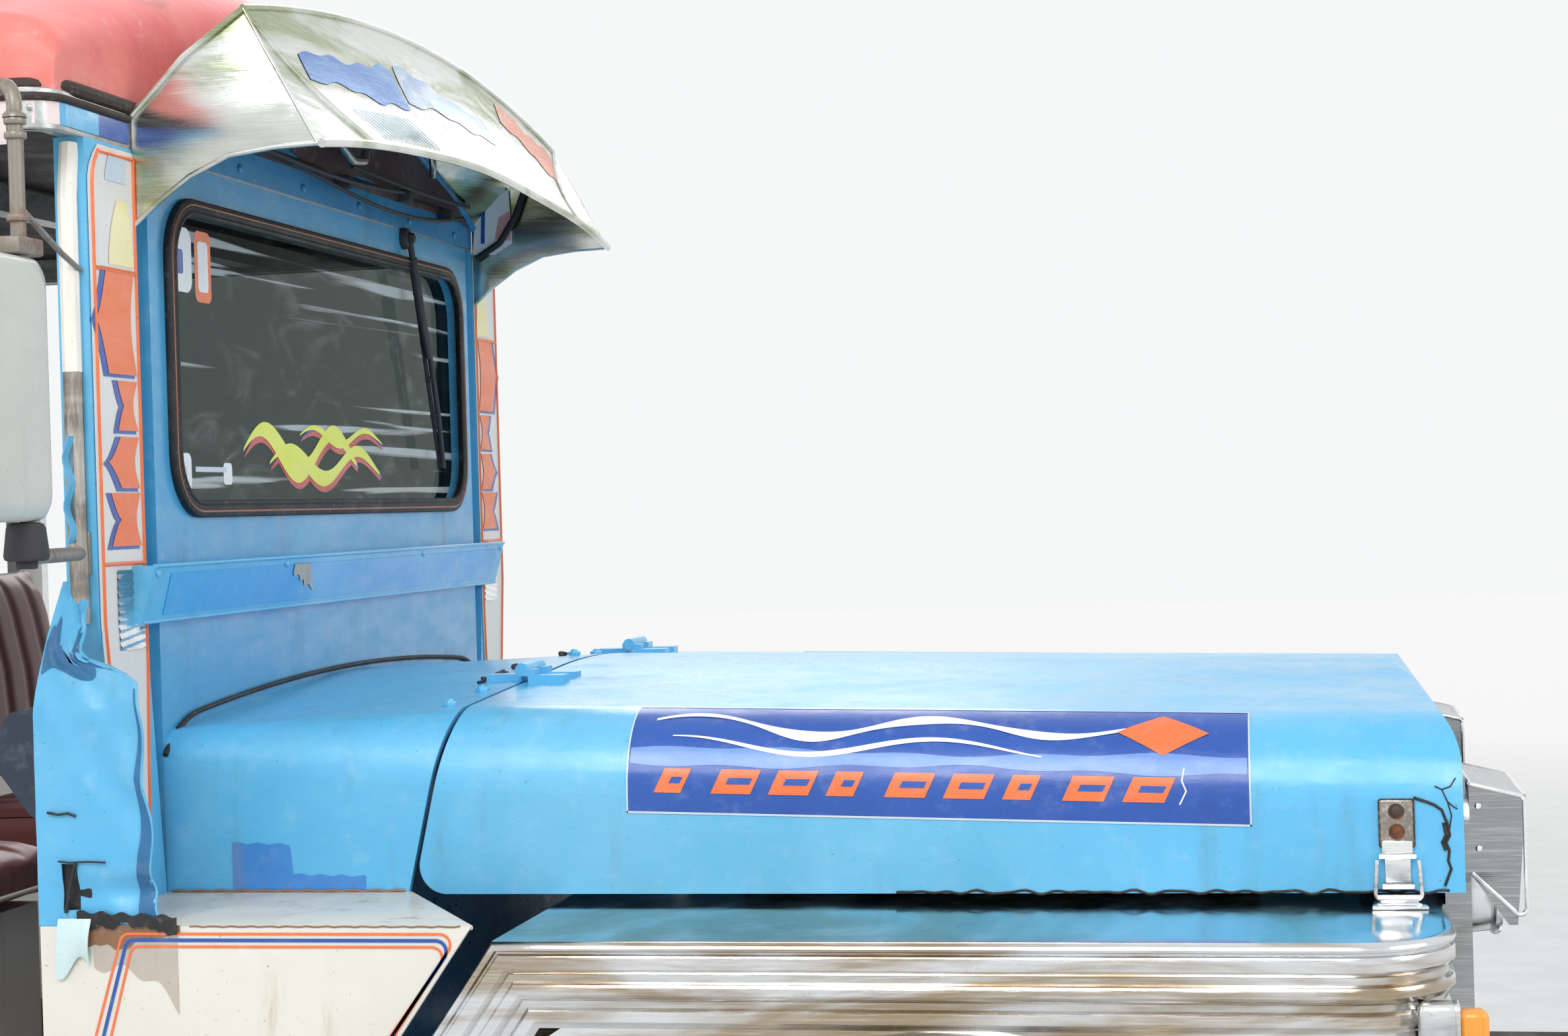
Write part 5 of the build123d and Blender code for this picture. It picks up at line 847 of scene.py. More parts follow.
def rounded(points: Sequence[Point], radius: float, closed: bool = False) -> list[Vector]:
    """Rounds the corners of a line.

    Args:
        points: Corners.
        radius: Bend radius in metres.
        closed: Whether the line closes.

    Returns:
        Points of the rounded line.
    """
    corners = [Vector(p) for p in points]
    line: list[Vector] = []
    for index, corner in enumerate(corners):
        if not closed and index in (0, len(corners) - 1):
            line.append(corner)
            continue
        before = (corners[index - 1] - corner).normalized()
        after = (corners[(index + 1) % len(corners)] - corner).normalized()
        half = before.angle(after) / 2
        reach = radius / tan(half)
        start, end = corner + before * reach, corner + after * reach
        centre = corner + (before + after).normalized() * (radius / sin(half))
        first, last = (start - centre).normalized(), (end - centre).normalized()
        line += [centre + first.slerp(last, step / 8) * radius for step in range(9)]
    return line


def window(at: float, across: Pair, up: Pair, radius: float, axis: int = 0) -> list[Vector]:
    """Rounded rectangle, on the plane x = at for axis 0 and y = at for axis 1."""
    corners = [(across[0], up[0]), (across[1], up[0]), (across[1], up[1]), (across[0], up[1])]
    return rounded([(a, at, z) if axis else (at, a, z) for a, z in corners], radius, True)


@dataclass
class Studio:
    """Camera, soft lamps, pale floor and background."""

    eye: Triple = (1.4688, -3.7829, 1.4179)
    yaw: float = 0.1884
    pitch: float = 0.0048
    roll: float = 0.0298
    lens: float = 59.47

    def camera(self) -> None:
        """Places the camera where the photograph was taken from."""
        ahead = Vector((-sin(self.yaw) * cos(self.pitch), cos(self.yaw) * cos(self.pitch), -sin(self.pitch)))
        level = Vector((cos(self.yaw), sin(self.yaw), 0))
        above = level.cross(ahead)
        right = cos(self.roll) * level - sin(self.roll) * above
        up = sin(self.roll) * level + cos(self.roll) * above
        data = bpy.data.cameras.new("camera")
        data.lens = self.lens
        data.sensor_width = 36
        data.clip_end = 200
        thing = put("camera", data)
        turn = Matrix((right, up, -ahead)).transposed().to_4x4()
        thing.matrix_world = Matrix.Translation(Vector(self.eye) + Vector((STATION, 0, 0))) @ turn
        bpy.context.scene.camera = thing

    def lamp(self, name: str, where: Point, aim: Point, size: float, power: float) -> None:
        """Adds a square soft lamp.

        Args:
            name: Its name.
            where: Its place.
            aim: Point it faces.
            size: Side in metres.
            power: Watts.
        """
        data = bpy.data.lights.new(name, "AREA")
        data.size = size
        data.energy = power
        thing = put(name, data)
        thing.location = where
        thing.rotation_euler = (Vector(aim) - Vector(where)).to_track_quat("-Z", "Y").to_euler()

    def world(self) -> None:
        """White where seen or mirrored, softer as a light."""
        world = bpy.data.worlds.new("surroundings")
        bpy.context.scene.world = world
        world.use_nodes = True
        graph = Graph(world.node_tree)
        rays = graph.add("ShaderNodeLightPath").outputs
        seen = graph.calc("MAXIMUM", rays["Is Camera Ray"], rays["Is Glossy Ray"])
        seen = graph.calc("MAXIMUM", seen, rays["Is Transmission Ray"])
        soft = graph.add("ShaderNodeBackground", {0: "#E9EEF4", 1: 0.6}).outputs[0]
        pale = graph.add("ShaderNodeBackground", {0: "#F6F7F8", 1: 1.0}).outputs[0]
        mix = graph.add("ShaderNodeMixShader", {0: seen, 1: soft, 2: pale}).outputs[0]
        graph.add("ShaderNodeOutputWorld", {0: mix})

    def floor(self) -> None:
        """Lays the pale floor."""
        data = bpy.data.meshes.new("floor_stage")
        mesh = bmesh.new()
        ops.create_grid(mesh, x_segments=1, y_segments=1, size=30)
        mesh.to_mesh(data)
        mesh.free()
        data.materials.append(BACKDROP.material())
        put("floor_stage", data)

    def build(self) -> None:
        """Sets the whole studio up."""
        self.camera()
        self.world()
        self.floor()
        self.lamp("key", (1.5, -8.0, 7.5), (1.2, 0, 1.0), 5.0, 540)
        self.lamp("front", (9.5, -3.0, 5.0), (1.5, 0, 1.0), 4.0, 230)
        self.lamp("far_side", (-1.0, 8.0, 6.5), (0, 0, 1.0), 5.0, 260)
        self.lamp("rear", (-9.0, -4.0, 5.5), (-2, 0, 1.0), 4.0, 220)
        bpy.context.scene.view_settings.view_transform = "Standard"


@dataclass
class SolidParts:
    """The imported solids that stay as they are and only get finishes."""

    nodes: dict[str, bpy.types.Object]

    def build(self) -> None:
        """Gives every node its finish."""
        table: dict[Finish, tuple[str, ...]] = {PANEL_SHADED_BLUE: ("windshield_panel",),
            BLUE: ("route_board", "cowl", "hood_panel", "front_posts", "tail_lamps"),
            WHITE: ("cab_sides", "bulkhead", "seat_boxes", "rear_frame"), INNER_BLUE: ("firewall",),
            DASH_SHADED_BLUE: ("dashboard",), STAINLESS: ("front_fenders", "visor"),
            SIDE_METAL: ("side_panels", "bench_boxes", "running_boards"), BOX_METAL: ("grille_shell",),
            ZINC: ("roof_gutters", "fuel_tank", "rear_step"), BRIGHT_TRIM: ("hood_latches", "front_bumper",
            "hand_rails"), CHASSIS_BLACK: ("chassis_frame", "front_axle", "rear_axle", "leaf_springs",
            "drive_shaft"), CASTING: ("engine_block", "knuckle_left", "knuckle_right", "tie_rod"),
            RUSTY: ("exhaust",), BLACK: ("radiator", "steering_column"), ROOF_VINYL: ("roof",),
            SEAT_VINYL: ("benches", "bench_backs", "cab_seats"), BOARDS: ("floor",),
            BLACK_PLASTIC: ("steering_wheel", "gear_lever", "wiper"), MIRROR_GREY: ("mirrors",),
            TINTED_SHADED_GLASS: ("windshield_glass",), CLEAR_LENS: ("headlamps",), AMBER_LENS: ("marker_lamps",),
            WHEEL_RED: ("rim_front_left", "rim_front_right", "rim_rear_left", "rim_rear_right"),
            TYRE_RUBBER: ("tyre_front_left", "tyre_front_right", "tyre_rear_left", "tyre_rear_right")}
        for finish, names in table.items():
            for name in names:
                data = self.nodes[name].data
                data.materials.clear()
                data.materials.append(finish.material())
        logging.info("solid parts: %d finished", len(self.nodes))


@dataclass
class FrontFenders:
    """Polished fenders with stepped bands framing a buckled side panel."""

    top_z: float = 0.930
    side_y: float = 0.950
    inner_y: float = 0.450
    front_x: float = 1.650
    corner: float = 0.120
    rear_x: float = 0.572
    slope: float = 0.70
    foot_z: float = 0.470
    arch: Triple = (1.080, 0.380, 0.440)
    bands: tuple[Pair, ...] = ((0.0, 0.012), (0.0012, 0.005), (0.004, 0.0012), (0.007, 0.0), (0.010, 0.001),
        (0.012, 0.006), (0.014, 0.0065), (0.016, 0.003), (0.020, 0.0015), (0.031, 0.0015), (0.035, 0.004),
        (0.038, 0.008), (0.046, 0.009), (0.049, 0.004), (0.053, 0.002), (0.060, 0.002), (0.065, 0.005),
        (0.068, 0.010), (0.076, 0.012), (0.080, 0.008), (0.084, 0.007), (0.092, 0.008), (0.097, 0.012),
        (0.100, 0.014))

    @property
    def flat(self) -> float:
        """Length of the flat front."""
        return self.side_y - self.corner - self.inner_y

    @property
    def turn(self) -> float:
        """Length round the front corner."""
        return self.corner * pi / 2

    def wrap(self, run: float, depth: float, z: float) -> Vector:
        """Point on the fender's upright skin.

        Args:
            run: Distance from the inner front corner, round to the side.
            depth: Distance behind the skin.
            z: Height.

        Returns:
            The point.
        """
        flat, turn = self.flat, self.turn
        if run <= flat:
            return Vector((self.front_x - depth, self.inner_y + run, z))
        if run >= flat + turn:
            return Vector((self.front_x - self.corner - (run - flat - turn), self.side_y - depth, z))
        angle = (run - flat) / self.corner
        reach = self.corner - depth
        middle_x, middle_y = self.front_x - self.corner, self.side_y - self.corner
        return Vector((middle_x + reach * cos(angle), middle_y + reach * sin(angle), z))

    def run_at(self, x: float) -> float:
        """Distance along the skin of a station on the side."""
        return self.flat + self.turn + self.front_x - self.corner - x

    def slope_x(self, inset: float, z: float) -> float:
        """Station of the rear slope's line at an inset and a height."""
        return self.rear_x + inset * hypot(1, self.slope) - (self.top_z - z) * self.slope

    def first_runs(self) -> list[float]:
        """Steps along the front and round the corner."""
        return spread(0, self.flat, 4)[:-1] + spread(self.flat, self.flat + self.turn, 10)[:-1]

    def runs(self, end: float) -> list[float]:
        """Steps along the skin up to a distance, close together round the corner."""
        start = self.flat + self.turn
        return self.first_runs() + spread(start, end, 16)

    def banded(self, u: float, v: float) -> Vector:
        """Point on the stepped bands: along them for u, inwards for v."""
        inset, depth = self.bands[round(v * (len(self.bands) - 1))]
        z = self.top_z - inset
        corner_x = self.slope_x(inset, z)
        steps = self.runs(self.run_at(corner_x))
        index = round(u * (len(steps) + 7))
        if index < len(steps):
            return self.wrap(steps[index], depth, z)
        share = (index - len(steps) + 1) / 8
        low_z = z + (self.foot_z - z) * share
        return self.wrap(self.run_at(self.slope_x(inset, low_z)), depth, low_z)

    def panel(self, u: float, v: float) -> Vector:
        """Point on the side panel inside the bands: along it for u, up for v."""
        inset, depth = self.bands[-1]
        arch_x, arch_z, radius = self.arch
        half = sqrt(radius**2 - (arch_z - self.foot_z) ** 2)
        start, steps = self.flat + self.turn, self.first_runs()
        arch_start = self.run_at(arch_x + half)
        steps += spread(start, arch_start, 3)[:-1]
        steps += [self.run_at(arch_x + half * cos(pi * i / 36)) for i in range(37)]
        rear = self.run_at(self.slope_x(inset, self.foot_z) + 0.003)
        behind = self.run_at(arch_x - half)
        steps += spread(behind, rear, 6)[1:]
        run = steps[round(u * (len(steps) - 1))]
        x = self.wrap(run, 0, 0).x
        low = self.foot_z
        if abs(x - arch_x) < half and run > start:
            low = max(low, arch_z + sqrt(max(radius**2 - (x - arch_x) ** 2, 0)))
        high = min(self.top_z - inset, self.top_z - (self.slope_x(inset, self.top_z) - x) / self.slope)
        swell = 0.003 * sin(9 * x) * sin(pi * v)
        return self.wrap(run, depth - swell, low + (high - low) * v)

    def build(self) -> None:
        """Builds both fenders."""
        shell = Shape()
        steps = len(self.runs(1.0)) + 7
        shell.sheet(self.banded, steps, len(self.bands) - 1)
        shell.sheet(self.panel, 59, 6)
        depth = self.bands[0][1]
        rim = [self.wrap(run, depth, self.top_z) for run in self.runs(self.run_at(self.rear_x))]
        shell.flat([*rim, (self.rear_x, self.inner_y, self.top_z)])
        foot_x = self.slope_x(0, self.foot_z)
        shell.flat([(self.rear_x, self.inner_y, self.top_z), (self.rear_x, self.side_y - depth, self.top_z),
            (foot_x, self.side_y - depth, self.foot_z), (foot_x, self.inner_y, self.foot_z)])
        shell.flat([(self.front_x - depth, self.inner_y, self.top_z), (self.rear_x, self.inner_y,
            self.top_z), (self.rear_x - 0.24, self.inner_y, 0.58), (self.front_x - depth, self.inner_y,
            0.58)])
        shell.weld(0.0006).thicken(0.0025).twin().piece("fender_shells", Slot.STAINLESS, FENDER_METAL,
            replaces=["front_fenders"], smooth=30)
        lip = Shape()
        arch_x, arch_z, radius = self.arch
        lip.tube(arc((arch_x, self.side_y - 0.012, arch_z), radius, 12, 168, 40), 0.009)
        lip.twin().piece("front_arch_lips", Slot.STAINLESS, BRIGHT_TRIM)


@dataclass
class Visor:
    """Polished visor over the windshield with a folded ridge, a rolled lip and hand-cut colour patches."""

    half_width: float = 0.708
    root: Triple = (0.056, 1.935, 2.085)
    ridge: Triple = (0.210, 2.062, 2.128)
    lip: Triple = (0.308, 1.888, 1.936)

    def height(self, station: Triple, y: float) -> float:
        """Height of a station's arc at a distance from the middle."""
        _, edge, crown = station
        rise = crown - edge
        radius = (self.half_width**2 + rise**2) / (2 * rise)
        return crown - radius + sqrt(radius**2 - y**2)

    def rear(self, u: float, v: float) -> Vector:
        """Point on the sheet from the root to the ridge."""
        y = self.half_width * (2 * u - 1)
        low, high = self.height(self.root, y), self.height(self.ridge, y)
        x = self.root[0] + (self.ridge[0] - self.root[0]) * v
        return Vector((x, y, low + (high - low) * v + 0.012 * sin(pi * v)))

    def front(self, u: float, v: float) -> Vector:
        """Point on the sheet from the ridge to the lip, hollow as the sheet flares out."""
        y = self.half_width * (2 * u - 1)
        high, low = self.height(self.ridge, y), self.height(self.lip, y)
        x = self.ridge[0] + (self.lip[0] - self.ridge[0]) * v
        hollow = 0.014 * sin(pi * v)
        wave = 0.003 * sin(11 * y + 2) * v
        return Vector((x - hollow * 0.8 + wave, y, high + (low - high) * v - hollow * 0.3))

    def over(self, u: float, v: float, lift: float) -> Vector:
        """Point a small lift over the front of the sheet."""
        spot = self.front(u, v)
        normal = (self.front(u + 0.004, v) - spot).cross(self.front(u, v + 0.004) - spot).normalized()
        return spot + normal * (lift if normal.x > 0 else -lift)

    def patch(self, start: Pair, end: Pair, half: float, tail: float) -> Shape:
        """Thin coat of colour laid over the front of the sheet.

        Args:
            start: Place of its first end, across and down the sheet from 0 to 1.
            end: Place of its last end.
            half: Half its height at the start.
            tail: Half its height at the end.

        Returns:
            The patch.
        """

        def place(u: float, v: float) -> Vector:
            """Point of the ragged coat."""
            reach = (half + (tail - half) * u) * (0.78 + 0.12 * sin(9 * u + 2 * v)
                + 0.10 * sin(23 * u + 5 * v))
            down = start[1] + (end[1] - start[1]) * u + (2 * v - 1) * reach
            return self.over(start[0] + (end[0] - start[0]) * u, min(0.985, max(0.012, down)), 0.0008)

        return Shape().sheet(place, 40, 16)

    def build(self) -> None:
        """Builds the sheet, its cheeks and its patches."""
        sheet = Shape()
        sheet.sheet(self.rear, 60, 8).sheet(self.front, 60, 20)
        sheet.weld(0.0004).thicken(0.003)
        cheek = [(0.054, 1.796), (0.090, 1.826), (0.133, 1.856), (0.186, 1.879), (0.245, 1.886),
            (0.304, 1.888)]
        cheek += [(0.266, 1.958), (0.240, 2.006), (0.211, 2.062), (0.130, 2.007), (0.056, 1.937)]
        for side in Side:
            outline = [(x, side.value * (self.half_width - 0.004), z) for x, z in cheek]
            sheet.slab(outline, (0, side.value * 0.004, 0), 0.001)
            sheet.tube([(x, side.value * self.half_width, z) for x, z in cheek[:6]], 0.0035)
            seam = [(x, side.value * (self.half_width + 0.001), z) for x, z in cheek[5:]]
            sheet.tube(seam[:4], 0.0022).tube(seam[3:], 0.0045)
            rib = [self.front(0.5 + side.value * (0.5 - 0.14 * i / 12), i / 12) for i in range(13)]
            sheet.tube(rib, 0.0045)
        rows = spread(0, 1, 48)
        sheet.tube([self.front(u, 1.0) for u in rows], 0.006)
        sheet.tube([self.rear(u, 1.0) + Vector((0, 0, 0.002)) for u in rows], 0.0042)
        sheet.piece("visor_sheet", Slot.STAINLESS, VISOR_METAL, replaces=["visor"], smooth=40)
        coats = self.patch((0.09, 0.40), (0.35, 0.47), 0.12, 0.20)
        coats.take(self.patch((0.36, 0.40), (0.66, 0.50), 0.18, 0.10), 1)
        coats.take(self.patch((0.74, 0.16), (0.97, 0.30), 0.10, 0.22), 2)
        coats.piece("visor_colour_patches", Slot.BLUE, VISOR_BLUE, VISOR_PALE, VISOR_ORANGE)
        # Thin bright diagonal lines raised over the front of the sheet.
        hatch = Shape()
        for index in range(14):
            first = self.over(0.16 + 0.012 * index, 0.70, 0.0010)
            last = self.over(0.20 + 0.012 * index, 0.93, 0.0010)
            hatch.tube([first, first.lerp(last, 0.5) + Vector((0.0006, 0, 0)), last], 0.0007, sides=1)
        hatch.piece("visor_bright_streaks", Slot.STAINLESS, BRIGHT_TRIM)


@dataclass
class Flare:
    """Outline of one flare that rises from the cab side's ledge to the post."""

    side: Side
    bend_z: float
    top_z: float
    reaches: Quad = (0.150, 0.130, 0.044, 0.032)
    rear_x: float = 0.010
    outer_y: float = 0.930
    inner_y: float = 0.842
    foot_z: float = 0.945

    def reach(self, z: float) -> float:
        """How far forward the flare reaches at a height."""
        foot, shoulder, neck, top = self.reaches
        stations = [(self.foot_z, foot), (self.bend_z + 0.008, shoulder),
            (self.bend_z + 0.022, shoulder - 0.03)]
        stations += [(self.bend_z + 0.036, neck + 0.006), (self.bend_z + 0.050, neck), (self.top_z, top)]
        for (low, start), (high, end) in zip(stations, stations[1:]):
            if z <= high:
                return start + (end - start) * (z - low) / (high - low)
        return top

    def skin(self, u: float, v: float) -> Vector:
        """Point on the flare: forward for u, up for v, bent over and dented."""
        z = self.foot_z + (self.top_z - self.foot_z) * v
        lean = max(0.0, (z - self.bend_z + 0.03) / (self.top_z - self.bend_z + 0.03))
        y = self.outer_y - 0.001 - (self.outer_y - self.inner_y) * lean**1.35
        buckle = 0.004 * sin(19 * z + 4 * u) * u + 0.003 * sin(43 * z + 8 * u + 1) * (0.3 + u)
        crumple = 0.009 * sin(90 * z + 11 * u) * lean * u
        pinch = 0.014 * exp(-(((z - 0.985) / 0.014) ** 2)) * u
        x = self.rear_x + self.reach(z) * u - 0.003 * (1 + sin(52 * z)) * u
        return Vector((x, self.side.value * (y - abs(buckle) - abs(crumple) - pinch), z))

    def build(self, shape: Shape) -> None:
        """Adds the flare's sheet with its torn hole, its rolled edges and its painted shade."""
        sheet = Shape().sheet(self.skin, 14, 44)
        torn = [face for face in sheet.mesh.faces if hypot((face.calc_center_median().x - 0.050) / 0.010,
            (face.calc_center_median().z - 0.992) / 0.033) < 1 and self.side is Side.RIGHT]
        ops.delete(sheet.mesh, geom=torn, context="FACES")
        sheet.thicken(0.0022 * self.side.value)
        shape.take(sheet)
        shape.tube([self.skin(1.0, v) for v in spread(0, 1, 44)], 0.0028)
        # Painted shade: a deep blue strip along the front edge, widening to the foot, and a band across the
        # upper part.
        out = Vector((0.0012, self.side.value * 0.0034, 0))
        shape.take(Shape().sheet(lambda u, v: self.skin(1 - (0.02 + 0.13 * (1 - v) ** 1.5) * (1 - u),
            0.03 + 0.66 * v) + out, 3, 30), 1)
        cap = Shape().sheet(lambda u, v: self.skin(0.02 + 0.96 * u, 0.735 + 0.02 * sin(9 * u)
            + (0.09 + 0.05 * sin(7 * u) + 0.02 * sin(29 * u)) * v) + out, 20, 6)
        shape.take(cap, 1)


@dataclass
class CabSides:
    """Lower cab walls with their ledges, and the dented flares that rise to the posts."""

    outer_y: float = 0.930
    ledge_z: float = 0.945
    sill_z: float = 0.450
    rear_x: float = 0.010
    top_x: float = 0.545

    def build(self) -> None:
        """Builds both sides."""
        side = Shape()
        foot_x = self.top_x - (self.ledge_z - self.sill_z) * 0.70
        wall = [(self.rear_x, self.sill_z), (foot_x, self.sill_z), (self.top_x, self.ledge_z),
            (self.rear_x, self.ledge_z)]
        side.slab([(x, self.outer_y - 0.006, z) for x, z in wall], (0, 0.006, 0), 0.002)
        ledge = [(self.rear_x, 0.656), (0.379, 0.656), (self.top_x, self.outer_y - 0.007),
            (self.rear_x, self.outer_y - 0.007)]
        side.slab([(x, y, self.ledge_z - 0.006) for x, y in ledge], (0, 0, 0.006), 0.002)
        side.twin().piece("cab_side_walls", Slot.WHITE, CAB_WHITE, replaces=["cab_sides"])
        flares = Shape()
        Flare(Side.LEFT, 1.030, 1.145).build(flares)
        Flare(Side.RIGHT, 1.225, 1.350).build(flares)
        flares.piece("cab_flares", Slot.BLUE, FLARE_BLUE, FLARE_PAINTED_SHADE, smooth=50, turn_out=False)
        self.damage()

    def hanging(self, place: Triple, top: Line, drop: Line, columns: int, rows: int) -> Shape:
        """Sheet that hangs from a line on the right wall.

        Args:
            place: Station of its start, its length and its distance in front of the wall.
            top: Height of the line, for a number from 0 to 1.
            drop: How far it hangs down there.
            columns: Faces along it.
            rows: Faces down it.

        Returns:
            The sheet.
        """
        start, length, proud = place
        y = -self.outer_y - proud
        return Shape().sheet(lambda u, v: (start + length * u, y, top(u) - drop(u) * v), columns, rows)

    def damage(self) -> None:
        """Builds the bent flap, cracks, sealant lines, and under the right flare a dark strip and a dark
        backing of painted shade, and brown and grey stains that also serve as painted shadow.
        """
        face = -self.outer_y
        flap = Shape().sheet(lambda u, v: (0.036 + 0.042 * u - 0.004 * v,
            face - 0.003 - 0.007 * sin(pi * v) * (0.4 + 0.6 * u), 0.954 - (0.058 + 0.014 * sin(5 * u + 1))
            * v), 12, 10)
        flap.thicken(0.0015)
        # Dark rubber strip at the flare's foot: painted shade of the gap there.
        seam = self.hanging((0.060, 0.126, 0.0046), lambda u: 0.963 - 0.006 * u + 0.002 * sin(31 * u),
            lambda u: 0.017 + 0.004 * sin(7 * u + 1) + 0.002 * sin(23 * u) + 0.0012 * sin(71 * u), 60, 2)
        flap.take(seam, 1)
        cracks = [([(0.026, 1.080), (0.040, 1.0775), (0.052, 1.079), (0.062, 1.0755)], 0.0016)]
        cracks += [([(0.038, 1.022), (0.052, 1.0205), (0.075, 1.0215), (0.098, 1.0205)], 0.0012)]
        cracks += [([(0.060, 1.019), (0.056, 1.004), (0.051, 0.985), (0.046, 0.961)], 0.0022)]
        for line, radius in cracks:
            flap.take(Shape().tube([(x, face - 0.0035, z) for x, z in line], radius, sides=1), 1)
        # Dark backing behind the torn hole: painted shade seen through it.
        dark = [(x, face + 0.006, z) for x, z in ((0.03, 0.955), (0.075, 0.955), (0.075, 1.03), (0.03, 1.03))]
        flap.take(Shape().slab(dark, (0, 0.001, 0)), 1)
        # Brown band under the flare: rust stain and painted shadow.
        stain_and_shadow = self.hanging((0.066, 0.122, 0.0008), lambda u: 0.946, lambda u: 0.020 + 0.007 * sin(5 * u)
            + 0.003 * sin(17 * u + 1) + 0.0015 * sin(43 * u), 40, 3)
        flap.take(stain_and_shadow, 2)
        # Grey run that hangs lower towards the front: grime and painted shadow on the white wall.
        run = self.hanging((0.078, 0.106, 0.0005), lambda u: 0.932, lambda u: 0.036 + 0.050 * u**3
            + 0.006 * sin(14 * u), 30, 3)
        flap.take(run, 3)
        joint = [(0.062 + 0.008 * i, -0.6685, 0.9462 + 0.0008 * sin(1.7 * i)) for i in range(40)]
        flap.take(Shape().tube(joint, 0.0022, sides=1), 2)
        lip = [(0.200 + 0.0085 * i, face - 0.0002, 0.9445 + 0.0006 * sin(2.3 * i)) for i in range(40)]
        flap.take(Shape().tube(lip, 0.0011, sides=1), 2)
        flap.piece("flare_damage", Slot.WHITE, FLAP_ENAMEL, RUBBER, BROWN_STAIN_AND_SHADOW, GREY_STAIN_AND_SHADOW)


@dataclass
class RoofCover:
    """Stretched vinyl cover over the roof, sewn across in panels, with a welt along its foot."""

    half_width: float = 0.905
    edge_z: float = 1.9405
    crown_z: float = 2.2065
    crown_radius: float = 2.400
    corner: float = 0.060
    end_radius: float = 0.110
    rear_x: float = -4.040
    front_x: float = 0.050
    panel: float = 0.58

    def section(self) -> list[Pair]:
        """Half of the cross-section as distances from the middle and heights, from the foot up."""
        drop = self.crown_radius - sqrt(self.crown_radius**2 - (self.half_width - self.corner) ** 2)
        shoulder = self.crown_z - drop - self.corner
        line = [(self.half_width, z) for z in spread(self.edge_z, shoulder, 3)[:-1]]
        for i in range(9):
            turn = radians(72 * i / 8)
            line.append((self.half_width - self.corner * (1 - cos(turn)), shoulder + self.corner * sin(turn)))
        last = line[-1][0]
        for i in range(1, 19):
            y = last * (1 - i / 18)
            top = self.crown_z - self.crown_radius + sqrt(self.crown_radius**2 - y**2)
            line.append((y, min(top, line[-1][1] + 0.02)))
        return line

    def stations(self) -> list[float]:
        """Distances of the cross-sections from the rear end."""
        length = self.front_x - self.rear_x
        turns = [self.end_radius * (1 - cos(pi * i / 16)) for i in range(9)]
        middle = [self.end_radius + (length - 2 * self.end_radius) * i / 130 for i in range(1, 130)]
        return [0.0, *turns, *middle, *[length - turn for turn in reversed(turns)], length]

    def build(self) -> None:
        """Builds the cover and its welt."""
        half = self.section()
        across = [*half, *[(-y, z) for y, z in reversed(half[:-1])]]
        along = self.stations()
        length = self.front_x - self.rear_x

        def skin(u: float, v: float) -> Vector:
            """Point on the cover: lengthwise for u, across for v."""
            index = round(u * (len(along) - 1))
            reach = along[index]
            y, z = across[round(v * (len(across) - 1))]
            if index in (0, len(along) - 1):
                return Vector((self.rear_x + reach, y, self.edge_z))
            end = min(1.0, min(reach, length - reach) / self.end_radius)
            sunk = self.end_radius * (1 - sqrt(1 - (1 - end) ** 2))
            rise = z - self.edge_z
            seam = abs(sin(pi * reach / self.panel)) ** 0.22
            puff = 0.006 * (seam - 1) * min(1.0, rise / 0.1) * min(1.0, end)
            rise = rise - sunk if rise > 2 * self.end_radius else rise * (1 - sunk / (2 * self.end_radius))
            return Vector((self.rear_x + reach, y, self.edge_z + rise + puff))

        cover = Shape().sheet(skin, len(along) - 1, len(across) - 1)
        cover.weld(0.0004).thicken(0.006)
        thing = cover.piece("roof_cover", Slot.ROOF_VINYL, ROOF_VINYL, replaces=["roof"], smooth=50)
        lining = Shape().sheet(lambda u, v: (-4.010 + 4.030 * u, 0.885 * (2 * v - 1),
            1.9425 + 0.035 * sin(pi * v) * sin(pi * u)), 60, 24)
        lining.thicken(0.003)
        lining.piece("headliner", Slot.PLASTIC, HEADLINER, smooth=60)
        foot = [(x, y, 1.9465) for x in (self.rear_x, self.front_x) for y in (-self.half_width,
            self.half_width)]
        # The welt's dark rubber also stands as painted shade of the gap under the cover's edge.
        welt = Shape().tube([foot[0], foot[2], foot[3], foot[1]], 0.0105, True, 0.05)
        welt.piece("roof_welt", Slot.PLASTIC, WELT_GAP_SHADE)


WHEELS = ((1.080, Side.LEFT, Body.FRONT_LEFT), (1.080, Side.RIGHT, Body.FRONT_RIGHT),
    (-2.600, Side.LEFT, Body.REAR_LEFT), (-2.600, Side.RIGHT, Body.REAR_RIGHT))


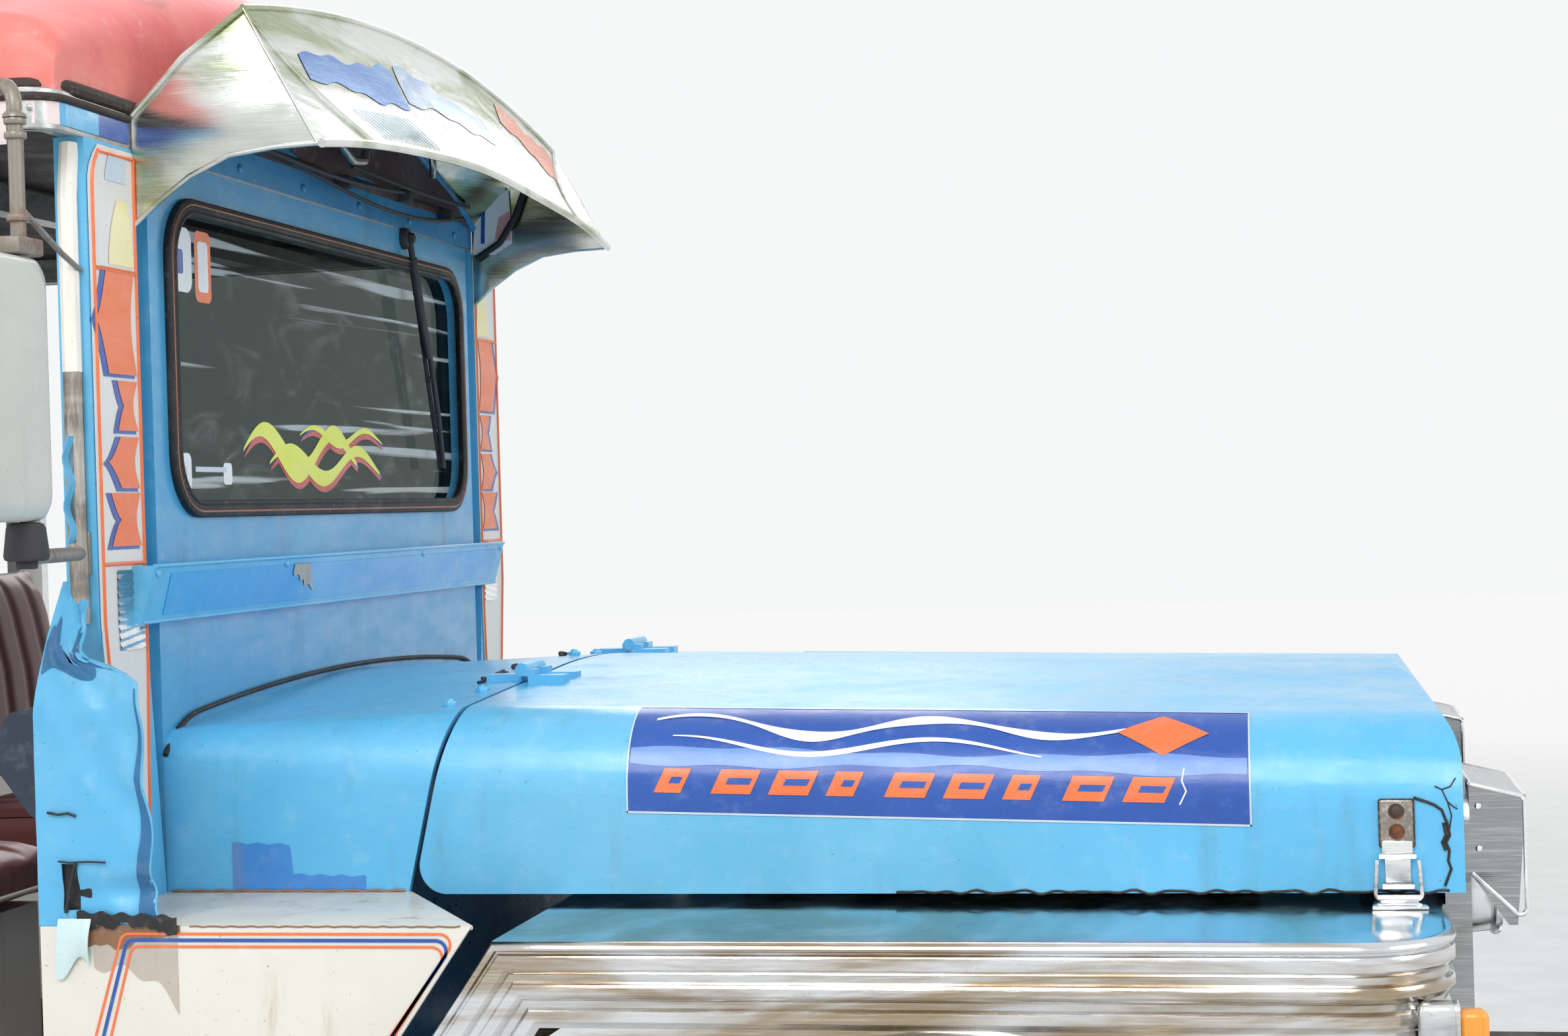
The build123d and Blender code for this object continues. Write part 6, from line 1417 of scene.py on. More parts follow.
@dataclass
class Tyres:
    """Four ribbed tyres with shoulder lugs."""

    radius: float = 0.380
    width: float = 0.190
    bead: float = 0.224
    wheel_y: float = 0.780
    steps: int = 90

    def one(self, x: float, side: Side, body: Body) -> None:
        """Builds one tyre.

        Args:
            x: Axle station.
            side: Side of the vehicle.
            body: Body it rides on.
        """
        name = body.value.removeprefix("wheel_")
        half = self.width / 2
        flank = [(0.2055, 0.074), (self.bead, 0.0745), (0.240, 0.086), (0.262, half), (0.290, half)]
        flank += [(0.322, half - 0.003), (0.346, half - 0.010), (0.362, half - 0.016), (0.3705, half - 0.026)]
        flank += [(0.3725, 0.040), (0.3735, 0.022)]
        profile = [*[(reach, -y) for reach, y in flank], (0.3738, 0.0), *reversed(flank)]
        part = Shape()
        verts = [part.mesh.verts.new((r, y, 0)) for r, y in profile]
        edges = [part.mesh.edges.new(pair) for pair in zip(verts, verts[1:])]
        ops.spin(part.mesh, geom=[*verts, *edges], axis=(0, 1, 0), angle=tau, steps=self.steps,
            use_merge=True)
        part.weld(0.0003)
        for vert in part.mesh.verts:
            reach = hypot(vert.co.x, vert.co.z)
            if reach > 0.372 and 0.018 < abs(vert.co.y) < 0.05:
                turn = round(degrees(atan2(vert.co.z, vert.co.x)) / (360 / self.steps))
                vert.co.y += 0.0065 * (1 if turn % 2 else -1)
        self.raise_blocks(part, 0.363, (0.045, 0.082), 0.0028, True)
        self.raise_blocks(part, 0.372, (0.0, 0.021), 0.003, False)
        self.raise_blocks(part, 0.3715, (0.024, 0.040), 0.003, False)
        for reach in (0.238, 0.300, 0.306, 0.334):
            for sign in (-1, 1):
                centre = (0, sign * (self.sidewall(reach) + 0.0004), 0)
                part.tube(arc(centre, reach, 0, 360, 60), 0.0016, True, sides=1)
        part.move((x, side.value * self.wheel_y, self.radius))
        part.piece("tyre_tread_" + name, Slot.TYRE, TYRE_RUBBER, body=body, replaces=["tyre_" + name],
            turn_out=False)

    def raise_blocks(self, part: Shape, reach: float, band: Pair, gap: float, single: bool) -> None:
        """Raises tread blocks out of the crown.

        Args:
            part: The tyre.
            reach: Least radius of the faces.
            band: Nearest and farthest distance from the middle.
            gap: Inset before the rise.
            single: Whether each face is a block of its own.
        """
        chosen = [face for face in part.mesh.faces if hypot(face.calc_center_median().x,
            face.calc_center_median().z) > reach and band[0] < abs(face.calc_center_median().y) < band[1]]
        inset = ops.inset_individual if single else ops.inset_region
        inset(part.mesh, faces=chosen, thickness=gap, depth=0.0)
        for vert in {vert for face in chosen for vert in face.verts}:
            vert.co += Vector((vert.co.x, 0, vert.co.z)).normalized() * 0.0060

    def sidewall(self, reach: float) -> float:
        """Half width of the carcass at a radius."""
        if reach < 0.262:
            return 0.086 + (self.width / 2 - 0.086) * (reach - 0.240) / 0.022
        if reach < 0.29:
            return self.width / 2
        return self.width / 2 - 0.010 * max(0.0, (reach - 0.29) / 0.056) ** 1.4

    def build(self) -> None:
        """Builds the four tyres."""
        for x, side, body in WHEELS:
            self.one(x, side, body)


@dataclass
class Mirrors:
    """Side mirrors with rounded backs, on masts bent back to the gutter and in to the post."""

    rows: tuple[tuple[Side, float], ...] = ((Side.LEFT, -0.100), (Side.RIGHT, 0.120))
    inner_y: float = 1.070
    mast_y: float = 1.100
    width: float = 0.190
    depth: float = 0.045
    heights: Pair = (1.425, 1.720)
    arm_heights: Pair = (1.385, 1.916)

    def outline(self, x: float, side: Side, inset: float) -> list[Vector]:
        """Rounded outline of a head, an inset inside its rim, on the plane at x."""
        low, high = self.heights[0] + inset, self.heights[1] - inset
        near, far = side.value * (self.inner_y + inset), side.value * (self.inner_y + self.width - inset)
        return window(x, (near, far), (low, high), 0.026 - inset * 0.5)

    def build(self) -> None:
        """Builds both mirrors."""
        heads, glasses, arms, knobs = Shape(), Shape(), Shape(), Shape()
        for side, front_x in self.rows:
            sign, mast_y = side.value, self.mast_y
            rear_x = front_x - self.depth
            rim = self.outline(rear_x + 0.001, side, 0.0)
            heads.stack(rim, [(1.0, (0.030, 0, 0)), (0.985, (0.006, 0, 0)), (0.95, (0.004, 0, 0)),
                (0.86, (0.003, 0, 0))])
            heads.tube(self.outline(rear_x + 0.005, side, 0.0042), 0.0040, True)
            glasses.slab(self.outline(rear_x, side, 0.010), (0.002, 0, 0))
            mast_x = front_x - self.depth / 2
            mast = (mast_x, sign * mast_y)
            low_z, high_z = self.arm_heights
            root = (front_x - 0.220, sign * 0.931, high_z)
            arms.tube([root, (*mast, high_z), (*mast, 1.700)], 0.0088, False, 0.030, 4)
            foot = (0.0343, sign * 0.841, low_z)
            arms.tube([(*mast, 1.440), (*mast, low_z), foot], 0.0088, False, 0.030, 4)
            for z in (1.735, 1.760, 1.852, 1.868):
                arms.disc((*mast, z), (0, 0, 1), 0.0125, 0.008, soft=0.002)
            arms.dome((*mast, 1.876), (0, 0, 1), 0.014, 0.010)
            arms.box((mast_x - 0.016, sign * mast_y - 0.030, 1.722), (mast_x + 0.016, sign * mast_y + 0.030,
                1.742), 0.004)
            arms.box((0.024, sign * 0.8425 - 0.0025, low_z - 0.026), (0.048, sign * 0.8425 + 0.0025,
                low_z + 0.026), 0.001)
            if side is Side.RIGHT:
                arms.tube([(mast_x, -mast_y - 0.002, 1.780), (0.050, -0.900, 1.745),
                    (0.045, -0.8425, 1.730)], 0.0036)
            arms.tube([(mast_x - 0.004, sign * (mast_y - 0.030), 1.700),
                (mast_x - 0.010, sign * (self.inner_y - 0.012), 1.650)], 0.0040)
            knob = (mast_x, sign * (mast_y + 0.004))
            knobs.disc((*knob, 1.381), (0, 0, 1), 0.026, 0.043, 0.021, soft=0.006)
            knobs.disc((*knob, 1.372), (0, 0, 1), 0.012, 0.010, soft=0.002)
        heads.piece("mirror_shells", Slot.PLASTIC, MIRROR_GREY, replaces=["mirrors"])
        glasses.piece("mirror_glasses", Slot.STAINLESS, MIRROR_GLASS)
        arms.piece("mirror_arms", Slot.RUSTY, ARM_STEEL)
        knobs.piece("mirror_knobs", Slot.PLASTIC, BLACK_PLASTIC)


@dataclass
class Hood:
    """Hood and cowl skin, with the painted panel on each side, the hinge knobs and the latches."""

    rear_x: float = 0.365
    front_x: float = 1.682
    half_width: float = 0.666
    rear: Triple = (1.168, 1.205, 0.100)
    front: Triple = (1.140, 1.176, 0.110)
    latch_x: float = 1.595
    crack_lift: float = 0.0004

    def crest(self, y: float) -> float:
        """Height of the rear edge at a distance from the middle."""
        return self.rear[0] + (self.rear[1] - self.rear[0]) * (1 - abs(y) / self.half_width)

    def at(self, x: float, run: float, proud: float = 0.0) -> Vector:
        """Point on the right side's skin.

        Args:
            x: Station.
            run: Distance round the section, from the foot of the shoulder's bend, up and then inwards.
            proud: Distance in front of the skin.

        Returns:
            The point.
        """
        share = (x - self.rear_x) / (self.front_x - self.rear_x)
        shoulder, crown, radius = [a + (b - a) * share for a, b in zip(self.rear, self.front)]
        slope = Vector((self.half_width, crown - shoulder)).normalized()
        half = (Vector((0, -1)).angle(slope)) / 2
        reach = radius / tan(half)
        middle = Vector((-self.half_width + radius, shoulder - reach))
        bend = radius * (pi - 2 * half)
        if run <= 0:
            return Vector((x, -self.half_width - proud, middle.y + run))
        if run <= bend:
            angle = pi - run / radius
            out = Vector((cos(angle), sin(angle)))
            return Vector((x, *(middle + out * (radius + proud))))
        angle = pi - bend / radius
        out = Vector((cos(angle), sin(angle)))
        return Vector((x, *(middle + out * (radius + proud) + slope * (run - bend))))

    def band(self, line: Callable[[float], Pair], half: Line, steps: int, proud: float) -> Shape:
        """Painted band along a line on the skin.

        Args:
            line: Station and run of its middle, for a number from 0 to 1.
            half: Half its width there.
            steps: Faces along it.
            proud: Distance in front of the skin.

        Returns:
            The band.
        """

        def place(u: float, v: float) -> Vector:
            """Point of the band."""
            x, run = line(u)
            return self.at(x, run + (2 * v - 1) * half(u), proud)

        return Shape().sheet(place, steps, 8)

    def decals(self) -> None:
        """Builds the dark blue panel with a pale line, a white wave and slanted orange bars."""
        start, end, low, high = 0.665, 1.428, -0.022, 0.146
        field = self.band(lambda u: (start + (end - start) * u, (low + high) / 2),
            lambda u: (high - low) / 2, 60, 0.0006)
        edge = Shape()
        for run in (low + 0.001, high - 0.001):
            edge.take(self.band(lambda u, r=run: (start + (end - start) * u, r), lambda u: 0.0012, 60,
                0.0009))
        for x in (start + 0.001, end - 0.001):
            edge.take(self.band(lambda u, s=x: (s + 0.002 * (u - 0.5), (low + high) / 2),
                lambda u: (high - low) / 2, 2, 0.0009))
        field.take(edge, 1)
        # A paler blue band along the middle of the panel, on the shoulder's bend.
        paler_band = self.band(lambda u: (start + 0.004 + (end - start - 0.008) * u, 0.050),
            lambda u: 0.010 + 0.003 * sin(9 * u) + 0.002 * sin(31 * u), 60, 0.0008)
        field.take(paler_band, 4)
        scratch = [(1.350, 0.046), (1.347, 0.030), (1.352, 0.018), (1.344, 0.002)]
        field.take(Shape().tube([self.at(x, run, 0.0013) for x, run in scratch], 0.0011, sides=1), 2)
        wave = self.band(lambda u: (0.695 + 0.60 * u, 0.099 + 0.022 * sin(12.5 * u + 0.4) * (1 - 0.5 * u)),
            lambda u: 0.0025 + 0.007 * sin(pi * u) * (0.6 + 0.4 * sin(25 * u)), 90, 0.0011)
        field.take(wave, 2)
        swash = self.band(lambda u: (0.72 + 0.46 * u, 0.067 + 0.012 * sin(9 * u + 1.4)),
            lambda u: 0.0008 + 0.003 * sin(pi * u), 60, 0.0012)
        field.take(swash, 2)
        for index in range(9):
            left = 0.700 + 0.072 * index
            width = 0.050 if index % 3 else 0.034
            bar = Shape().sheet(lambda u, v, a=left, w=width: self.at(a + w * u + 0.014 * v,
                0.004 + 0.030 * v, 0.0011), 6, 6)
            field.take(bar, 3)
            slot = Shape().sheet(lambda u, v, a=left, w=width: self.at(a + 0.014 + (w - 0.02) * u
                + 0.014 * (0.35 + 0.3 * v), 0.0155 + 0.008 * v, 0.0014), 4, 2)
            field.take(slot, 0)
        gem = Shape().sheet(lambda u, v: self.at(1.325 + (u - v) * 0.055, 0.095 + (u + v - 1) * 0.034,
            0.0012), 10, 10)
        field.take(gem, 3)
        field.twin().piece("hood_side_artwork", Slot.BLUE, DEEP_BLUE, PALE_LINE, ART_WHITE, ART_ORANGE,
            PALER_BAND_BLUE, body=Body.HOOD)

    def faded_label(self) -> None:
        """Builds the faded blank rectangle on the cowl's side."""
        label = self.band(lambda u: (0.144 + 0.178 * u, -0.108 - 0.019 * (u > 0.44)),
            lambda u: 0.036 - 0.019 * (u > 0.44) + 0.0012 * sin(40 * u), 48, 0.0006)
        label.twin().piece("cowl_faded_label", Slot.BLUE, FADED_LABEL)

    def knobs(self) -> None:
        """Builds the small bolts along the cowl's gap and the sealing strips under them."""
        bolts = Shape()
        for y in (-0.56, -0.42, -0.18, 0.05, 0.18, 0.42, 0.56):
            z = self.crest(y) - 0.004
            bolts.disc((0.405, y, z), (0, 0, 1), 0.010, 0.006, sides=6, soft=0.001)
            bolts.dome((0.405, y, z + 0.006), (0, 0, 1), 0.006, 0.004)
        bolts.piece("cowl_bolts", Slot.BLUE, BLUE)
        rows = [0.668 * (i / 40 - 1) for i in range(81)]
        drops = [0.030 * (y / 0.64) ** 2 + 0.025 * max(0.0, (abs(y) - 0.55) / 0.10) ** 2.5 for y in rows]
        line = [(0.0575, y, 1.1920 - drop) for y, drop in zip(rows, drops)]
        Shape().tube(line, 0.0036, sides=2).piece("cowl_seal", Slot.PLASTIC, RUBBER)

    def latches(self) -> None:
        """Builds the toggle latches: plate with rivets, strap, wire loop and its catch."""
        x, y = self.latch_x, -self.half_width
        plate = Shape()
        plate.take(Shape().box((x - 0.021, y - 0.003, 0.995), (x + 0.021, y, 1.053), 0.004, 3), 2)
        plate.box((x - 0.018, y - 0.006, 0.982), (x + 0.018, y - 0.0005, 1.004), 0.002)
        plate.box((x - 0.015, y - 0.0075, 0.950), (x + 0.015, y - 0.0035, 0.990), 0.0015)
        plate.tube([(x - 0.021, y - 0.0075, 0.986), (x + 0.021, y - 0.0075, 0.986)], 0.0038)
        plate.tube([(x - 0.018, y - 0.009, 0.951), (x + 0.018, y - 0.009, 0.951)], 0.0045)
        wire = rounded([(x - 0.024, y - 0.0105, 0.982), (x - 0.027, y - 0.012, 0.936),
            (x + 0.027, y - 0.012, 0.936), (x + 0.024, y - 0.0105, 0.982)], 0.007)
        plate.tube(wire, 0.0026)
        rivets = Shape()
        for z in (1.014, 1.038):
            rivets.dome((x, y - 0.003, z), (0, -1, 0), 0.0075, 0.003)
            rivets.disc((x, y - 0.0028, z), (0, -1, 0), 0.0095, 0.0008, sides=20)
        plate.take(rivets, 1)
        plate.twin().piece("latch_toggles", Slot.STAINLESS, BRIGHT_TRIM, RUSTY, LATCH_STEEL, body=Body.HOOD,
            replaces=["hood_latches"])
        catch = Shape()
        foot = [(x - 0.032, y - 0.052, 0.9305), (x + 0.032, y - 0.052, 0.9305),
            (x + 0.028, y - 0.004, 0.9305), (x - 0.028, y - 0.004, 0.9305)]
        catch.slab(foot, (0, 0, 0.0035), 0.001)
        catch.box((x - 0.022, y - 0.018, 0.9335), (x + 0.022, y - 0.0145, 0.9405), 0.001)
        catch.tube([(x - 0.024, y - 0.0165, 0.9395), (x + 0.024, y - 0.0165, 0.9395)], 0.0028)
        catch.twin().piece("latch_catches", Slot.STAINLESS, BRIGHT_TRIM)

    def wear(self) -> None:
        """Builds cracks and grime in the enamel by the latch, and blobs of sealant at the rear gap."""
        cracks = Shape()
        torn = [(1.6152, 1.0539), (1.6309, 1.0484), (1.6390, 1.0450), (1.6472, 1.0390), (1.6500, 1.0310),
            (1.6528, 1.0242)]
        torn += [(1.6553, 1.0095), (1.6510, 1.0010), (1.6545, 0.9920), (1.6530, 0.9794), (1.6560, 0.9700),
            (1.6484, 0.9500)]
        face = -self.half_width - self.crack_lift
        cracks.tube([(x, face, z) for x, z in torn], 0.0019, sides=1)
        cracks.tube([(x - 0.004, face, z) for x, z in torn[5:9]], 0.0024, sides=1)
        long = ((0.008, -0.004), (0.006, -0.014), (0.004, -0.016), (-0.003, -0.018))
        short, last = ((0.010, 0.004), (0.006, 0.010)), ((0.007, -0.006), (0.004, -0.002))
        for x, run, steps in ((1.640, 0.030, long), (1.648, 0.026, short), (1.654, 0.012, last)):
            line = [self.at(x, run, self.crack_lift)]
            for along, up in steps:
                x, run = x + along, run + up
                line.append(self.at(x, run, self.crack_lift))
            cracks.tube(line, 0.0009, sides=1)
        edge = [(1.000 + 0.0066 * i, face, 0.9436 + 0.0020 * sin(5.3 * i) * sin(0.31 * i)
            + 0.0012 * sin(0.9 * i)) for i in range(100)]
        cracks.tube(edge, 0.0017, sides=1)
        cracks.piece("hood_cracks", Slot.PLASTIC, RUBBER, body=Body.HOOD)
        jagged = Shape()
        for y, width in ((-0.30, 0.055), (-0.22, 0.040), (-0.15, 0.030), (0.10, 0.036), (0.30, 0.05)):
            lift = self.crest(y) + 0.0006
            line = [(0.372 + 0.004 * sin(5 * i + 30 * y), y + width * (i / 8 - 0.5),
                lift - 0.0012 * abs(i - 4)) for i in range(9)]
            jagged.tube(line, 0.0026, sides=1)
        jagged.piece("hood_gap_sealant", Slot.PLASTIC, RUBBER)

    def build(self) -> None:
        """Builds everything on the hood."""
        self.wear()
        self.decals()
        self.faded_label()
        self.knobs()
        self.latches()


@dataclass
class Windshield:
    """Rubber gasket, painted line, stickers, route board face and wiper."""

    face_x: float = 0.054
    low_z: float = 1.425
    high_z: float = 1.850
    half_width: float = 0.621
    glass_x: float = 0.0373
    board: Quad = (1.293, 1.366, 0.0668, 0.0192)

    def outline(self, proud: float, inset: float, radius: float) -> list[Vector]:
        """Rounded outline of the opening, so far in front of the panel and inside the rim."""
        half, heights = self.half_width - inset, (self.low_z + inset, self.high_z - inset)
        return window(self.face_x + proud, (-half, half), heights, radius)

    def gasket(self) -> None:
        """Builds the gasket and the thin line round it."""
        inner = self.outline(-0.002, 0.022, 0.066)
        seal = Shape().ring(self.outline(-0.002, 0.0, 0.085), inner, (0.012, 0, 0), 0.004)
        seal.tube(self.outline(0.007, 0.019, 0.068), 0.0045, True)
        seal.take(Shape().tube(self.outline(0.0095, 0.008, 0.078), 0.0014, True, sides=1), 1)
        seal.piece("windshield_gasket", Slot.PLASTIC, RUBBER, ART_BROWN)

    def stickers(self) -> None:
        """Builds blank permit stickers and a plain painted swoosh."""
        sheet = Shape()
        for y, end_y, z, end_z, look, proud in ((-0.575, -0.492, 1.728, 1.815, 0, 0.0),
                (-0.545, -0.520, 1.752, 1.785, 3, 0.0002), (-0.482, -0.428, 1.718, 1.815, 1, 0.0),
                (-0.472, -0.438, 1.732, 1.801, 0, 0.0002), (-0.575, -0.512, 1.462, 1.512, 0, 0.0),
                (-0.560, -0.527, 1.470, 1.495, 4, 0.0002), (-0.405, -0.375, 1.470, 1.500, 0, 0.0),
                (-0.500, -0.395, 1.487, 1.494, 4, 0.0004)):
            part = Shape()
            part.flat(window(self.glass_x + proud, (y, end_y), (z, end_z), min(end_y - y, end_z - z) * 0.22))
            sheet.take(part, look)
        strokes = (-0.335, 0.120, 1.520, 0.030, 0.034), (-0.240, 0.225, 1.502, 0.022, 0.024)
        strokes += ((-0.120, 0.240, 1.545, 0.012, 0.012),)
        for lift, look, across, up in ((0.0, 3, 0.010, -0.005), (0.0006, 5, 0.005, -0.009),
                (0.0012, 2, 0.0, 0.0)):
            for order, (start, end, height, sag, width) in enumerate(strokes):
                place = (start + across, height + up), (end + across, height + up)
                sheet.take(self.stroke(*place, width, sag, lift + 0.00015 * order), look)
        sheet.piece("glass_stickers", Slot.WHITE, ART_WHITE, ART_ORANGE, ART_YELLOW, DEEP_BLUE, PALE_LINE,
            ART_RED)

    def stroke(self, start: Pair, end: Pair, width: float, sag: float, lift: float) -> Shape:
        """Curved brush stroke with pointed ends, on the glass.

        Args:
            start: First y and z.
            end: Last y and z.
            width: Its full width in the middle.
            sag: Height of its waves.
            lift: Distance in front of the other stickers.

        Returns:
            The stroke.
        """

        def place(u: float, v: float) -> Point:
            """Point of the stroke."""
            half = width * sin(pi * (0.04 + 0.93 * u)) ** 0.8
            y = start[0] + (end[0] - start[0]) * u + (v - 0.5) * half * 0.5
            z = start[1] + (end[1] - start[1]) * u + sag * sin(1.6 * tau * u) + (v - 0.5) * half
            return (self.glass_x + 0.0003 + lift, y, z)

        return Shape().sheet(place, 40, 3)

    def route_board(self) -> None:
        """Builds the blank painted face of the route board with its folded edges."""

        def face(y: float, z: float, proud: float) -> Vector:
            """Point in front of the leaning board."""
            low, high, foot_x, lean = self.board
            return Vector((foot_x + lean * (z - low) / (high - low) + proud, y, z))

        panel = Shape().sheet(lambda u, v: face(-0.690 + 1.40 * u, 1.3025 + 0.052 * v, 0.0012), 40, 2)
        panel.thicken(0.0008)
        bare = Shape().sheet(lambda u, v: face(-0.272 + 0.060 * u + (0.030 + 0.008 * sin(7 * u)) * v * u,
            1.3545 - (0.012 + 0.026 * u + 0.003 * sin(21 * u)) * v, 0.0026), 24, 8)
        panel.take(bare, 2)
        edge = Shape()
        edge.tube([face(-0.744, 1.3655, 0.0), face(0.744, 1.3655, 0.0)], 0.0028)
        edge.tube([face(-0.744, 1.2945, 0.0), face(0.744, 1.2945, 0.0)], 0.0024)
        panel.take(edge, 1)
        for y in (-0.73, -0.3, 0.3, 0.73):
            panel.take(Shape().dome(face(y, 1.357, 0.0), (1, 0, 0.2), 0.006, 0.003), 1)
        panel.piece("route_board_face", Slot.BLUE, BOARD_BLUE, BLUE, GREY_STAIN_AND_SHADOW)

    def wiper(self) -> None:
        """Builds the wiper: motor cap, arm, spring tube and blade."""
        pivot, tip = Vector((0.066, 0.330, 1.880)), Vector((0.066, 0.455, 1.554))
        wiper = Shape()
        wiper.disc((0.054, 0.330, 1.880), (1, 0, 0), 0.019, 0.012, 0.016, 24, 0.002)
        wiper.disc((0.066, 0.330, 1.880), (1, 0, 0), 0.010, 0.009, 0.008, 6, 0.001)
        wiper.tube([pivot, pivot.lerp(tip, 0.45), pivot.lerp(tip, 0.6) + Vector((0.002, 0, 0))], 0.0055)
        wiper.tube([pivot.lerp(tip, 0.1), pivot.lerp(tip, 0.42)], 0.008)
        high, low = Vector((0.064, 0.372, 1.800)), Vector((0.064, 0.478, 1.500))
        wiper.tube([high, high.lerp(low, 0.3) + Vector((0.004, 0, 0)), high.lerp(low, 0.7)
            + Vector((0.004, 0, 0)), low], 0.0045)
        wiper.tube([high - Vector((0.006, 0, 0)), low - Vector((0.006, 0, 0))], 0.0035)
        for share in (0.02, 0.3, 0.5, 0.7, 0.98):
            spot = high.lerp(low, share)
            wiper.box(spot - Vector((0.009, 0.005, 0.005)), spot + Vector((0.003, 0.005, 0.005)), 0.0015)
        wiper.piece("wiper_arm_and_blade", Slot.PLASTIC, BLACK_PLASTIC, replaces=["wiper"])

    def build(self) -> None:
        """Builds all of it."""
        self.gasket()
        self.stickers()
        self.route_board()
        self.wiper()


@dataclass
class Header:
    """Painted board over the windshield under the visor, with its maroon lining, wires and clips."""

    face_x: float = 0.0555
    low_z: float = 1.896
    half_width: float = 0.700

    def build(self) -> None:
        """Builds the board and what hangs on it."""
        arch = Visor()

        def face(u: float, v: float) -> Point:
            """Point of the board."""
            y = self.half_width * (2 * u - 1)
            return (self.face_x, y, self.low_z + (arch.height(arch.root, y) - 0.002 - self.low_z) * v)

        board = Shape().sheet(face, 30, 4)
        board.thicken(0.0015)
        board.tube([Vector(face(u / 40, 1.0)) + Vector((0.003, 0, -0.003)) for u in range(41)], 0.007)

        def cloth(u: float, v: float) -> Point:
            """Point of the hanging lining."""
            y = -0.30 + 0.985 * u
            foot = 1.956 - 0.014 * u + 0.010 * sin(17 * u) + 0.22 * max(0.0, 0.06 - u)
            return (self.face_x + 0.004 + 0.003 * sin(23 * u), y, foot + (arch.height(arch.root, y) - 0.003
                - foot) * v)

        lining = Shape().sheet(lambda u, v: arch.rear(0.16 + 0.62 * u, 0.06 + 0.90 * v)
            - Vector((0, 0, 0.0065)), 40, 6)
        lining.sheet(cloth, 50, 5)
        lining.thicken(0.002)
        hose = [(0.085, -0.06, 2.040), (0.090, -0.05, 1.985), (0.095, -0.01, 1.965), (0.092, 0.05, 1.972),
            (0.080, 0.09, 1.990)]
        hooks = Shape().tube(hose, 0.007, False, 0.018)
        hooks.tube([(0.100, 0.34, 2.060), (0.104, 0.35, 2.000), (0.096, 0.37, 1.986)], 0.006, False, 0.014)
        hooks.piece("visor_hose_hooks", Slot.GALVANIZED, STAINED_TRIM)
        lining.piece("visor_lining", Slot.SEAT_VINYL, MAROON, smooth=40)
        cheek = Shape()
        # The small pink patch on the cheek is a painted reflection.
        for shape, look in (([(0.058, 1.886), (0.100, 1.884), (0.132, 1.903), (0.128, 2.000),
                (0.066, 1.985)], 0), ([(0.100, 1.912), (0.130, 1.908), (0.129, 1.962), (0.108, 1.950)], 1),
                ([(0.074, 1.905), (0.081, 1.905), (0.084, 1.975), (0.077, 1.978)], 2)):
            cheek.take(Shape().slab([(x, 0.7005 - 0.0008 * look, z) for x, z in shape], (0, 0.0012, 0)), look)
        rim = [(0.160, 2.000), (0.140, 1.950), (0.110, 1.905), (0.066, 1.878)]
        cheek.take(Shape().tube([(x, 0.698, z) for x, z in rim], 0.006, False, 0.02), 3)
        cheek.piece("visor_cheek_patches", Slot.WHITE, ART_WHITE, CHEEK_PINK_REFLECTION, DEEP_BLUE, RUBBER)
        for y in (-0.60, -0.36, -0.12, 0.12, 0.36, 0.60):
            board.dome((self.face_x + 0.001, y, 1.912), (1, 0, 0), 0.006, 0.003)
        # The board's darker blue is painted shade from the visor above.
        board.piece("visor_header", Slot.BLUE, HEADER_SHADED_BLUE)
        wires = Shape()
        for drop, start, end, lift in ((0.020, -0.45, 0.30, 1.952), (0.034, -0.20, 0.60, 1.940),
                (0.012, 0.05, 0.64, 1.965)):
            line = [(0.072 + 0.020 * sin(pi * i / 24), start + (end - start) * i / 24,
                lift - drop * sin(pi * i / 24)) for i in range(25)]
            wires.tube(line, 0.0035, sides=2)
        for y, z in ((0.02, 1.935), (0.30, 1.945), (0.52, 1.935)):
            wires.box((0.056, y - 0.010, z - 0.008), (0.082, y + 0.010, z + 0.012), 0.003)
        wires.piece("header_wires", Slot.PLASTIC, BLACK_PLASTIC)


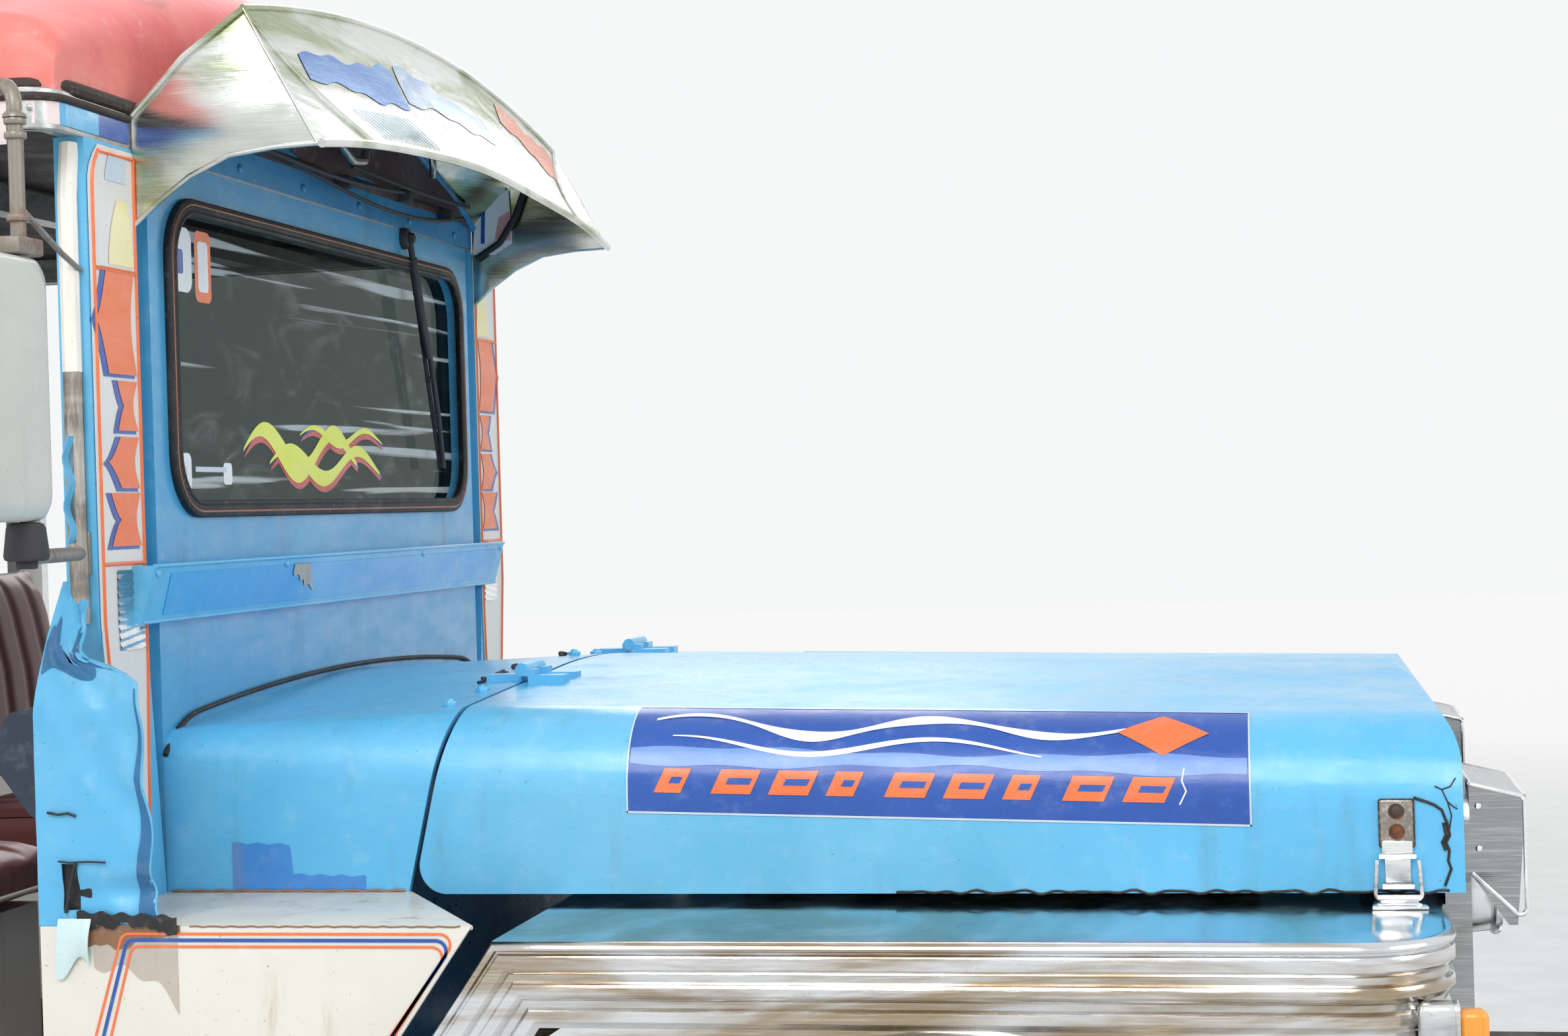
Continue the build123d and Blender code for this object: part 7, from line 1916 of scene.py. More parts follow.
@dataclass
class PostPlates:
    """Painted plates on the front posts: orange lines, lozenges with blue shadows and a strip of trim."""

    face_x: float = 0.054
    top_z: float = 1.888
    lozenges: tuple[Quad, ...] = ((1.606, 1.738, 0.050, 0.036), (1.536, 1.598, 0.018, 0.026),
        (1.464, 1.528, 0.040, 0.024), (1.392, 1.458, 0.026, 0.038))

    def inner(self, z: float) -> float:
        """Distance of the plate's inner edge from the middle."""
        return 0.703 + 0.018 * min(1.0, max(0.0, (1.24 - z) / 0.3))

    def outer(self, z: float) -> float:
        """Distance of the plate's outer edge from the middle."""
        if z > 1.30:
            return 0.836 - 0.030 * max(0.0, (z - 1.84) / 0.048) ** 2
        return 0.836 - 0.030 * min(1.0, (1.30 - z) / 0.20) - 0.085 * max(0.0, (1.12 - z) / 0.10) ** 1.5

    def point(self, share: float, z: float, proud: float) -> Vector:
        """Point on the right plate: 0 at its inner edge, 1 at its outer edge."""
        y = self.inner(z) + (self.outer(z) - self.inner(z)) * share
        return Vector((self.face_x + proud, -y, z))

    def strip(self, low: float, high: float, near: Line, far: Line, proud: float) -> Shape:
        """Painted shape between two lines, by their shares of the width, that run up the plate."""
        return Shape().sheet(lambda u, v: self.point(near(v) + (far(v) - near(v)) * u,
            low + (high - low) * v, proud), 3, 14)

    def lozenge(self, heights: Pair, widths: Pair, shift: float, proud: float) -> Shape:
        """Bowed shape by the plate's inner edge, with widths in its middle and at its ends."""
        narrow, wide = widths
        return self.strip(*heights, lambda v: 0.10 + shift * 0.4 + 0.10 * sin(pi * v),
            lambda v: 0.10 + shift + (narrow + (wide - narrow) * abs(2 * v - 1) ** 0.7) / 0.060, proud)

    def build(self) -> None:
        """Builds both plates and the round beads up their outer edges."""
        plate = Shape().sheet(lambda u, v: self.point(u, 1.02 + (self.top_z - 1.02) * v, 0.0010), 6, 60)
        plate.thicken(0.0008)
        plate.take(self.strip(1.846, 1.880, lambda v: 0.22, lambda v: 0.66, 0.0026), 4)
        # Pale yellow band: painted sun highlight on the plate.
        plate.take(self.strip(1.742, 1.824, lambda v: 0.10 + 0.1 * v * v, lambda v: 0.62 - 0.2 * v * v,
            0.0026), 5)
        for low, high, narrow, wide in self.lozenges:
            for proud, shift, look in ((0.0026, 0.10, 2), (0.0031, 0.0, 1)):
                shape = self.lozenge((low - 0.004 * (look == 2), high), (narrow, wide), shift, proud)
                plate.take(shape, look)
        border = Shape()
        for share in (0.05, 0.93):
            border.tube([self.point(share, z, 0.0022) for z in spread(1.03, 1.88, 60)], 0.0026, sides=2)
        for z in (1.370, 1.735, 1.880):
            border.tube([self.point(0.05, z, 0.0022), self.point(0.93, z, 0.0022)], 0.0026, sides=2)
        plate.take(border, 1)
        crinkle = Shape().sheet(lambda u, v: self.point(0.10 + 0.55 * u, 1.262 + 0.100 * v,
            0.0032 + 0.0012 * sin(60 * v + 5 * u)), 6, 40)
        plate.take(crinkle, 3)
        plate.twin().piece("post_plates", Slot.WHITE, POST_CREAM, ART_ORANGE, DEEP_BLUE, BRIGHT_TRIM,
            PALE_LINE, HIGHLIGHT)
        bead = Shape().tube([(0.034, -0.848, 1.606), (0.034, -0.848, 1.82), (0.034, -0.838, 1.885)], 0.012)
        bead.take(Shape().tube([(0.034, -0.843, 1.300), (0.034, -0.848, 1.40), (0.034, -0.848, 1.608)],
            0.0118), 1)
        bead.twin().piece("post_beads", Slot.STAINLESS, BEAD_CREAM, STAINED_TRIM)
        edge = Shape().sheet(lambda u, v: (0.0335 + 0.004 * sin(14 * v), -0.845 - 0.030 * u,
            1.398 + 0.130 * v), 4, 16)
        edge.thicken(0.0015)
        edge.piece("post_edge_strip", Slot.BLUE, FLARE_BLUE)


@dataclass
class Pinstripes:
    """Orange and blue lines framing the white lower panels."""

    face_y: float = -0.9306

    def line(self, points: Sequence[Pair], width: float, proud: float) -> Shape:
        """Painted line through points of the side wall.

        Args:
            points: x and z of its middle.
            width: Its width.
            proud: Distance in front of the wall.

        Returns:
            The line.
        """
        path = rounded([(x, self.face_y - proud, z) for x, z in points], 0.012)
        part = Shape()
        for start, end in zip(path, path[1:]):
            along = (end - start).normalized()
            across = Vector((-along.z, 0, along.x)) * width / 2
            part.flat([start - across, end - across, end + across, start + across])
        ops.remove_doubles(part.mesh, verts=part.mesh.verts, dist=0.0004)
        return part

    def build(self) -> None:
        """Builds the three lines of each frame."""
        lines = Shape()
        for inset, width, look in ((0.0, 0.0030, 0), (0.0075, 0.0042, 1), (0.0150, 0.0030, 0)):
            low = 0.490
            points = [(0.046 + inset, low), (0.078 + inset, 0.815 - inset),
                (0.115 + inset * 0.8, 0.936 - inset), (0.530 - inset * 0.6, 0.936 - inset),
                (0.455 - inset, 0.828 - inset), (0.215, low)]
            lines.take(self.line(points, width, 0.0005), look)
        lines.twin().piece("side_pinstripes", Slot.WHITE, ART_ORANGE, DEEP_BLUE)


@dataclass
class Lamps:
    """Headlamps with rims, bowls and fluted lenses, side markers and tail lamps."""

    y: float = 0.520
    z: float = 0.955
    base_x: float = 1.680

    def headlamps(self) -> None:
        """Builds both headlamps."""
        rim = Shape()
        rim.tube(arc((self.base_x + 0.034, self.y, self.z), 0.078, 0, 360, 48, 1), 0.007, True)
        rim.disc((self.base_x, self.y, self.z), (1, 0, 0), 0.083, 0.028, 0.080, 48, 0.002)
        bowl = Shape().disc((self.base_x + 0.029, self.y, self.z), (1, 0, 0), 0.030, 0.001, 0.070, 48)
        rim.take(bowl, 1)
        for spot in arc((self.base_x + 0.038, self.y, self.z), 0.079, 90, 450, 3, 1):
            rim.take(Shape().dome(spot, (1, 0, 0), 0.004, 0.003), 1)
        rim.twin().piece("headlamp_rims", Slot.STAINLESS, BRIGHT_TRIM, MIRROR_GLASS, replaces=["headlamps"])
        lens = Shape().ball(0.076, 48, 24)
        ops.scale(lens.mesh, verts=lens.mesh.verts, vec=(1, 1, 0.16))
        lens.turn(Matrix.Rotation(pi / 2, 3, "Y")).move((self.base_x + 0.030, self.y, self.z))
        lens.twin().piece("headlamp_lenses", Slot.LAMP_GLASS, CLEAR_LENS)

    def markers(self) -> None:
        """Builds the fender markers: bright bases with amber lenses in front."""
        base, lens = Shape(), Shape()
        base.box((1.601, 0.906, 0.814), (1.644, 0.944, 0.864), 0.007, 3)
        base.tube([(1.642, y, z) for y, z in ((0.908, 0.816), (0.942, 0.816), (0.942, 0.862),
            (0.908, 0.862))], 0.003, True, 0.006)
        for z in (0.822, 0.856):
            base.dome((1.616, 0.9435, z), (0, 1, 0), 0.0035, 0.0015)
        lens.box((1.643, 0.909, 0.816), (1.675, 0.941, 0.857), 0.009, 4)
        for index in range(5):
            lens.box((1.648 + 0.005 * index, 0.9085, 0.822), (1.650 + 0.005 * index, 0.9415, 0.851), 0.0008)
        base.twin().piece("marker_bases", Slot.STAINLESS, BRIGHT_TRIM, replaces=["marker_lamps"])
        lens.twin().piece("marker_lenses", Slot.AMBER, AMBER_LENS)

    def hood_edges(self) -> None:
        """Builds the folded bright edges of the boxes round the headlamps."""
        edges = Shape()
        for y, out in ((0.400, -1), (0.640, 1)):
            tip_low, tip_high = (1.743, y, 0.902), (1.743, y, 1.051)
            edges.tube([(1.681, y, 0.961), tip_low, tip_high, (1.681, y, 1.066)], 0.0028, False, 0.008)
            for z in (0.99, 1.04):
                edges.dome((1.690, y + 0.0005 * out, z), (0, out, 0), 0.004, 0.002)
        edges.tube([(1.743, 0.402, 1.052), (1.743, 0.638, 1.052)], 0.0028)
        edges.tube([(1.681, 0.402, 1.067), (1.681, 0.638, 1.067)], 0.0024)
        edges.twin().piece("lamp_box_edges", Slot.STAINLESS, BRIGHT_TRIM)

    def tail(self) -> None:
        """Builds the tail lamps: housings, red and amber lenses."""
        case = Shape()
        case.box((-4.080, 0.660, 0.800), (-4.050, 0.870, 0.900), 0.006)
        case.twin().piece("tail_lamp_cases", Slot.STAINLESS, BRIGHT_TRIM, replaces=["tail_lamps"])
        red = Shape().box((-4.0835, 0.668, 0.808), (-4.076, 0.768, 0.892), 0.003)
        red.twin().piece("tail_lamp_red_lenses", Slot.RED, RED_LENS)
        amber = Shape().box((-4.0835, 0.774, 0.808), (-4.076, 0.862, 0.892), 0.003)
        amber.twin().piece("tail_lamp_amber_lenses", Slot.AMBER, AMBER_LENS)

    def build(self) -> None:
        """Builds all lamps."""
        self.headlamps()
        self.markers()
        self.hood_edges()
        self.tail()


@dataclass
class Pad:
    """Upholstered pad along x between two corners: a crowned form with sewn channels across its length."""

    low: Triple
    high: Triple
    crown: float
    pitch: float
    corner: float = 0.022
    groove: float = 0.007
    face: str = "top"

    def skin(self, u: float, v: float) -> Vector:
        """Point on the pad: round its section for u, along it for v."""
        length = self.high[0] - self.low[0]
        half_y, half_z = (self.high[1] - self.low[1]) / 2, (self.high[2] - self.low[2]) / 2
        ends = [0.0, 0.0, 0.06, 0.25, 0.6, 1.0]
        index = round(v * 168)
        inset, reach = 0.0, (index - 5) / 158 * length
        if index < 6 or index > 162:
            share = ends[min(index, 168 - index)]
            inset = self.corner * (1 - sqrt(1 - (1 - share) ** 2)) if share else self.corner
            reach = self.corner * share * 0.6
            reach = reach if index < 6 else length - reach
        squeeze = 0.02 if index in (0, 168) else 1.0
        turn = tau * u
        power = 0.32
        y = copysign(abs(cos(turn)) ** power, cos(turn)) * (half_y - inset) * squeeze
        z = copysign(abs(sin(turn)) ** power, sin(turn)) * (half_z - inset) * squeeze
        along = 1 - (2 * reach / length - 1) ** 8
        seam = exp(-(((reach + self.pitch / 2) % self.pitch - self.pitch / 2) ** 2) / 0.00012)
        if self.face == "top":
            bulge = self.crown * (1 - (y / half_y) ** 2) * along - self.groove * seam * (1
                - abs(y / half_y) ** 6)
            z += (bulge - self.crown) * (z > 0) * min(1.0, z / (half_z * 0.6))
        else:
            inward = -1 if self.low[1] > 0 else 1
            if y * inward > 0:
                bulge = self.crown * (1 - (z / half_z) ** 2) * along - self.groove * seam * (1
                    - abs(z / half_z) ** 6)
                y += inward * (bulge - self.crown) * min(1.0, abs(y) / (half_y * 0.6))
        middle_y, middle_z = (self.high[1] + self.low[1]) / 2, (self.high[2] + self.low[2]) / 2
        return Vector((self.low[0] + reach, middle_y + y, middle_z + z))

    def shape(self) -> Shape:
        """The pad's closed skin."""
        pad = Shape().sheet(self.skin, 48, 168)
        ops.remove_doubles(pad.mesh, verts=pad.mesh.verts, dist=0.0006)
        pad.fill_rims()
        ops.recalc_face_normals(pad.mesh, faces=pad.mesh.faces)
        return pad


@dataclass
class Seating:
    """Bench cushions, bench backs and cab seats in quilted vinyl with piped edges."""

    bench_x: Pair = (-4.005, -0.945)
    bench_y: Pair = (0.526, 0.904)
    driver_y: float = 0.400
    seat_half: float = 0.229

    def finish(self, shape: Shape, name: str, node: str, fill: float, inflate: bool = False) -> None:
        """Turns a padded shape into a piece.

        Args:
            shape: The pad's skin.
            name: Its name.
            node: CAD node it stands for.
            fill: How tightly it is filled; not used.
            inflate: Whether cloth simulation swells it first.
        """
        thing = shape.piece(name, Slot.SEAT_VINYL, SEAT_VINYL, replaces=[node], smooth=70, turn_out=False)
        if inflate:
            self.inflate(thing)

    def inflate(self, thing: bpy.types.Object) -> None:
        """Swells a pad with air pressure as cloth and keeps the result within a cap.

        Args:
            thing: The pad.
        """
        scene = bpy.context.scene
        rest = [vert.co.copy() for vert in thing.data.vertices]
        cloth = thing.modifiers.new("cloth", "CLOTH")
        cloth.settings.use_pressure = True
        cloth.settings.uniform_pressure_force = 4
        cloth.settings.quality = 5
        cloth.settings.effector_weights.gravity = 0
        cloth.settings.tension_stiffness = 40
        cloth.settings.bending_stiffness = 4
        cloth.point_cache.frame_start, cloth.point_cache.frame_end = 1, 20
        for step in range(1, 21):
            scene.frame_set(step)
        solved = thing.evaluated_get(bpy.context.evaluated_depsgraph_get())
        swollen = [vert.co.copy() for vert in solved.data.vertices]
        thing.modifiers.remove(cloth)
        scene.frame_set(1)
        for vert, start, end in zip(thing.data.vertices, rest, swollen):
            move = end - start
            vert.co = start + move * min(1.0, 0.006 / max(move.length, 1e-6))

    def benches(self) -> None:
        """Builds the two long cushions and their backs."""
        cushions, backs, piping = Shape(), Shape(), Shape()
        start, end = self.bench_x
        near, far = self.bench_y
        for sign in (1, -1):
            rows = (near, far) if sign > 0 else (-far, -near)
            cushions.take(Pad((start, rows[0], 0.9505), (end, rows[1], 1.0395), 0.016, 0.306).shape())
            rows = (0.846, 0.904) if sign > 0 else (-0.904, -0.846)
            backs.take(Pad((start, rows[0], 1.0455), (end, rows[1], 1.1695), 0.014, 0.153,
                face="side").shape())
            for z in (0.962, 1.020):
                piping.tube([(start + 0.03, sign * (near + 0.004), z), (end - 0.03, sign * (near + 0.004),
                    z)], 0.0035)
            piping.tube([(start + 0.02, sign * 0.858, 1.166), (end - 0.02, sign * 0.858, 1.166)], 0.0035)
        self.finish(cushions, "bench_cushions", "benches", 0.7)
        self.finish(backs, "bench_back_pads", "bench_backs", 0.7)
        piping.piece("bench_piping", Slot.SEAT_VINYL, PIPING)

    def cab(self) -> None:
        """Builds the driver's and the front passengers' seats."""
        pads, piping = Shape(), Shape()
        half = self.seat_half
        for sign in (1, -1):
            middle = sign * self.driver_y
            cushion = Pad((-0.230, -0.2245, 0.8615), (0.229, 0.2245, 0.9695), 0.020, 0.0765, 0.028).shape()
            pads.take(cushion.turn(Matrix.Rotation(pi / 2, 3, "Z")).move((-0.575, middle, 0)))
            back = Pad((-half, -0.184, 0.0), (half, 0.184, 0.098), 0.020, 0.0765, 0.028).shape()
            back.turn(Matrix(((0, 0, 1), (1, 0, 0), (0, 1, 0)))).turn(Matrix.Rotation(atan2(-0.060, 0.370),
                3, "Y"))
            pads.take(back.move((-0.818, middle, 1.153)))
            for x in (-0.352, -0.795):
                piping.tube([(x, middle - half + 0.03, 0.885), (x, middle + half - 0.03, 0.885)], 0.0035)
        self.finish(pads, "cab_seat_pads", "cab_seats", 0.75, True)
        piping.piece("cab_seat_piping", Slot.SEAT_VINYL, PIPING)

    def build(self) -> None:
        """Builds all seats."""
        self.benches()
        self.cab()


@dataclass
class Wheels:
    """Lug nuts, hub caps, valves and rim edges on the four rims."""

    radius: float = 0.380

    def build(self) -> None:
        """Builds the fittings of each wheel."""
        for x, side, body in WHEELS:
            sign, name = side.value, body.value.removeprefix("wheel_")
            low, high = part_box("rim_" + name)
            face = high[1] if sign > 0 else low[1]
            disc_y = face - sign * 0.060
            fittings, cap = Shape(), Shape()
            for spot in arc((x, disc_y - sign * 0.004, self.radius), 0.083, 0, 360, 6):
                fittings.disc(spot, (0, sign, 0), 0.0125, 0.016, sides=6, soft=0.0015)
                fittings.disc(spot, (0, sign, 0), 0.006, 0.024, sides=12, soft=0.001)
            cap.tube(arc((x, face - sign * 0.006, self.radius), 0.216, 0, 360, 64), 0.004, True)
            cap.disc((x, disc_y - sign * 0.006, self.radius), (0, sign, 0), 0.050, 0.030, 0.044, 40, 0.005)
            cap.dome((x, disc_y + sign * 0.024, self.radius), (0, sign, 0), 0.040, 0.014, 32)
            valve = (x + 0.165, face - sign * 0.045, self.radius + 0.060)
            fittings.disc(valve, (0.2, sign, 0), 0.004, 0.030, sides=12)
            fittings.piece("wheel_nuts_" + name, Slot.RUSTY, ARM_STEEL, body=body)
            cap.piece("hub_cap_" + name, Slot.STAINLESS, BRIGHT_TRIM, body=body)


@dataclass
class BodySides:
    """Window trims, rivets, painted bands and arch lips of the passenger body's sides."""

    face_y: float = 0.930
    windows: tuple[float, ...] = (-3.980, -3.210, -2.440, -1.670)
    width: float = 0.700
    heights: Pair = (1.180, 1.800)
    axle: Triple = (-2.600, 0.380, 0.440)

    def outline(self, left: float, inset: float) -> list[Vector]:
        """Rounded outline of a window, larger by a negative inset."""
        low, high = self.heights[0] + inset, self.heights[1] - inset
        right = left + self.width - inset
        left += inset
        return window(self.face_y + 0.0005, (left, right), (low, high), 0.070 - inset, 1)

    def trims(self) -> None:
        """Builds the rubber seals and bright frames round the windows."""
        seals, frames = Shape(), Shape()
        for left in self.windows:
            seals.tube([point - Vector((0, 0.012, 0)) for point in self.outline(left, 0.002)], 0.0065, True)
            frames.ring(self.outline(left, -0.022), self.outline(left, -0.002), (0, -0.0005, 0))
            frames.tube(self.outline(left, -0.020), 0.0022, True, sides=1)
        seals.twin().piece("side_window_seals", Slot.PLASTIC, RUBBER)
        frames.twin().piece("side_window_frames", Slot.STAINLESS, BRIGHT_TRIM)

    def bands(self) -> None:
        """Builds the painted bands and the diamonds along the lower panels."""
        start, end = -4.045, -0.905
        art = Shape()
        rows = ((1.128, 0.020, 0), (1.100, 0.006, 1), (0.860, 0.010, 1), (0.842, 0.004, 0), (0.560, 0.016, 0))
        arch_x, arch_z, radius = self.axle

        def bar(z: float, width: float, look: int, from_x: float, to_x: float) -> None:
            """Adds one level bar."""
            part = Shape().sheet(lambda u, v: (from_x + (to_x - from_x) * u, -self.face_y - 0.0006,
                z + (v - 0.5) * width), 24, 1)
            art.take(part, look)

        for z, width, look in rows:
            gap = sqrt(max((radius + 0.03) ** 2 - (z - arch_z) ** 2, 0.0))
            if gap:
                bar(z, width, look, start, arch_x - gap)
                bar(z, width, look, arch_x + gap, end)
            else:
                bar(z, width, look, start, end)
        for index in range(14):
            x = -3.90 + 0.225 * index
            for size, look in ((0.075, 2), (0.045, 0)):
                part = Shape()
                y = -self.face_y - (0.0007 if look == 2 else 0.0011)
                part.flat([(x - size, y, 0.975), (x, y, 0.975 - size), (x + size, y, 0.975),
                    (x, y, 0.975 + size)])
                art.take(part, look)
        art.twin().piece("side_artwork", Slot.BLUE, DEEP_BLUE, ART_ORANGE, PALE_LINE)

    def rivets(self) -> None:
        """Builds the rivet rows, the seams and the rear arch lips."""
        studs = Shape()
        for index in range(40):
            x = -4.03 + 0.0795 * index
            for z in (1.158, 1.835):
                studs.dome((x, -self.face_y, z), (0, -1, 0), 0.0045, 0.002, 8)
        studs.twin().piece("side_rivets", Slot.STAINLESS, BRIGHT_TRIM)
        lips = Shape()
        arch_x, arch_z, radius = self.axle
        lips.tube(arc((arch_x, -self.face_y + 0.002, arch_z), radius, 17, 163, 44), 0.008)
        for x in (-4.040, -0.910):
            lips.tube([(x, -self.face_y + 0.004, 0.520), (x, -self.face_y + 0.004, 1.885)], 0.006)
        for ends in ((-4.04, -3.02), (-2.18, -0.91)):
            lips.tube([(x, -self.face_y + 0.003, 0.514) for x in ends], 0.006)
        lips.twin().piece("side_mouldings", Slot.STAINLESS, BRIGHT_TRIM)

    def gutter(self) -> None:
        """Builds the beaded edges of the gutter, the painted, damaged ends by the visor, and a dark tube of
        painted shade under the roof's edge at the front corner.
        """
        beads = Shape()
        for z in (1.8945, 1.9385):
            beads.tube([(-4.046, -0.926, z), (0.050, -0.926, z), (0.050, 0.926, z), (-4.046, 0.926, z)],
                0.0038, True, 0.040, 2)
        for index in range(52):
            for sign in (-1, 1):
                beads.dome((-4.0 + 0.079 * index, sign * self.face_y, 1.917), (0, sign, 0), 0.004, 0.0018, 8)
        beads.piece("gutter_beads", Slot.GALVANIZED, ZINC)
        corner = [(-0.42, -0.9312), (0.0, -0.9312), (0.016, -0.9308), (0.032, -0.926), (0.046, -0.915),
            (0.0535, -0.901)]
        corner += [(0.0552, -0.888), (0.0552, -0.80), (0.0552, -0.715)]
        patch = Shape()
        for index, (start, end) in enumerate(zip(corner, corner[1:])):
            look = 0 if index < 5 else (1 if index < 7 else 2)
            piece = Shape().sheet(lambda u, v, s=start, e=end: (s[0] + (e[0] - s[0]) * u,
                s[1] + (e[1] - s[1]) * u, 1.8985 + 0.027 * v), 6, 3)
            patch.take(piece, look)
        skirt = Shape().sheet(lambda u, v: (-0.42 + 0.42 * u, -0.9314 + 0.001 * sin(30 * u),
            1.874 + 0.026 * v), 40, 3)
        patch.take(skirt.thicken(0.0012), 0)
        # Dark tube along the corner: painted shade of the gap under the roof's edge.
        shade = [(x, y, 1.9305) for x, y in corner]
        patch.take(Shape().tube(shade, 0.0052), 3)
        patch.piece("gutter_paint", Slot.WHITE, GUTTER_PAINT, FLARE_BLUE, DEEP_BLUE, WELT_GAP_SHADE)

    def build(self) -> None:
        """Builds both sides."""
        self.trims()
        self.bands()
        self.rivets()
        self.gutter()


@dataclass
class RearEnd:
    """Trims, bars, plate and step of the rear."""

    face_x: float = -4.050
    entrance: Pair = (0.330, 1.800)
    windows: Quad = (0.440, 0.815, 1.220, 1.760)

    def build(self) -> None:
        """Builds the rear fittings."""
        x = self.face_x
        half, top = self.entrance
        trims = Shape()
        trims.tube([(x + 0.004, -half, 0.645), (x + 0.004, -half, top), (x + 0.004, half, top),
            (x + 0.004, half, 0.645)], 0.006, False, 0.05)
        for z in (0.515, 1.140, 1.888):
            for sign in (1, -1):
                start = half + 0.014 if z < top else 0.0
                trims.tube([(x + 0.003, sign * start, z), (x + 0.003, sign * 0.924, z)], 0.005)
        for sign in (1, -1):
            for index in range(16):
                trims.dome((x, sign * 0.905, 0.56 + 0.085 * index), (-1, 0, 0), 0.0045, 0.002, 8)
                trims.dome((x, sign * (half + 0.030), 0.66 + 0.072 * index), (-1, 0, 0), 0.0045, 0.002, 8)
            for z in (0.95, 1.45):
                trims.disc((x + 0.001, sign * 0.385, z), (-1, 0, 0), 0.016, 0.004, sides=20, soft=0.001)
            bar = [(x, sign * 0.385, 0.95), (x - 0.045, sign * 0.385, 0.97), (x - 0.045, sign * 0.385, 1.43),
                (x, sign * 0.385, 1.45)]
            trims.tube(bar, 0.009, False, 0.020)
        trims.piece("rear_trims", Slot.STAINLESS, BRIGHT_TRIM)
        near, far, low, high = self.windows
        seals = Shape()
        for sign in (1, -1):
            outline = window(x + 0.003, (sign * near, sign * far), (low, high), 0.060)
            seals.tube(outline, 0.008, True)
        seals.piece("rear_window_seals", Slot.PLASTIC, RUBBER)

        def bar(sign: int, z: float, width: float) -> Shape:
            """Painted level bar beside the entrance."""
            near = 0.365 if z > 0.6 else 0.480
            return Shape().sheet(lambda u, v: (x - 0.0007, sign * (near + (0.895 - near) * u),
                z + (v - 0.5) * width), 4, 1)

        art = Shape()
        bars = ((1.115, 0.018, 0), (1.090, 0.006, 1), (0.760, 0.010, 1), (0.742, 0.004, 0), (0.560, 0.014, 0))
        for sign in (1, -1):
            for z, width, look in bars:
                art.take(bar(sign, z, width), look)
        plate = Shape().box((x - 0.006, -0.880, 0.930), (x - 0.001, -0.540, 1.070), 0.0015)
        for y in (-0.86, -0.56):
            plate.dome((x - 0.006, y, 1.045), (-1, 0, 0), 0.006, 0.003)
        art.take(plate, 2)
        art.piece("rear_artwork_and_plate", Slot.WHITE, DEEP_BLUE, ART_ORANGE, PLATE_WHITE)
        tread = Shape()
        for index in range(12):
            tread.box((-4.370 + 0.0255 * index, -0.402, 0.350), (-4.3625 + 0.0255 * index, 0.402, 0.3535),
                0.001)
        tread.piece("rear_step_tread", Slot.GALVANIZED, ZINC)


@dataclass
class FrontEnd:
    """Grille rivets, bumper bolts and beads, blank plate and running-board treads."""

    grille_x: float = 1.680
    bumper_x: float = 2.020

    def build(self) -> None:
        """Builds the front fittings."""
        trims = Shape()
        for sign in (1, -1):
            for index in range(9):
                trims.dome((self.grille_x, sign * 0.360, 0.695 + 0.040 * index), (1, 0, 0), 0.006, 0.0025, 8)
            for z in (0.515, 0.595):
                trims.disc((self.bumper_x - 0.0055, sign * 0.46, z), (1, 0, 0), 0.013, 0.005, sides=6,
                    soft=0.001)
            trims.tube([(self.grille_x + 0.001, sign * 0.338, 0.684), (self.grille_x + 0.001, sign * 0.338,
                1.026)], 0.005)
        for z in (0.684, 1.026):
            trims.tube([(self.grille_x + 0.001, -0.338, z), (self.grille_x + 0.001, 0.338, z)], 0.005)
        trims.piece("front_trims", Slot.STAINLESS, BRIGHT_TRIM)
        plate = Shape().box((self.bumper_x - 0.0045, -0.170, 0.486), (self.bumper_x - 0.0005, 0.170, 0.626),
            0.0015)
        for y in (-0.15, 0.15):
            plate.dome((self.bumper_x - 0.001, y, 0.600), (1, 0, 0), 0.006, 0.001)
        plate.piece("front_plate", Slot.WHITE, PLATE_WHITE)
        treads = Shape()
        for index in range(7):
            y = 0.735 + 0.028 * index
            treads.box((-0.885, y, 0.450), (0.175, y + 0.012, 0.4535), 0.001)
        treads.twin().piece("running_board_treads", Slot.PLASTIC, RUBBER)


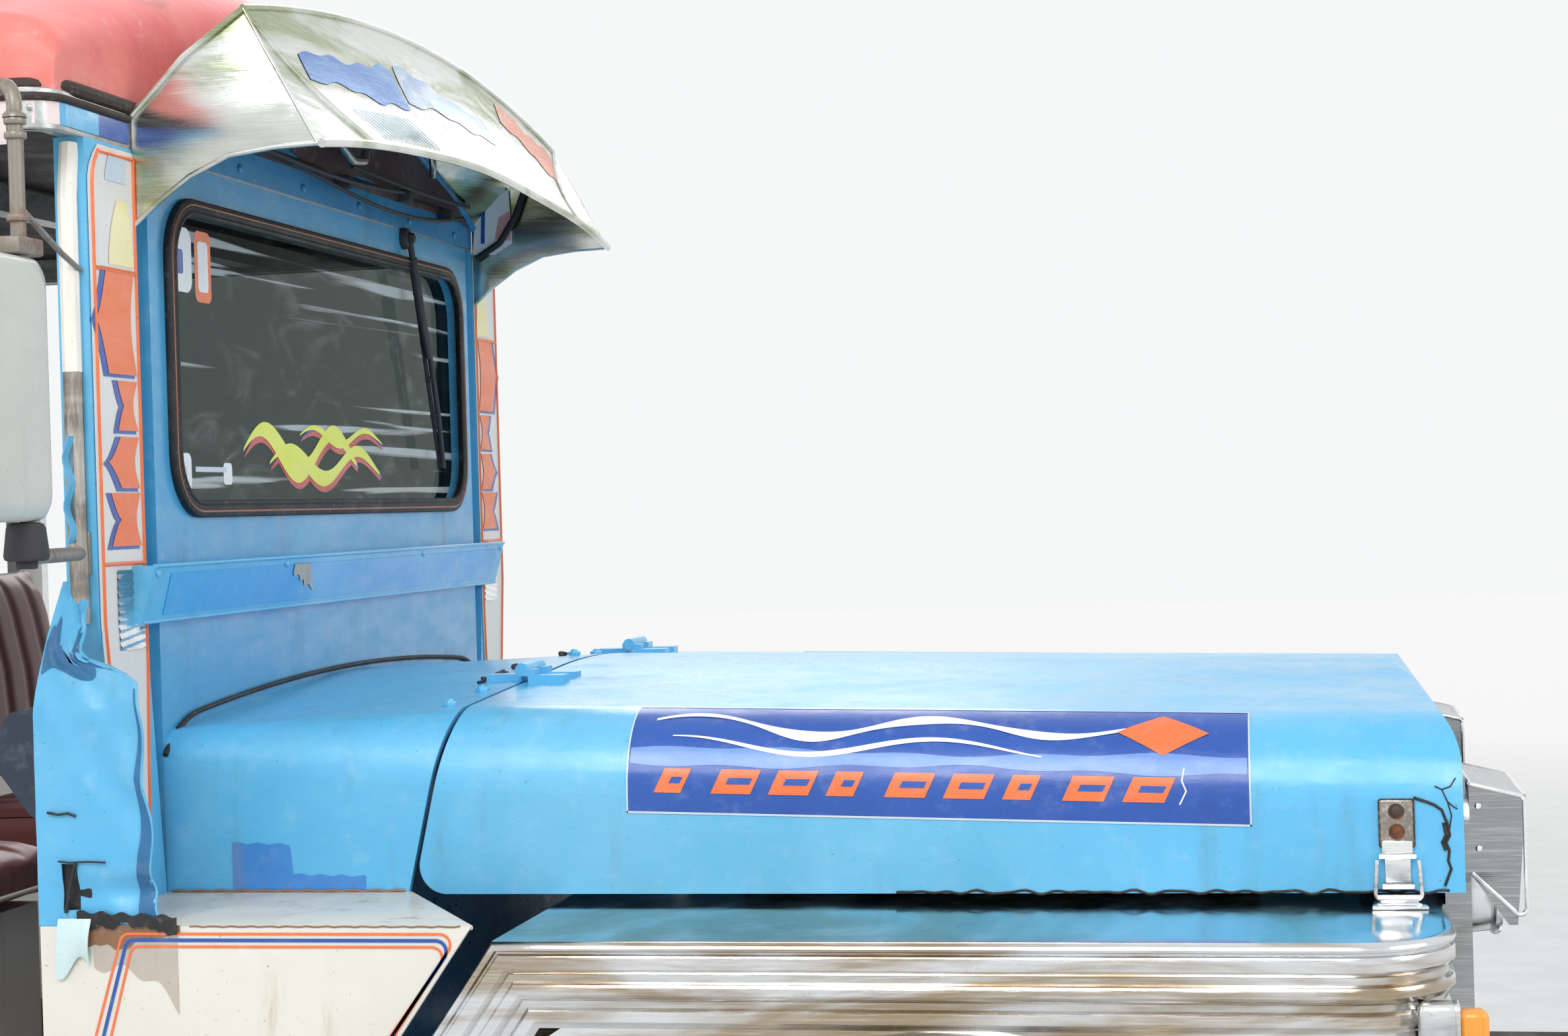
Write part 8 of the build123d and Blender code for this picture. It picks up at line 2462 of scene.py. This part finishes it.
@dataclass
class Cab:
    """Dashboard gauges, steering wheel grip, gear lever boot, pedals and the cab's small fittings."""

    wheel_hub: Triple = (-0.330, 0.400, 1.150)
    tilt: float = 38.0
    wheel_radius: float = 0.205
    dial_z: float = 1.125

    def gauges(self) -> None:
        """Builds gauges, switches and the glove-box lid on the dashboard."""
        bezels, dials = Shape(), Shape()
        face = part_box("dashboard")[0][0] - STATION
        for y, radius in ((0.31, 0.042), (0.42, 0.052), (0.53, 0.042), (0.17, 0.026), (0.10, 0.026)):
            bezels.disc((face - 0.001, y, self.dial_z), (-1, 0, 0), radius, 0.012, radius * 0.92, 32, 0.002)
            dials.disc((face - 0.0135, y, self.dial_z), (-1, 0, 0), radius * 0.80, 0.0015, sides=32)
            for step in range(9):
                angle = radians(225 - 270 * step / 8)
                spot = (face - 0.0152, y - radius * 0.62 * cos(angle), self.dial_z
                    + radius * 0.62 * sin(angle))
                dials.take(Shape().disc(spot, (-1, 0, 0), radius * 0.05, 0.0008, sides=8), 1)
            needle = [(face - 0.0160, y, self.dial_z), (face - 0.0160, y + radius * 0.45,
                self.dial_z + radius * 0.35)]
            dials.take(Shape().tube(needle, 0.0014, sides=1), 2)
        for y in (0.04, -0.01, -0.06):
            bezels.disc((face - 0.001, y, 1.105), (-1, 0, 0), 0.009, 0.018, 0.007, 16, 0.002)
        bezels.box((face - 0.006, -0.56, 1.065), (face - 0.001, -0.20, 1.175), 0.002)
        bezels.disc((face - 0.006, -0.38, 1.155), (-1, 0, 0), 0.008, 0.012, 0.007, 16, 0.001)
        bezels.piece("dash_bezels", Slot.STAINLESS, BRIGHT_TRIM)
        dials.piece("dash_dials", Slot.PLASTIC, BLACK_PLASTIC, ART_WHITE, ART_ORANGE)

    def wheel(self) -> None:
        """Builds the steering wheel: wrapped grip, three spokes and the horn button."""
        hub = Vector(self.wheel_hub)
        turn = Matrix.Rotation(radians(-90 + self.tilt), 3, "Y")
        part = Shape()

        def at(radius: float, angle: float, lift: float) -> Vector:
            """Point of the wheel by radius, angle and distance above its plane."""
            return hub + turn @ Vector((radius * cos(angle), radius * sin(angle), lift))

        grip = [at(self.wheel_radius, tau * i / 96, 0.0) for i in range(96)]
        part.tube(grip, 0.0125, True, sides=3)
        for index in range(72):
            angle = tau * index / 72
            ring = [at(self.wheel_radius + 0.0128 * cos(b), angle + 0.02 * sin(b), 0.0128 * sin(b))
                for b in [tau * i / 10 for i in range(10)]]
            part.tube(ring, 0.0011, True, sides=1)
        for angle in (radians(90), radians(210), radians(330)):
            part.tube([at(0.024, angle, -0.012), at(0.11, angle, -0.010), at(self.wheel_radius, angle, 0.0)],
                0.0075)
        part.disc(at(0, 0, -0.020), turn @ Vector((0, 0, 1)), 0.033, 0.030, 0.030, 32, 0.004)
        part.dome(at(0, 0, 0.010), turn @ Vector((0, 0, 1)), 0.022, 0.008, 24)
        part.piece("steering_wheel_grip", Slot.PLASTIC, BLACK_PLASTIC, body=Body.STEERING_WHEEL,
            replaces=["steering_wheel"])

    def lever(self) -> None:
        """Builds the gear lever with its boot and knob, and the pedals."""
        foot, top = Vector((-0.150, 0.0, 0.640)), Vector((-0.330, 0.0, 1.020))
        lever = Shape().tube([foot, foot.lerp(top, 0.5) + Vector((0.004, 0, 0)), top], 0.0085)
        lever.take(Shape().disc(top - Vector((-0.008, 0, 0.018)), top - foot, 0.015, 0.012, 0.022, 24,
            0.003), 1)
        lever.take(Shape().ball(0.0255, 28, 18).move(top), 1)
        for index in range(5):
            lever.take(Shape().disc(foot + Vector((-0.004 * index, 0, 0.012 * index)), (-0.3, 0, 1),
                0.050 - 0.007 * index, 0.012, 0.042 - 0.007 * index, 28, 0.003), 1)
        lever.piece("gear_lever_and_boot", Slot.PLASTIC, BRIGHT_TRIM, RUBBER, replaces=["gear_lever"])
        pedals = Shape()
        for y, width in ((0.30, 0.060), (0.42, 0.060), (0.53, 0.044)):
            pedals.box((0.150, y - width / 2, 0.760), (0.164, y + width / 2, 0.840), 0.003)
            for index in range(5):
                z = 0.770 + 0.015 * index
                pedals.box((0.1475, y - width / 2 + 0.004, z), (0.1505, y + width / 2 - 0.004, z + 0.006),
                    0.0008)
            pedals.tube([(0.160, y, 0.800), (0.250, y, 0.830), (0.299, y, 0.900)], 0.007)
        pedals.piece("pedals", Slot.PLASTIC, RUBBER)

    def build(self) -> None:
        """Builds the cab's fittings."""
        self.gauges()
        self.wheel()
        self.lever()


def main() -> None:
    """Builds the studio and every sub-assembly in order."""
    logging.basicConfig(level=logging.INFO, format="%(message)s")
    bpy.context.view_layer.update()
    Studio().build()
    SolidParts(frame["nodes"]).build()
    for part in (FrontFenders(), Visor(), CabSides(), RoofCover(), Tyres(), Mirrors(), Hood(), Windshield(),
            Header(), PostPlates(), Pinstripes(), Lamps(), Seating(), Wheels(), BodySides(), RearEnd(),
            FrontEnd(), Cab()):
        part.build()


if __name__ == "__main__":
    main()
